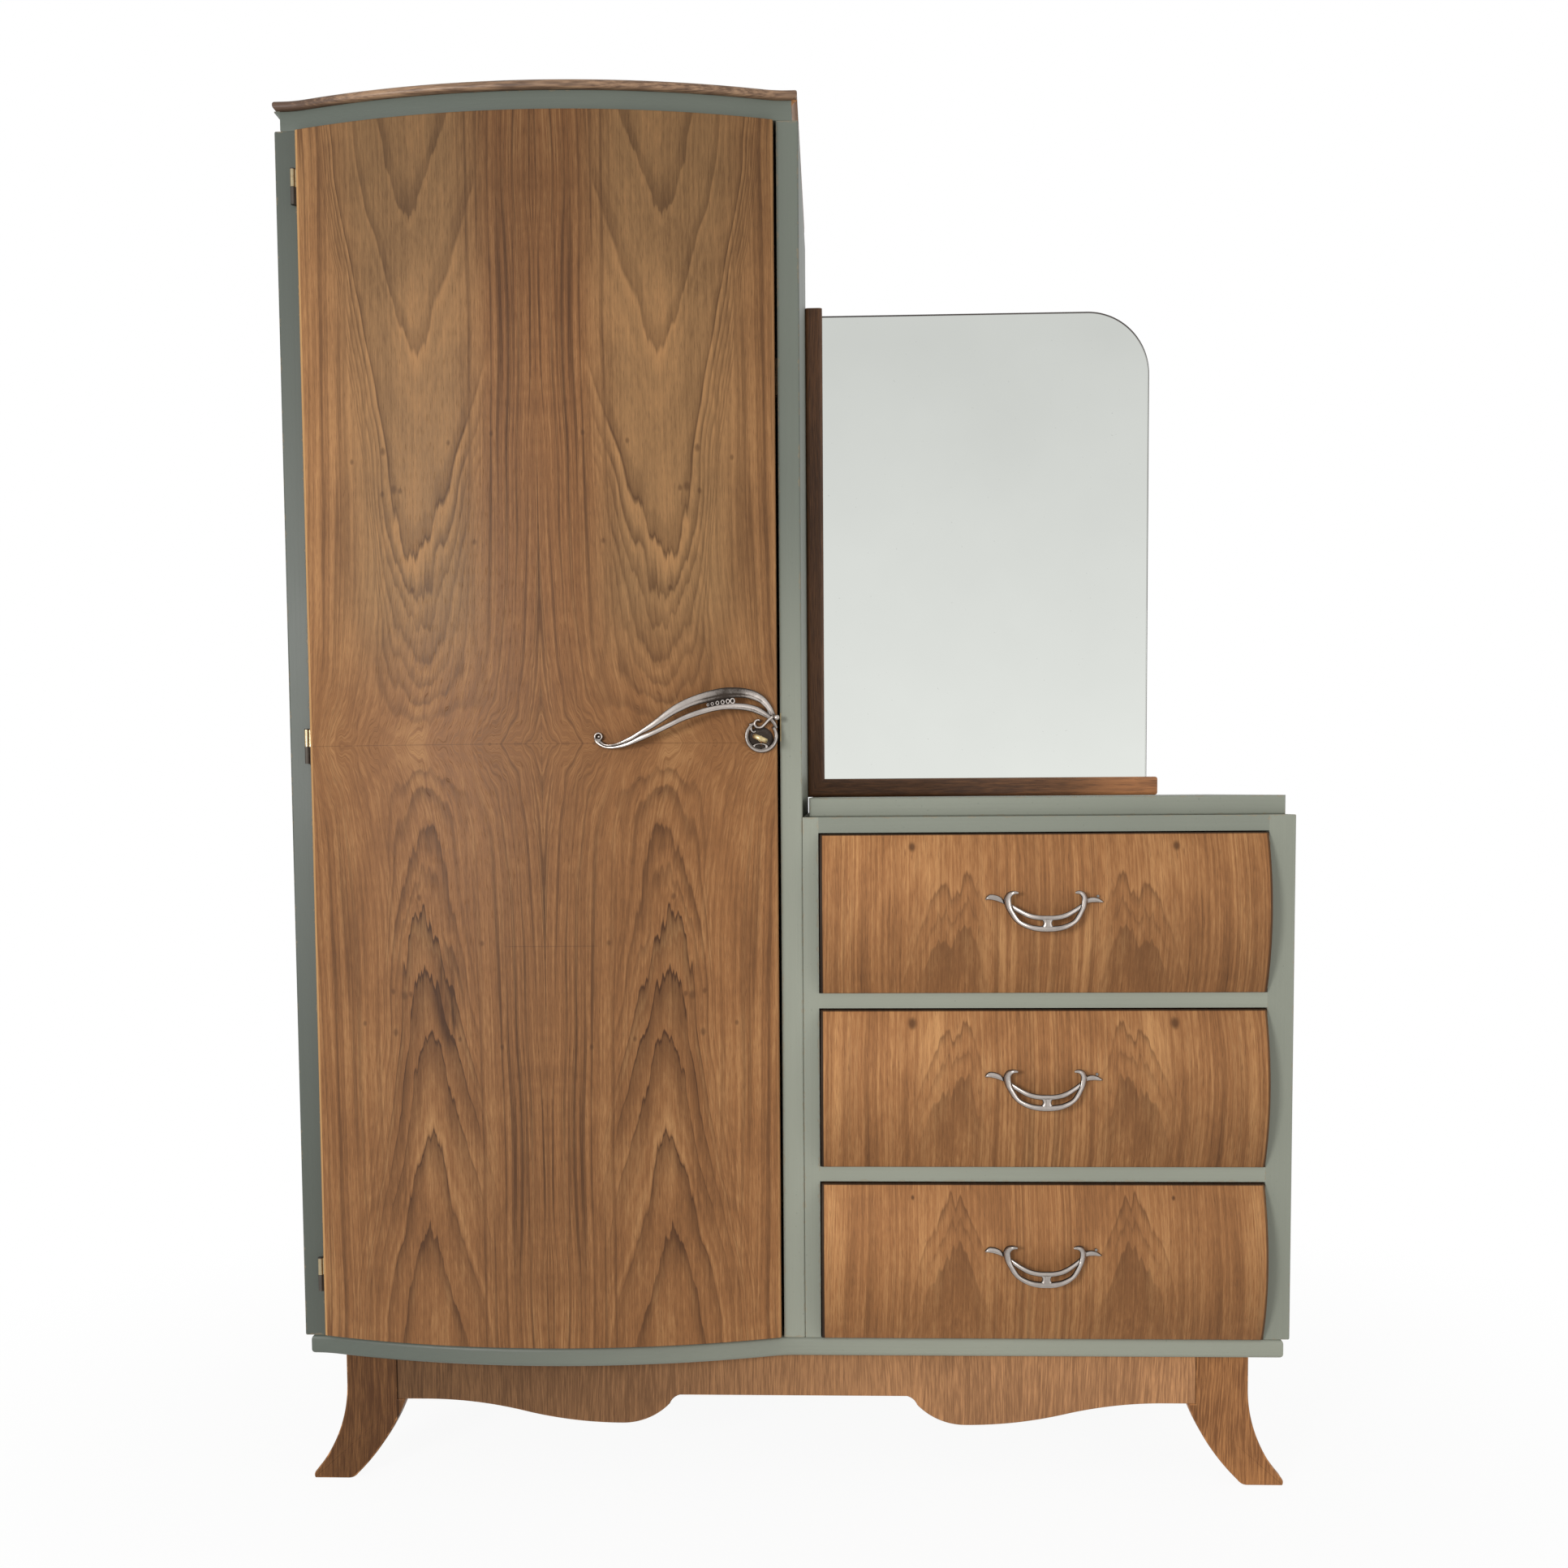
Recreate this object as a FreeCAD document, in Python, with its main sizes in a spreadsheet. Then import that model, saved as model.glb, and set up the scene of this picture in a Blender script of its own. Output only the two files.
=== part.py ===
import FreeCAD, Part
import math
import os
import Sketcher
from FreeCAD import Vector

# Wardrobe: a tall cupboard with a bowed door, a chest of three drawers beside it, and a mirror
# standing at the back of the chest. Both cases share one bottom board on a plinth with sabre feet.
# Millimetres. +Z is up, +X is to the viewer's right, and the front faces -Y.
# The origin is on the floor, under the middle of the whole piece.

doc = FreeCAD.newDocument("wardrobe")

# Driving sizes, each with its meaning
SIZES = {
    # Whole piece
    "width": (1250.0, "overall width over both cases"),
    "tall_width": (642.0, "width of the tall cupboard over its sides"),
    "case_depth": (430.0, "depth of the cases, front edges to back"),
    "end_inset": (8.0, "how far the bottom board, frieze and counter stop short of the sides"),
    "edge_round": (2.5, "rounding of the painted boards' long edges"),
    # Plinth
    "leg_height": (172.0, "floor to the underside of the bottom board"),
    "plinth_setback": (18.0, "front of the feet and apron behind the cases' front edges"),
    "leg_board": (24.0, "thickness of the front feet"),
    "leg_inset": (46.0, "outer edge of a front foot's top, in from the case's outer face"),
    "leg_joint": (112.0, "joint between a front foot and the apron, in from the case's outer face"),
    "leg_ledge": (10.5, "how far a foot's inner curve starts under the apron"),
    "ankle_height": (126.0, "height at which a foot's outer edge begins to sweep out"),
    "toe_height": (8.0, "height of a foot's blunt toe"),
    "toe_round": (1.5, "rounding of the toe"),
    "foot_width": (46.0, "flat of a foot on the floor"),
    "heel_run": (12.0, "length of the rounded heel"),
    "heel_rise": (6.5, "height of the rounded heel"),
    "apron_thick": (22.0, "thickness of the apron"),
    "apron_end": (66.0, "height of the apron at the feet"),
    "apron_drop": (96.0, "height of the apron at its lowest scrolls"),
    "apron_middle": (58.5, "height of the apron's middle stretch"),
    "scroll_start": (38.0, "straight stretch from the joint to the start of a scroll"),
    "scroll_run": (255.0, "from the start of a scroll to its lowest point"),
    "scroll_turn": (61.0, "from the lowest point to the scroll's nose"),
    "scroll_rise": (26.0, "height of the scroll's nose above its lowest point"),
    "scroll_step": (13.0, "length of the small cove after the nose"),
    "rear_leg_width": (50.0, "width of a rear foot at its top"),
    "rear_leg_taper": (12.0, "narrowing of a rear foot towards the floor"),
    "rear_leg_thick": (40.0, "depth of a rear foot"),
    "rear_leg_setback": (10.0, "rear feet in from the back of the cases"),
    "rail_thick": (20.0, "thickness of the plinth's side and rear rails"),
    "block_size": (40.0, "side of a glued corner block"),
    # Bottom board and tall cupboard
    "base_thick": (25.0, "thickness of the shared bottom board"),
    "side_thick": (27.0, "thickness of the tall cupboard's sides"),
    "tall_side_height": (1502.0, "height of the tall cupboard's sides"),
    "bow_depth": (42.0, "how far the bowed front swells"),
    "frieze_thick": (24.0, "height of the bowed top board"),
    "cap_thick": (10.0, "thickness of the cap moulding"),
    "cap_overhang": (7.0, "how far the cap stands over the frieze"),
    "cap_round": (4.2, "rounding of the cap's nose"),
    "cove_foot": (1.2, "thickness of the cove mouldings at their lower edge"),
    "back_thick": (6.0, "thickness of the back panels"),
    "back_inset": (8.0, "back panels in from the rear edges"),
    "shelf_thick": (18.0, "thickness of the hat shelf"),
    "shelf_drop": (270.0, "hat shelf's top below the top of the cupboard"),
    "shelf_setback": (42.0, "front edge of the hat shelf behind the case front"),
    "bearer_thick": (18.0, "width of a shelf bearer"),
    "bearer_height": (28.0, "height of a shelf bearer"),
    "rail_diameter": (25.0, "diameter of the hanging rail"),
    "rail_drop": (62.0, "hanging rail's axis below the hat shelf"),
    "socket_diameter": (44.0, "outer diameter of a rail socket"),
    "socket_depth": (14.0, "how far a rail socket stands off the side"),
    "socket_floor": (4.0, "thickness of a rail socket's floor"),
    "rail_play": (0.3, "gap between the rail and its sockets"),
    # Door
    "door_gap_left": (2.0, "gap at the hinge side"),
    "door_gap_right": (3.5, "gap at the lock side"),
    "door_gap_top": (2.0, "gap under the frieze"),
    "door_gap_bottom": (2.5, "gap over the bottom board"),
    "door_proud": (10.0, "how far the door's edges stand in front of the sides"),
    "door_thick": (22.0, "thickness of the door"),
    "lipping": (3.0, "thickness of the solid strips on the door's long edges"),
    # Hinges
    "hinge_height": (42.0, "height of a hinge"),
    "hinge_top": (67.0, "middle of the top hinge below the door's top"),
    "hinge_bottom": (78.0, "middle of the bottom hinge above the door's bottom"),
    "knuckle_radius": (3.0, "outer radius of a hinge knuckle"),
    "knuckle_gap": (0.4, "gap between two knuckles"),
    "pin_radius": (1.5, "radius of a hinge pin"),
    "pin_play": (0.05, "running gap round a hinge pin"),
    "pin_head": (1.5, "height of the pin's domed end"),
    "pivot_out": (6.0, "hinge axis in front of the case front"),
    "leaf_thick": (1.6, "thickness of a hinge leaf"),
    "leaf_depth": (11.0, "length of a hinge leaf behind the case front"),
    "hinge_screw_radius": (1.5, "radius of a hinge screw"),
    "hinge_screw_length": (12.0, "length of a hinge screw"),
    "hinge_screw_head": (2.8, "radius of a hinge screw's head"),
    # Lock and key
    "key_inset": (19.5, "key's axis in from the door's lock edge"),
    "key_height": (753.5, "key's axis above the door's bottom"),
    "lock_width": (34.0, "depth of the lock case into the door"),
    "lock_height": (47.0, "height of the lock case"),
    "lock_thick": (10.0, "thickness of the lock case"),
    "lock_wall": (1.2, "wall of the lock case"),
    "lock_drop": (20.0, "lower edge of the lock case below the key's axis"),
    "lock_play": (0.2, "gap round the moving pieces of the lock"),
    "bolt_height": (19.0, "height of the bolt"),
    "bolt_length": (32.0, "length of the bolt"),
    "bolt_rise": (15.0, "middle of the bolt above the key's axis"),
    "bolt_throw": (8.0, "travel of the bolt"),
    "strike_thick": (1.2, "thickness of the strike plate"),
    "strike_margin": (8.0, "strike plate beyond the bolt's hole"),
    "key_radius": (2.2, "radius of the key's shank"),
    "key_reach": (15.0, "key's shank in front of the door's face"),
    "key_bow_width": (20.0, "width of the key's bow"),
    "key_bow_length": (18.0, "length of the key's bow"),
    "key_bow_thick": (4.0, "thickness of the key's bow"),
    "key_bow_hole": (4.0, "radius of the hole in the key's bow"),
    "key_bit": (9.0, "reach of the key's bit from its axis"),
    "key_bit_thick": (2.2, "thickness of the key's bit"),
    "keyhole_play": (0.5, "gap round the key in its keyhole"),
    "plate_thick": (1.4, "thickness of the keyhole plate"),
    # Door handle
    "handle_length": (219.5, "length of the door handle's sweep"),
    "handle_height": (75.0, "height of the door handle's sweep"),
    "handle_thick": (5.0, "thickness of the sweep"),
    "handle_arch": (24.0, "how far the sweep arches off the straight line between its feet"),
    "handle_foot": (6.0, "thickness of the handle's ring and scroll on the door"),
    "handle_lift": (1.5, "back of the sweep off the door at its two feet"),
    "ring_radius": (19.0, "outer radius of the handle's ring"),
    "ring_wall": (4.0, "width of the handle's ring"),
    "scroll_radius": (6.6, "radius of the scroll at the handle's left end"),
    "handle_screw_radius": (1.8, "radius of a screw through the door into the handle"),
    "handle_screw_head": (4.0, "radius of a handle or pull screw's head"),
    "screw_head_height": (2.0, "height of a handle or pull screw's head"),
    "screw_bite": (4.0, "how far a screw enters a handle or pull"),
    # Chest
    "low_left_thick": (19.5, "thickness of the chest's left side"),
    "low_right_thick": (33.0, "thickness of the chest's right side"),
    "low_side_height": (659.0, "height of the chest's sides"),
    "counter_thick": (24.0, "thickness of the chest's top board"),
    "counter_setback": (18.0, "front of the chest's top board behind the sides' front"),
    "top_rail_height": (19.5, "height of the rail over the top drawer"),
    "drawer_rail_height": (19.0, "height of the rails between drawers"),
    "front_rail_depth": (60.0, "depth of the chest's front rails"),
    "runner_width": (24.0, "width of a drawer runner"),
    # Drawers
    "drawer_gap": (1.6, "gap round a drawer front"),
    "drawer_edge": (4.0, "how far a drawer front's edges stand in front of the sides"),
    "drawer_bow": (22.0, "how far a drawer front swells between its edges"),
    "drawer_front_back": (18.0, "flat back of a drawer front behind the sides' front edges"),
    "drawer_side_thick": (12.0, "thickness of a drawer's sides and back"),
    "drawer_side_height": (150.0, "height of a drawer's sides"),
    "drawer_back_height": (132.0, "height of a drawer's back, over its bottom"),
    "drawer_length": (375.0, "length of a drawer's sides"),
    "drawer_bottom_thick": (5.0, "thickness of a drawer's bottom"),
    "drawer_bottom_rise": (9.0, "drawer's bottom above the lower edge of its sides"),
    "runner_play": (0.3, "gap between a drawer and what it runs on"),
    "front_round": (2.0, "rounding of the drawer fronts' and the door's edges"),
    # Drawer pulls
    "pull_width": (148.0, "width of a pull over its wings"),
    "pull_height": (50.0, "height of a pull"),
    "pull_rise": (6.0, "middle of a pull above the middle of its drawer front"),
    "pull_thick": (5.0, "thickness of a pull's bail"),
    "pull_foot": (4.0, "thickness of a pull's wings on the drawer front"),
    "pull_reach": (19.0, "how far the back of the bail stands off the drawer front"),
    "pull_screw_radius": (1.6, "radius of a pull's screws"),
    # Mirror
    "glass_thick": (5.0, "thickness of the mirror glass"),
    "glass_width": (483.0, "width of glass that shows beside the left batten"),
    "glass_height": (686.0, "height of glass that shows over the bottom batten"),
    "glass_corner": (92.0, "radius of the glass's upper right corner"),
    "glass_cover": (8.0, "how far the battens cover the glass"),
    "backing_thick": (15.0, "thickness of the board behind the glass"),
    "backing_margin": (3.0, "backing board inside the glass's free edges"),
    "batten_left": (25.0, "width of the mirror's left batten"),
    "batten_bottom": (27.0, "height of the mirror's bottom batten"),
    "batten_thick": (25.0, "thickness of the battens in front of the glass"),
    "batten_past": (11.0, "bottom batten beyond the glass"),
    "batten_over": (4.0, "left batten above the glass"),
    "mirror_screw_radius": (2.0, "radius of the screws that hold the mirror's battens"),
    "mirror_screw_head": (4.5, "radius of those screws' heads"),
    "mirror_screw_bite": (16.0, "how far those screws enter the battens"),
}


class Length:
    """A size or place: its number, and the sheet formula that gives the same number."""

    def __init__(self, number, text):
        self.number = number
        self.text = text

    def joined(self, other, sign, number):
        return Length(number, "(%s %s %s)" % (self.text, sign, length(other).text))

    def __add__(self, other):
        return self.joined(other, "+", self.number + length(other).number)

    def __sub__(self, other):
        return self.joined(other, "-", self.number - length(other).number)

    def __mul__(self, other):
        return self.joined(other, "*", self.number * length(other).number)

    def __truediv__(self, other):
        return self.joined(other, "/", self.number / length(other).number)

    def __radd__(self, other):
        return length(other) + self

    def __rsub__(self, other):
        return length(other) - self

    def __rmul__(self, other):
        return length(other) * self

    def __neg__(self):
        return Length(-self.number, "(0 - %s)" % self.text)

    def root(self):
        return Length(math.sqrt(self.number), "sqrt(%s)" % self.text)


def length(value):
    """Give a plain number the form of a Length."""
    if isinstance(value, Length):
        return value
    return Length(float(value), repr(value))


class Sizes:
    """The driving sizes, one attribute each."""


# The sheet of driving sizes, and a second sheet for places that are worked out from them
sheet = doc.addObject("Spreadsheet::Sheet", "Sizes")
worked = doc.addObject("Spreadsheet::Sheet", "Places")
size = Sizes()
sheet_row = 0
for size_name, (number, meaning) in SIZES.items():
    sheet_row += 1
    sheet.set("A%d" % sheet_row, size_name)
    sheet.set("B%d" % sheet_row, repr(number))
    sheet.set("C%d" % sheet_row, meaning)
    sheet.setAlias("B%d" % sheet_row, size_name)
    setattr(size, size_name, Length(number, "Sizes." + size_name))
worked_names = []


def place(name, value):
    """Keep a worked-out place in the second sheet under a name, and use it by that name."""
    worked_names.append(name)
    row = len(worked_names)
    worked.set("A%d" % row, name)
    worked.set("B%d" % row, "=" + value.text)
    worked.setAlias("B%d" % row, name)
    return Length(value.number, "Places." + name)


# Shares used by more than one piece
HALF_SHARE = 0.5
# Kinds of sketch plane, each with the axis that a board on it is thick along
THICK_AXIS = {"XY": "z", "XZ": "y", "YZ": "x"}
# Sub-parts in the order that they are made
subparts = []


class Bend:
    """The point that an arc passes through between two corners."""

    def __init__(self, across, up):
        self.across = length(across)
        self.up = length(up)


class Swell:
    """An arc between two corners, as its rise over its chord, to the left of the way it runs."""

    def __init__(self, rise_share):
        self.rise_share = rise_share

    def bend(self, start, end):
        across = (start[0] + end[0]) * HALF_SHARE - (end[1] - start[1]) * self.rise_share
        up = (start[1] + end[1]) * HALF_SHARE + (end[0] - start[0]) * self.rise_share
        return Bend(across, up)


def stretches(corners):
    """Split a closed outline into (start, bend or None, end)."""
    found = []
    flat = [c for c in corners if isinstance(c, tuple)]
    turn = 0
    for index, corner in enumerate(corners):
        if not isinstance(corner, tuple):
            continue
        start = corner
        turn += 1
        end = flat[turn % len(flat)]
        after = corners[(index + 1) % len(corners)]
        if isinstance(after, tuple):
            found.append((start, None, end))
        elif isinstance(after, Swell):
            found.append((start, after.bend(start, end), end))
        else:
            found.append((start, after, end))
    return found


def flipped(corners, middle):
    """Mirror an outline's corners left to right about a middle, and keep its turning sense."""
    mirrored = []
    for corner in reversed(corners):
        if isinstance(corner, tuple):
            mirrored.append((middle * 2 - corner[0], corner[1]))
        elif isinstance(corner, Swell):
            mirrored.append(Swell(corner.rise_share))
        else:
            mirrored.append(Bend(middle * 2 - corner.across, corner.up))
    return mirrored


def vector(corner):
    return Vector(length(corner[0]).number, length(corner[1]).number, 0)


def arc_of(start, bend, end):
    """An anticlockwise arc through three points, and whether it runs from start to end."""
    first = vector(start)
    middle = Vector(bend.across.number, bend.up.number, 0)
    last = vector(end)
    circle = Part.Arc(first, middle, last).toShape().Curve
    centre = circle.Center
    forward = (middle - first).cross(last - middle).z > 0
    begin, finish = (first, last) if forward else (last, first)
    low = math.atan2(begin.y - centre.y, begin.x - centre.x)
    high = math.atan2(finish.y - centre.y, finish.x - centre.x)
    if high < low:
        high += 2 * math.pi
    flat_circle = Part.Circle(centre, Vector(0, 0, 1), circle.Radius)
    return Part.ArcOfCircle(flat_circle, low, high), forward


def pin_point(sketch, geometry, end, across, up):
    """Hold one point of a sketch at a place given by two lengths."""
    for kind, value in (("DistanceX", length(across)), ("DistanceY", length(up))):
        if value.text == "0":
            axis = -2 if kind == "DistanceX" else -1
            sketch.addConstraint(Sketcher.Constraint("PointOnObject", geometry, end, axis))
            continue
        held = Sketcher.Constraint(kind, -1, 1, geometry, end, value.number)
        index = sketch.addConstraint(held)
        sketch.setExpression("Constraints[%d]" % index, value.text)


def draw(sketch, corners):
    """Draw a closed outline of lines and arcs, with every corner bound to the sheet."""
    drawn = []
    for start, bend, end in stretches(corners):
        if bend is None:
            geometry = sketch.addGeometry(Part.LineSegment(vector(start), vector(end)), False)
            drawn.append((geometry, 1, 2, start))
            continue
        curve, forward = arc_of(start, bend, end)
        geometry = sketch.addGeometry(curve, False)
        drawn.append((geometry, 1 if forward else 2, 2 if forward else 1, start))
        middle = Part.Point(Vector(bend.across.number, bend.up.number, 0))
        point = sketch.addGeometry(middle, True)
        pin_point(sketch, point, 1, bend.across, bend.up)
        sketch.addConstraint(Sketcher.Constraint("PointOnObject", point, 1, geometry))
    for index, (geometry, first, last, start) in enumerate(drawn):
        before = drawn[index - 1]
        sketch.addConstraint(Sketcher.Constraint("Coincident", before[0], before[2], geometry, first))
        pin_point(sketch, geometry, first, start[0], start[1])


def bind(thing, prop, value):
    """Set a property to a length, and bind it to the sheet."""
    thing.setExpression(prop, length(value).text)


def keep(thing, label):
    """Take an object as a finished sub-part."""
    thing.Label = label
    subparts.append(thing)
    return thing


def board(name, plane, corners, low, high):
    """A body with one sketched outline, padded from low to high across its plane."""
    body = doc.addObject("PartDesign::Body", name)
    sketch = body.newObject("Sketcher::SketchObject", name + "_outline")
    role = plane + "_Plane"
    support = [datum for datum in body.Origin.OriginFeatures if datum.Role == role][0]
    sketch.AttachmentSupport = [(support, "")]
    sketch.MapMode = "FlatFace"
    draw(sketch, corners)
    pad = body.newObject("PartDesign::Pad", name + "_pad")
    pad.Profile = sketch
    pad.Reversed = plane == "XZ"
    bind(pad, "Length", high - low)
    bind(body, "Placement.Base." + THICK_AXIS[plane], low)
    sketch.Visibility = False
    return body


def block(name, across, deep, tall):
    """A box between two places on each axis."""
    box = doc.addObject("Part::Box", name)
    for prop, axis, (low, high) in (
        ("Length", "x", across),
        ("Width", "y", deep),
        ("Height", "z", tall),
    ):
        bind(box, prop, length(high) - low)
        bind(box, "Placement.Base." + axis, low)
    return box


def rod(name, axis, centre, radius, run):
    """A cylinder along an axis from its centre point, as long as run."""
    cylinder = doc.addObject("Part::Cylinder", name)
    turns = {
        "x": FreeCAD.Rotation(Vector(0, 1, 0), 90),
        "y": FreeCAD.Rotation(Vector(1, 0, 0), -90),
        "z": FreeCAD.Rotation(),
    }
    cylinder.Placement = FreeCAD.Placement(Vector(), turns[axis])
    bind(cylinder, "Radius", radius)
    bind(cylinder, "Height", run)
    for side, value in zip("xyz", centre):
        bind(cylinder, "Placement.Base." + side, value)
    return cylinder


def joined(name, pieces):
    """Several solids fused into one."""
    fuse = doc.addObject("Part::MultiFuse", name)
    fuse.Shapes = pieces
    fuse.Refine = True
    return fuse


def cut(name, base, tools):
    """A solid with one or more others taken away."""
    tool = tools[0] if len(tools) == 1 else joined(name + "_tools", tools)
    result = doc.addObject("Part::Cut", name)
    result.Base = base
    result.Tool = tool
    return result


def group(name, pieces):
    """Separate like pieces under one name."""
    compound = doc.addObject("Part::Compound", name)
    compound.Links = pieces
    return compound


def soften(name, base, radius, wanted):
    """Round the edges of a solid that a test picks out."""
    doc.recompute()
    fillet = doc.addObject("Part::Fillet", name)
    fillet.Base = base
    edges = base.Shape.Edges
    fillet.Edges = [(index + 1, radius, radius) for index, edge in enumerate(edges) if wanted(edge)]
    return fillet


def at_y(value):
    """A test for edges that lie in the plane y = value."""
    return lambda edge: all(abs(vertex.Point.y - value.number) < NEAR for vertex in edge.Vertexes)


def at_x(value):
    """A test for edges that lie in the plane x = value."""
    return lambda edge: all(abs(vertex.Point.x - value.number) < NEAR for vertex in edge.Vertexes)


# How close counts as the same place
NEAR = 0.01
# How far cutting tools run past what they cut
OVERRUN = size.edge_round

# Main planes across the piece
left_x = place("left_x", -size.width / 2)
right_x = place("right_x", size.width / 2)
tall_right = place("tall_right", left_x + size.tall_width)
open_left = place("open_left", left_x + size.side_thick)
open_right = place("open_right", tall_right - size.side_thick)
door_left = place("door_left", open_left + size.door_gap_left)
door_right = place("door_right", open_right - size.door_gap_right)
door_middle = place("door_middle", (door_left + door_right) / 2)
drawer_left = place("drawer_left", tall_right + size.low_left_thick)
drawer_right = place("drawer_right", right_x - size.low_right_thick)
drawer_middle = place("drawer_middle", (drawer_left + drawer_right) / 2)

# Main levels
base_low = place("base_low", size.leg_height * 1)
base_top = place("base_top", base_low + size.base_thick)
tall_top = place("tall_top", base_top + size.tall_side_height)
frieze_top = place("frieze_top", tall_top + size.frieze_thick)
cap_top = place("cap_top", frieze_top + size.cap_thick)
door_low = place("door_low", base_top + size.door_gap_bottom)
door_top = place("door_top", tall_top - size.door_gap_top)
low_top = place("low_top", base_top + size.low_side_height)
counter_top = place("counter_top", low_top + size.counter_thick)
key_z = place("key_z", door_low + size.key_height)

# The door's bow is part of a circle. Its face stands in front of its edges by the rise.
door_half = place("door_half", (door_right - door_left) / 2)
door_radius = place(
    "door_radius", (door_half * door_half + size.bow_depth * size.bow_depth) / (2 * size.bow_depth)
)


def door_rise(across):
    """How far the door's face stands in front of its edges at a place across."""
    off = across - door_middle
    return (door_radius * door_radius - off * off).root() - (door_radius - size.bow_depth)


# The handle's sweep arches from a foot near its scroll to a foot over its ring
RING_ACROSS_SHARE = 0.916
RING_UP_SHARE = 0.2
LEFT_FOOT_SHARE = 0.04
RIGHT_FOOT_SHARE = 0.975
key_x = place("key_x", door_right - size.key_inset)
handle_left = place("handle_left", key_x - size.handle_length * RING_ACROSS_SHARE)
handle_low = place("handle_low", key_z - size.handle_height * RING_UP_SHARE)
foot_left = place("foot_left", handle_left + size.handle_length * LEFT_FOOT_SHARE)
foot_right = place("foot_right", handle_left + size.handle_length * RIGHT_FOOT_SHARE)
foot_left_out = place("foot_left_out", door_rise(foot_left) + size.door_proud + size.handle_lift)
foot_right_out = place("foot_right_out", door_rise(foot_right) + size.door_proud + size.handle_lift)
foot_span = place("foot_span", foot_right - foot_left)
foot_drop = place("foot_drop", foot_left_out - foot_right_out)
foot_chord = place("foot_chord", (foot_span * foot_span + foot_drop * foot_drop).root())
arch_radius = place(
    "arch_radius",
    (foot_chord * foot_chord / 4 + size.handle_arch * size.handle_arch) / (2 * size.handle_arch),
)
arch_back = place("arch_back", (arch_radius - size.handle_arch) / foot_chord)
arch_x = place("arch_x", (foot_left + foot_right) / 2 - foot_drop * arch_back)
arch_out = place("arch_out", (foot_left_out + foot_right_out) / 2 - foot_span * arch_back)

# The front of the cases is placed so that the origin is midway between the handle and the back
handle_reach = place("handle_reach", arch_out + arch_radius + size.handle_thick)
front_y = place("front_y", (handle_reach - size.case_depth) / 2)
back_y = place("back_y", front_y + size.case_depth)
arch_y = place("arch_y", front_y - arch_out)
door_edge_y = place("door_edge_y", front_y - size.door_proud)
back_panel_y = place("back_panel_y", back_y - size.back_inset - size.back_thick)


# Half length of the reverse curve where a bow leaves its ear, as a share of the ear, and its rise
BOW_BLEND_SHARE = 0.8
BLEND_SWELL_SHARE = 0.035
bow_blend = place("bow_blend", (size.side_thick - size.end_inset) * BOW_BLEND_SHARE)


def bowed_outline(x_left, x_right, overhang, y_back, swell_left, swell_right):
    """A board with a straight ear, a bow between two places and a straight run to its right end."""
    middle = (swell_left + swell_right) / 2
    half = (swell_right - swell_left) / 2
    radius = (half * half + size.bow_depth * size.bow_depth) / (2 * size.bow_depth)
    inside = half - bow_blend
    rise = (radius * radius - inside * inside).root() - (radius - size.bow_depth)
    edge = front_y - overhang
    return [
        (x_left, y_back),
        (x_left, edge),
        (swell_left - bow_blend, edge),
        Swell(BLEND_SWELL_SHARE),
        (swell_left + bow_blend, edge - rise),
        Bend(middle, edge - size.bow_depth),
        (swell_right - bow_blend, edge - rise),
        Swell(BLEND_SWELL_SHARE),
        (swell_right + bow_blend, edge),
        (x_right, edge),
        (x_right, y_back),
    ]



# Bottom board under both cases
base_outline = bowed_outline(
    left_x + size.end_inset, right_x - size.end_inset, length(0), back_y, open_left, open_right
)
base_board = board("base_board_blank", "XY", base_outline, base_low, base_top)
doc.recompute()


def low_front_edges(edge):
    """Edges round the front and ends of a board, at its underside or top."""
    flat = abs(edge.BoundBox.ZLength) < NEAR
    return flat and edge.BoundBox.YMin < back_y.number - NEAR


keep(soften("base_board", base_board, size.edge_round.number, low_front_edges), "base_board")

# Frieze board on top of the tall cupboard
frieze_outline = bowed_outline(
    left_x + size.end_inset, tall_right - size.end_inset, length(0), back_y, open_left, open_right
)
keep(board("frieze_board", "XY", frieze_outline, tall_top, frieze_top), "frieze_board")

# Cap moulding on the frieze
cap_left = place("cap_left", left_x + size.end_inset - size.cap_overhang)
cap_right = place("cap_right", tall_right - size.end_inset + size.cap_overhang)
cap_outline = bowed_outline(cap_left, cap_right, size.cap_overhang, back_y, open_left, open_right)
cap_blank = board("cap_blank", "XY", cap_outline, frieze_top, cap_top)
keep(soften("cornice_cap", cap_blank, size.cap_round.number, low_front_edges), "cornice_cap")

# Cove mouldings on the two ends of the frieze
COVE_SWELL_SHARE = 0.1
cove_outline = [
    (left_x + size.end_inset, tall_top),
    (left_x + size.end_inset, frieze_top),
    (cap_left, frieze_top),
    Swell(COVE_SWELL_SHARE),
    (left_x + size.end_inset - size.cove_foot, tall_top),
]
case_middle = place("case_middle", (left_x + tall_right) / 2)
keep(board("cove_left", "XZ", cove_outline, front_y, back_y), "cove_left")
keep(board("cove_right", "XZ", flipped(cove_outline, case_middle), front_y, back_y), "cove_right")


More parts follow.
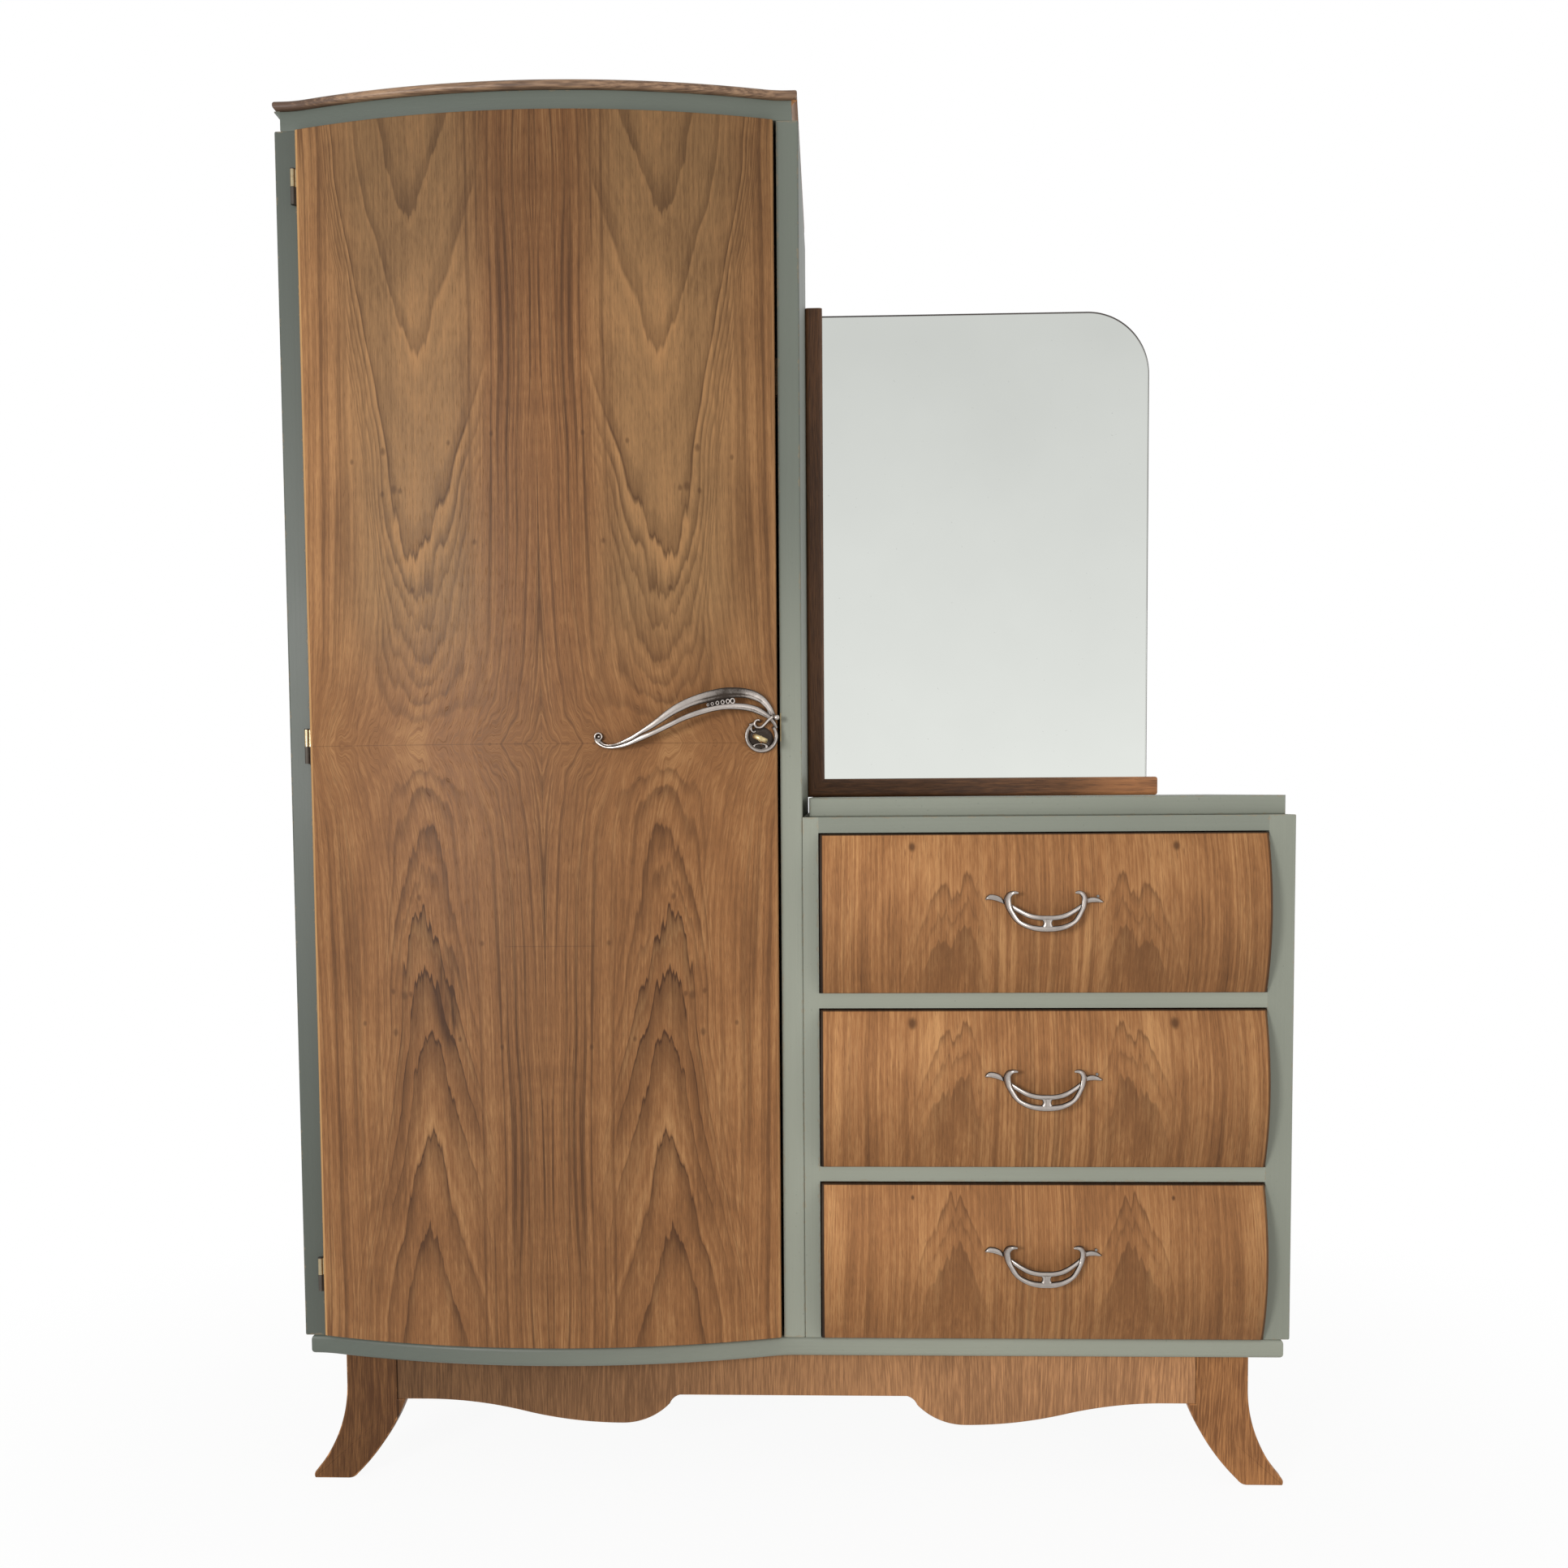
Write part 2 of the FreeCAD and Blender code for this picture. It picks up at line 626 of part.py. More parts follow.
# Front feet: a board cut to a sabre curve, its toe under the case's outer face
FOOT_SWEEP_SHARE = 0.091
FOOT_INSIDE_SHARE = 0.055
HEEL_SWELL_SHARE = 0.12
TOE_SWELL_SHARE = 0.2
foot_outline = [
    (left_x + size.toe_round, length(0)),
    (left_x + size.foot_width, length(0)),
    Swell(-HEEL_SWELL_SHARE),
    (left_x + size.foot_width + size.heel_run, size.heel_rise),
    Swell(-FOOT_INSIDE_SHARE),
    (left_x + size.leg_joint + size.leg_ledge, base_low - size.apron_end),
    (left_x + size.leg_joint, base_low - size.apron_end),
    (left_x + size.leg_joint, base_low),
    (left_x + size.leg_inset, base_low),
    (left_x + size.leg_inset, size.ankle_height),
    Swell(FOOT_SWEEP_SHARE),
    (left_x + size.toe_round, size.toe_height),
    Bend(left_x, size.toe_height / 2),
]
plinth_front = place("plinth_front", front_y + size.plinth_setback)
foot_back = place("foot_back", plinth_front + size.leg_board)
piece_middle = place("piece_middle", (left_x + right_x) / 2)
keep(board("front_foot_left", "XZ", foot_outline, plinth_front, foot_back), "front_foot_left")
right_foot_outline = flipped(foot_outline, piece_middle)
keep(
    board("front_foot_right", "XZ", right_foot_outline, plinth_front, foot_back), "front_foot_right"
)

# Apron between the front feet, its lower edge cut to two scrolls
SCROLL_SWELL_SHARE = 0.03
SCROLL_TURN_SHARE = 0.102
SCROLL_COVE_SHARE = 0.12
scroll_at = place("scroll_at", left_x + size.leg_joint + size.scroll_start)
scroll_low = place("scroll_low", scroll_at + size.scroll_run)
scroll_nose = place("scroll_nose", scroll_low + size.scroll_turn)
scroll_foot = place("scroll_foot", base_low - size.apron_drop)
apron_foot = place("apron_foot", base_low - size.apron_end)
apron_left_edge = [
    (left_x + size.leg_joint, base_low),
    (left_x + size.leg_joint, apron_foot),
    (scroll_at, apron_foot),
    Swell(SCROLL_SWELL_SHARE),
    ((scroll_at + scroll_low) / 2, (apron_foot + scroll_foot) / 2),
    Swell(-SCROLL_SWELL_SHARE),
    (scroll_low, scroll_foot),
    Swell(-SCROLL_TURN_SHARE),
    (scroll_nose, scroll_foot + size.scroll_rise),
    Swell(SCROLL_COVE_SHARE),
    (scroll_nose + size.scroll_step, base_low - size.apron_middle),
]
apron_outline = apron_left_edge + flipped(apron_left_edge, piece_middle)
apron_back = place("apron_back", plinth_front + size.apron_thick)
keep(board("apron", "XZ", apron_outline, plinth_front, apron_back), "apron")

# Rear feet, straight and tapered
rear_outline = [
    (left_x + size.leg_inset, base_low),
    (left_x + size.leg_inset + size.rear_leg_taper / 3, length(0)),
    (left_x + size.leg_inset + size.rear_leg_width - size.rear_leg_taper, length(0)),
    (left_x + size.leg_inset + size.rear_leg_width, base_low),
]
rear_back = place("rear_back", back_y - size.rear_leg_setback)
rear_front = place("rear_front", rear_back - size.rear_leg_thick)
rear_right_outline = flipped(rear_outline, piece_middle)
rear_feet = [
    board("rear_foot_left", "XZ", rear_outline, rear_front, rear_back),
    board("rear_foot_right", "XZ", rear_right_outline, rear_front, rear_back),
]
keep(group("rear_feet", rear_feet), "rear_feet")

# Plinth rails between the feet, and glued blocks in the corners
rail_left = (left_x + size.leg_inset, left_x + size.leg_inset + size.rail_thick)
rail_right = (right_x - size.leg_inset - size.rail_thick, right_x - size.leg_inset)
rail_tall = (apron_foot, base_low)
plinth_rails = [
    block("plinth_rail_left", rail_left, (foot_back, rear_front), rail_tall),
    block("plinth_rail_right", rail_right, (foot_back, rear_front), rail_tall),
    block(
        "plinth_rail_rear",
        (
            left_x + size.leg_inset + size.rear_leg_width,
            right_x - size.leg_inset - size.rear_leg_width,
        ),
        (rear_back - size.rail_thick, rear_back),
        rail_tall,
    ),
]
keep(group("plinth_rails", plinth_rails), "plinth_rails")
block_tall = (base_low - size.block_size, base_low)
block_left = (rail_left[1], rail_left[1] + size.block_size)
block_right = (rail_right[0] - size.block_size, rail_right[0])
corner_blocks = [
    block("block_front_left", block_left, (foot_back, foot_back + size.block_size), block_tall),
    block("block_front_right", block_right, (foot_back, foot_back + size.block_size), block_tall),
    block("block_rear_left", block_left, (rear_front - size.block_size, rear_front), block_tall),
    block("block_rear_right", block_right, (rear_front - size.block_size, rear_front), block_tall),
]
keep(group("corner_blocks", corner_blocks), "corner_blocks")

# Places of the three hinges up the door
hinge_levels = {
    "bottom": place("hinge_low_z", door_low + size.hinge_bottom),
    "middle": place("hinge_mid_z", (door_low + door_top) / 2),
    "top": place("hinge_high_z", door_top - size.hinge_top),
}
pivot_x = place("pivot_x", open_left - size.knuckle_radius)
pivot_y = place("pivot_y", front_y - size.pivot_out)
leaf_end = place("leaf_end", front_y + size.leaf_depth)
half_hinge = size.hinge_height / 2
pin_hole = place("pin_hole", size.pin_radius + size.pin_play)
leaf_split = place("leaf_split", (open_left + door_left) / 2)
SCREW_HIGH_SHARE = 0.32
SCREW_DEEP_SHARE = 0.45
NECK_SHARE = 0.6


def hinge_screws(name, head_x, way):
    """Six countersunk screws that run from a leaf's face into the wood, the way given."""
    screws = []
    for level_name, level in hinge_levels.items():
        for side in (-1, 1):
            screw_z = level + size.hinge_height * SCREW_HIGH_SHARE * side
            screw_y = front_y + size.leaf_depth * SCREW_DEEP_SHARE
            tag = "%s_%s_%s" % (name, level_name, "low" if side < 0 else "high")
            start = head_x if way > 0 else head_x - size.hinge_screw_length
            shank = rod(
                tag + "_shank",
                "x",
                (start, screw_y, screw_z),
                size.hinge_screw_radius,
                size.hinge_screw_length,
            )
            head_start = head_x if way > 0 else head_x - size.leaf_thick
            head = rod(
                tag + "_head",
                "x",
                (head_start, screw_y, screw_z),
                size.hinge_screw_head,
                size.leaf_thick,
            )
            screws.append(joined(tag, [shank, head]))
    return group(name, screws)


frame_leaf_face = place("frame_leaf_face", leaf_split - size.knuckle_gap / 2)
door_leaf_face = place("door_leaf_face", leaf_split + size.knuckle_gap / 2)
frame_screws = hinge_screws("hinge_frame_screws", frame_leaf_face, -1)
door_screws = hinge_screws("hinge_door_screws", door_leaf_face, 1)


def hinge_leaf(tag, level, knuckle_side, leaf_low, leaf_high, screws):
    """One leaf with its knuckle: the frame leaf has the lower knuckle, the door leaf the upper."""
    if knuckle_side < 0:
        knuckle_tall = (level - half_hinge, level - size.knuckle_gap / 2)
    else:
        knuckle_tall = (level + size.knuckle_gap / 2, level + half_hinge)
    leaf_tall = (level - half_hinge, level + half_hinge)
    barrel = rod(
        tag + "_barrel",
        "z",
        (pivot_x, pivot_y, knuckle_tall[0]),
        size.knuckle_radius,
        knuckle_tall[1] - knuckle_tall[0],
    )
    neck = block(
        tag + "_neck",
        (pivot_x + size.knuckle_radius * NECK_SHARE, leaf_high),
        (pivot_y, front_y - size.knuckle_gap),
        knuckle_tall,
    )
    bridge = block(tag + "_bridge", (leaf_low, leaf_high), (pivot_y, leaf_end), knuckle_tall)
    leaf = block(tag + "_leaf", (leaf_low, leaf_high), (front_y, leaf_end), leaf_tall)
    solid = joined(tag + "_solid", [barrel, neck, bridge, leaf])
    bore = rod(
        tag + "_bore",
        "z",
        (pivot_x, pivot_y, level - size.hinge_height),
        pin_hole,
        size.hinge_height * 2,
    )
    return cut(tag, solid, [bore, screws])


frame_leaves = []
door_leaves = []
hinge_pins = []
for level_name, level in hinge_levels.items():
    frame_leaves.append(
        hinge_leaf(
            "frame_leaf_" + level_name,
            level,
            -1,
            frame_leaf_face - size.leaf_thick,
            frame_leaf_face,
            frame_screws,
        )
    )
    door_leaves.append(
        hinge_leaf(
            "door_leaf_" + level_name,
            level,
            1,
            door_leaf_face,
            door_leaf_face + size.leaf_thick,
            door_screws,
        )
    )
    shaft = rod(
        "hinge_shaft_" + level_name,
        "z",
        (pivot_x, pivot_y, level - half_hinge),
        size.pin_radius,
        size.hinge_height,
    )
    head = rod(
        "hinge_pin_head_" + level_name,
        "z",
        (pivot_x, pivot_y, level + half_hinge),
        size.knuckle_radius,
        size.pin_head,
    )
    hinge_pins.append(joined("hinge_pin_" + level_name, [shaft, head]))
frame_leaf_group = keep(group("hinge_frame_leaves", frame_leaves), "hinge_frame_leaves")
door_leaf_group = keep(group("hinge_door_leaves", door_leaves), "hinge_door_leaves")
keep(group("hinge_pins", hinge_pins), "hinge_pins")
keep(frame_screws, "hinge_frame_screws")
keep(door_screws, "hinge_door_screws")

# Left side of the tall cupboard, let in for the hinge leaves
tall_tall = (base_top, tall_top)
tall_deep = (front_y, back_y)
left_blank = block("tall_left_blank", (left_x, open_left), tall_deep, tall_tall)
left_round = soften("tall_left_round", left_blank, size.edge_round.number, at_x(left_x))
keep(cut("tall_side_left", left_round, [frame_leaf_group, frame_screws]), "tall_side_left")

# Bolt and strike levels of the lock
bolt_z = place("bolt_z", key_z + size.bolt_rise)
bolt_tall = (bolt_z - size.bolt_height / 2, bolt_z + size.bolt_height / 2)
lock_back_y = place("lock_back_y", door_edge_y + size.door_thick)
lock_face_y = place("lock_face_y", lock_back_y - size.lock_thick)
bolt_deep = (
    lock_face_y + size.lock_wall + size.lock_play,
    lock_back_y - size.lock_wall - size.lock_play,
)
strike_low = bolt_tall[0] - size.strike_margin
strike_high = bolt_tall[1] + size.strike_margin
strike_deep = (front_y, bolt_deep[1] + size.strike_margin)

strike_hole = block(
    "strike_hole",
    (open_right - OVERRUN, open_right + size.bolt_throw),
    (bolt_deep[0] - size.lock_play, bolt_deep[1] + size.lock_play),
    (bolt_tall[0] - size.lock_play, bolt_tall[1] + size.lock_play),
)
strike_blank = block(
    "strike_blank", (open_right, open_right + size.strike_thick), strike_deep, (strike_low, strike_high)
)
strike_recess = block(
    "strike_recess",
    (open_right - OVERRUN, open_right + size.strike_thick),
    (front_y - OVERRUN, strike_deep[1]),
    (strike_low, strike_high),
)
keep(cut("strike_plate", strike_blank, [strike_hole]), "strike_plate")
right_blank = block("tall_right_blank", (open_right, tall_right), tall_deep, tall_tall)
right_round = soften("tall_right_round", right_blank, size.edge_round.number, at_x(tall_right))
keep(cut("tall_side_right", right_round, [strike_recess, strike_hole]), "tall_side_right")

# Back, hat shelf, its bearers, the hanging rail and its sockets
back_deep = (back_panel_y, back_panel_y + size.back_thick)
tall_back = block("tall_back", (open_left, open_right), back_deep, tall_tall)
shelf_top = place("shelf_top", tall_top - size.shelf_drop)
shelf_low = place("shelf_low", shelf_top - size.shelf_thick)
shelf_front = place("shelf_front", front_y + size.shelf_setback)
shelf_deep = (shelf_front, back_panel_y)
keep(block("hat_shelf", (open_left, open_right), shelf_deep, (shelf_low, shelf_top)), "hat_shelf")
bearer_tall = (shelf_low - size.bearer_height, shelf_low)
bearers = [
    block("bearer_left", (open_left, open_left + size.bearer_thick), shelf_deep, bearer_tall),
    block("bearer_right", (open_right - size.bearer_thick, open_right), shelf_deep, bearer_tall),
]
keep(group("shelf_bearers", bearers), "shelf_bearers")
rail_y = place("rail_y", (shelf_front + back_panel_y) / 2)
rail_z = place("rail_z", shelf_low - size.rail_drop)
rail_radius = size.rail_diameter / 2
socket_bore = rail_radius + size.rail_play
sockets = []
for tag, start, bore_start in (
    ("left", open_left, open_left + size.socket_floor),
    ("right", open_right - size.socket_depth, open_right - size.socket_depth),
):
    cup = rod(
        "socket_cup_" + tag, "x", (start, rail_y, rail_z), size.socket_diameter / 2, size.socket_depth
    )
    bore = rod(
        "socket_bore_" + tag,
        "x",
        (bore_start, rail_y, rail_z),
        socket_bore,
        size.socket_depth - size.socket_floor,
    )
    sockets.append(cut("rail_socket_" + tag, cup, [bore]))
keep(group("rail_sockets", sockets), "rail_sockets")
keep(
    rod(
        "hanging_rail",
        "x",
        (open_left + size.socket_floor, rail_y, rail_z),
        rail_radius,
        open_right - open_left - size.socket_floor * 2,
    ),
    "hanging_rail",
)


# Door: a panel of even thickness, bowed like the bottom board, with a solid strip on each edge
def bowed_strip(x_low, x_high, y_out, y_in):
    """Outline of a stretch of the door between two places, from its outer to its inner face."""
    middle = (x_low + x_high) / 2
    return [
        (x_low, y_out - door_rise(x_low)),
        Bend(middle, y_out - door_rise(middle)),
        (x_high, y_out - door_rise(x_high)),
        (x_high, y_in - door_rise(x_high)),
        Bend(middle, y_in - door_rise(middle)),
        (x_low, y_in - door_rise(x_low)),
    ]


door_inner_y = place("door_inner_y", door_edge_y + size.door_thick)
panel_left = place("panel_left", door_left + size.lipping)
panel_right = place("panel_right", door_right - size.lipping)
panel_outline = bowed_strip(panel_left, panel_right, door_edge_y, door_inner_y)
panel_blank = board("door_panel_blank", "XY", panel_outline, door_low, door_top)

lock_low = place("lock_low", key_z - size.lock_drop)
lock_high = place("lock_high", lock_low + size.lock_height)
lock_left = place("lock_left", door_right - size.lock_width)
lock_mortise = block(
    "lock_mortise",
    (lock_left, door_right + OVERRUN),
    (lock_face_y, lock_back_y + OVERRUN),
    (lock_low, lock_high),
)
key_out = place("key_out", door_edge_y - door_rise(key_x))


def keyhole(name, y_low, y_high, play):
    """A round hole with a slot below it, which lets the key's bit through."""
    round_hole = rod(name + "_round", "y", (key_x, y_low, key_z), size.key_radius + play, y_high - y_low)
    slot = block(
        name + "_slot",
        (key_x - size.key_bit_thick / 2 - play, key_x + size.key_bit_thick / 2 + play),
        (y_low, y_high),
        (key_z - size.key_bit - play, key_z),
    )
    return joined(name, [round_hole, slot])


door_keyhole = keyhole("door_keyhole", key_out - size.door_thick, lock_face_y, size.keyhole_play)

# Handle and pull screws come from behind, through the wood
screw_left_x = place("screw_left_x", handle_left + size.scroll_radius)
SCROLL_UP_SHARE = 0.18
scroll_z = place("scroll_z", handle_low + size.handle_height * SCROLL_UP_SHARE)
RIGHT_SCREW_SHARE = 0.96
RIGHT_SCREW_UP_SHARE = 0.64
screw_right_x = place("screw_right_x", handle_left + size.handle_length * RIGHT_SCREW_SHARE)
screw_right_z = place("screw_right_z", handle_low + size.handle_height * RIGHT_SCREW_UP_SHARE)


def wood_screw(tag, across, up, face_y, back_face_y, radius, bite):
    """A screw from a flat seat behind a panel, through it and into the fitting on its face."""
    head_y = back_face_y - size.screw_head_height
    shank = rod(tag + "_shank", "y", (across, face_y - bite, up), radius, back_face_y - face_y + bite)
    head = rod(
        tag + "_head", "y", (across, head_y, up), size.handle_screw_head, size.screw_head_height
    )
    return joined(tag, [shank, head])


handle_screw_places = (
    ("left", screw_left_x, scroll_z),
    ("right", screw_right_x, screw_right_z),
)
handle_screws = [
    wood_screw(
        "handle_screw_" + tag,
        across,
        up,
        door_edge_y - door_rise(across),
        door_inner_y - door_rise(across) - size.screw_head_height,
        size.handle_screw_radius,
        size.screw_bite,
    )
    for tag, across, up in handle_screw_places
]
screw_wells = [
    rod(
        "handle_screw_well_" + tag,
        "y",
        (across, door_inner_y - door_rise(across) - size.screw_head_height * 2, up),
        size.handle_screw_head,
        size.door_thick,
    )
    for tag, across, up in handle_screw_places
]
handle_screw_group = keep(group("door_handle_screws", handle_screws), "door_handle_screws")
keep(
    cut(
        "door_panel",
        panel_blank,
        [lock_mortise, door_keyhole, handle_screw_group, door_screws] + screw_wells,
    ),
    "door_panel",
)
lipping_left = board(
    "lipping_left_blank",
    "XY",
    bowed_strip(door_left, panel_left, door_edge_y, door_inner_y),
    door_low,
    door_top,
)
lipping_right = board(
    "lipping_right_blank",
    "XY",
    bowed_strip(panel_right, door_right, door_edge_y, door_inner_y),
    door_low,
    door_top,
)
lipping_left_soft = soften(
    "lipping_left_soft",
    lipping_left,
    size.front_round.number,
    lambda edge: at_x(door_left)(edge) and at_y(door_edge_y)(edge),
)
lipping_right_soft = soften(
    "lipping_right_soft",
    lipping_right,
    size.front_round.number,
    lambda edge: at_x(door_right)(edge) and at_y(door_edge_y)(edge),
)
lippings = [
    cut("lipping_left", lipping_left_soft, [door_leaf_group, door_screws]),
    cut("lipping_right", lipping_right_soft, [lock_mortise]),
]
keep(group("door_lippings", lippings), "door_lippings")

# Half width of the notch that the key's bit sweeps through, as a share of the bit's reach
TALON_WIDE_SHARE = 0.76

# Lock: a thin case let into the door's back and edge, its bolt and the key
lock_blank = block(
    "lock_blank", (lock_left, door_right), (lock_face_y, lock_back_y), (lock_low, lock_high)
)
lock_inside = block(
    "lock_inside",
    (lock_left + size.lock_wall, door_right - size.lock_wall),
    (lock_face_y + size.lock_wall, lock_back_y - size.lock_wall),
    (lock_low + size.lock_wall, lock_high - size.lock_wall),
)
bolt_window = block(
    "bolt_window",
    (door_right - size.lock_wall * 2, door_right + OVERRUN),
    (bolt_deep[0] - size.lock_play, bolt_deep[1] + size.lock_play),
    (bolt_tall[0] - size.lock_play, bolt_tall[1] + size.lock_play),
)
lock_keyhole = keyhole(
    "lock_keyhole",
    lock_face_y - OVERRUN,
    lock_face_y + size.lock_wall * 2,
    size.lock_play,
)
keep(cut("lock_case", lock_blank, [lock_inside, bolt_window, lock_keyhole]), "lock_case")
bolt_blank = block(
    "bolt_blank", (door_right - size.bolt_length, door_right), bolt_deep, bolt_tall
)
talon_middle = key_x - size.bolt_throw / 2
talon_half = size.key_bit * TALON_WIDE_SHARE
bolt_talon = block(
    "bolt_talon",
    (talon_middle - talon_half, talon_middle + talon_half),
    (bolt_deep[0] - OVERRUN, bolt_deep[1] + OVERRUN),
    (bolt_tall[0] - OVERRUN, key_z + size.key_bit + size.lock_play * 2),
)
keep(cut("lock_bolt", bolt_blank, [bolt_talon]), "lock_bolt")

# Key: shank, bit inside the lock, and a flat ring for the fingers, all modelled on their own axis
KEY_TILT = 15
key_front = place("key_front", key_out - size.key_reach)
bit_back = place("bit_back", lock_back_y - size.lock_wall - size.lock_play)
bit_front = place("bit_front", lock_face_y + size.lock_wall + size.lock_play)
key_zero = length(0)
shank = rod("key_shank", "y", (key_zero, key_front, key_zero), size.key_radius, bit_back - key_front)
bit = block(
    "key_bit_block",
    (-size.key_bit, key_zero),
    (bit_front, bit_back),
    (-size.key_bit_thick / 2, size.key_bit_thick / 2),
)
bow_middle_y = key_front - size.key_bow_length / 2 + size.key_radius
bow_round = doc.addObject("Part::Ellipsoid", "key_bow_round")
bind(bow_round, "Radius1", size.key_bow_thick / 2)
bind(bow_round, "Radius2", size.key_bow_width / 2)
bind(bow_round, "Radius3", size.key_bow_length / 2)
bind(bow_round, "Placement.Base.y", bow_middle_y)
bow_hole = rod(
    "key_bow_hole_tool",
    "z",
    (key_zero, bow_middle_y, -size.key_bow_thick),
    size.key_bow_hole,
    size.key_bow_thick * 2,
)
key_bow = cut("key_bow", bow_round, [bow_hole])
key = keep(joined("key", [shank, bit, key_bow]), "key")
key.Placement = FreeCAD.Placement(Vector(), FreeCAD.Rotation(Vector(0, 1, 0), KEY_TILT))
bind(key, "Placement.Base.x", key_x)
bind(key, "Placement.Base.z", key_z)


# Outlines of the castings, as shares of their length and height
def scaled(corners, x_zero, z_zero, across, tall):
    """Turn an outline of shares into places."""
    placed = []
    for corner in corners:
        if isinstance(corner, Swell):
            placed.append(corner)
        elif isinstance(corner, Bend):
            bend = Bend(x_zero + across * corner.across, z_zero + tall * corner.up)
            placed.append(bend)
        else:
            placed.append((x_zero + across * corner[0], z_zero + tall * corner[1]))
    return placed


SWEEP_SHARES = [
    (0.006, 0.14),
    Bend(0.05, 0.004),
    (0.151, 0.037),
    Bend(0.263, 0.187),
    (0.419, 0.425),
    Bend(0.575, 0.6),
    (0.765, 0.657),
    Bend(0.865, 0.64),
    (0.94, 0.56),
    Bend(0.952, 0.5),
    (0.952, 0.4),
    (0.985, 0.36),
    Bend(0.998, 0.45),
    (1.0, 0.56),
    Bend(0.985, 0.735),
    (0.946, 0.863),
    Bend(0.756, 1.0),
    (0.549, 0.851),
    Bend(0.341, 0.488),
    (0.143, 0.113),
    Bend(0.095, 0.095),
    (0.06, 0.16),
]
LEFT_SLOT_SHARES = [
    (0.26, 0.226),
    Bend(0.43, 0.49),
    (0.618, 0.664),
    (0.618, 0.73),
    Bend(0.42, 0.53),
]
RIGHT_SLOT_SHARES = [
    (0.778, 0.75),
    Bend(0.86, 0.735),
    (0.93, 0.67),
    Bend(0.87, 0.795),
    (0.778, 0.825),
]
PULL_HALF_SHARES = [
    (0, 0),
    Bend(-0.187, 0.125),
    (-0.317, 0.51),
    Bend(-0.337, 0.62),
    (-0.338, 0.72),
    Bend(-0.425, 0.78),
    (-0.5, 0.725),
    (-0.5, 0.775),
    Bend(-0.43, 0.885),
    (-0.338, 0.81),
    (-0.315, 0.93),
    Bend(-0.275, 0.995),
    (-0.23, 0.93),
    (-0.245, 0.89),
    Bend(-0.3, 0.81),
    (-0.285, 0.66),
    Bend(-0.15, 0.45),
]
PULL_SLOT_SHARES = [
    (-0.037, 0.15),
    Bend(-0.15, 0.235),
    (-0.262, 0.46),
    Bend(-0.145, 0.34),
    (-0.037, 0.285),
]


def slab(name, corners, low, high):
    """An upright outline extruded from front to back."""
    return board(name, "XZ", corners, low, high)


# Door handle: a sweep that arches off the door, a scroll and a ring that lie on it
casting_front = place("casting_front", front_y - handle_reach - OVERRUN)
sweep_outline = scaled(SWEEP_SHARES, handle_left, handle_low, size.handle_length, size.handle_height)
left_slot = scaled(LEFT_SLOT_SHARES, handle_left, handle_low, size.handle_length, size.handle_height)
right_slot = scaled(
    RIGHT_SLOT_SHARES, handle_left, handle_low, size.handle_length, size.handle_height
)
sweep_slab = slab("sweep_slab", sweep_outline, casting_front, front_y)
slot_slabs = [
    slab("left_slot_slab", left_slot, casting_front, front_y),
    slab("right_slot_slab", right_slot, casting_front, front_y),
]
arch_low_z = handle_low - size.handle_height
arch_outer = rod(
    "arch_outer",
    "z",
    (arch_x, arch_y, arch_low_z),
    arch_radius + size.handle_thick,
    size.handle_height * 3,
)
arch_inner = rod("arch_inner", "z", (arch_x, arch_y, arch_low_z), arch_radius, size.handle_height * 3)
arch_shell = cut("arch_shell", arch_outer, [arch_inner])
sweep_holed = cut("sweep_holed", sweep_slab, slot_slabs)
sweep = doc.addObject("Part::Common", "handle_sweep")
sweep.Base = sweep_holed
sweep.Tool = arch_shell
ring_outer = rod("ring_outer", "y", (key_x, casting_front, key_z), size.ring_radius, handle_reach)
ring_inner_radius = place("ring_inner_radius", size.ring_radius - size.ring_wall)
ring_inner = rod("ring_inner", "y", (key_x, casting_front, key_z), ring_inner_radius, handle_reach)
ring = cut("ring_tube", ring_outer, [ring_inner])
scroll_disc = rod(
    "scroll_disc", "y", (screw_left_x, casting_front, scroll_z), size.scroll_radius, handle_reach
)
foot_strip = bowed_strip(
    handle_left - size.ring_radius, door_right, door_edge_y - size.handle_foot, door_edge_y
)
foot_skin = board(
    "handle_foot_skin", "XY", foot_strip, arch_low_z, arch_low_z + size.handle_height * 3
)
feet = doc.addObject("Part::Common", "handle_feet")
feet.Base = joined("handle_feet_tubes", [ring, scroll_disc])
feet.Tool = foot_skin
boss_face = door_edge_y - door_rise(screw_right_x)
boss = rod(
    "handle_boss",
    "y",
    (screw_right_x, boss_face - size.handle_foot, screw_right_z),
    size.handle_screw_head,
    size.handle_foot * 2,
)
handle_whole = joined("handle_whole", [sweep, feet, boss])
keep(cut("door_handle", handle_whole, [panel_blank, lipping_right, handle_screw_group]), "door_handle")

# Keyhole plate inside the ring
plate_disc = rod("plate_disc", "y", (key_x, casting_front, key_z), ring_inner_radius, handle_reach)
plate_strip = bowed_strip(
    key_x - size.ring_radius, door_right, door_edge_y - size.plate_thick, door_edge_y
)
plate_skin = board("plate_skin", "XY", plate_strip, arch_low_z, arch_low_z + size.handle_height * 3)
plate_blank = doc.addObject("Part::Common", "plate_blank")
plate_blank.Base = plate_disc
plate_blank.Tool = plate_skin
plate_hole = keyhole("plate_keyhole", casting_front, front_y, size.keyhole_play)
keep(cut("keyhole_plate", plate_blank, [plate_hole]), "keyhole_plate")

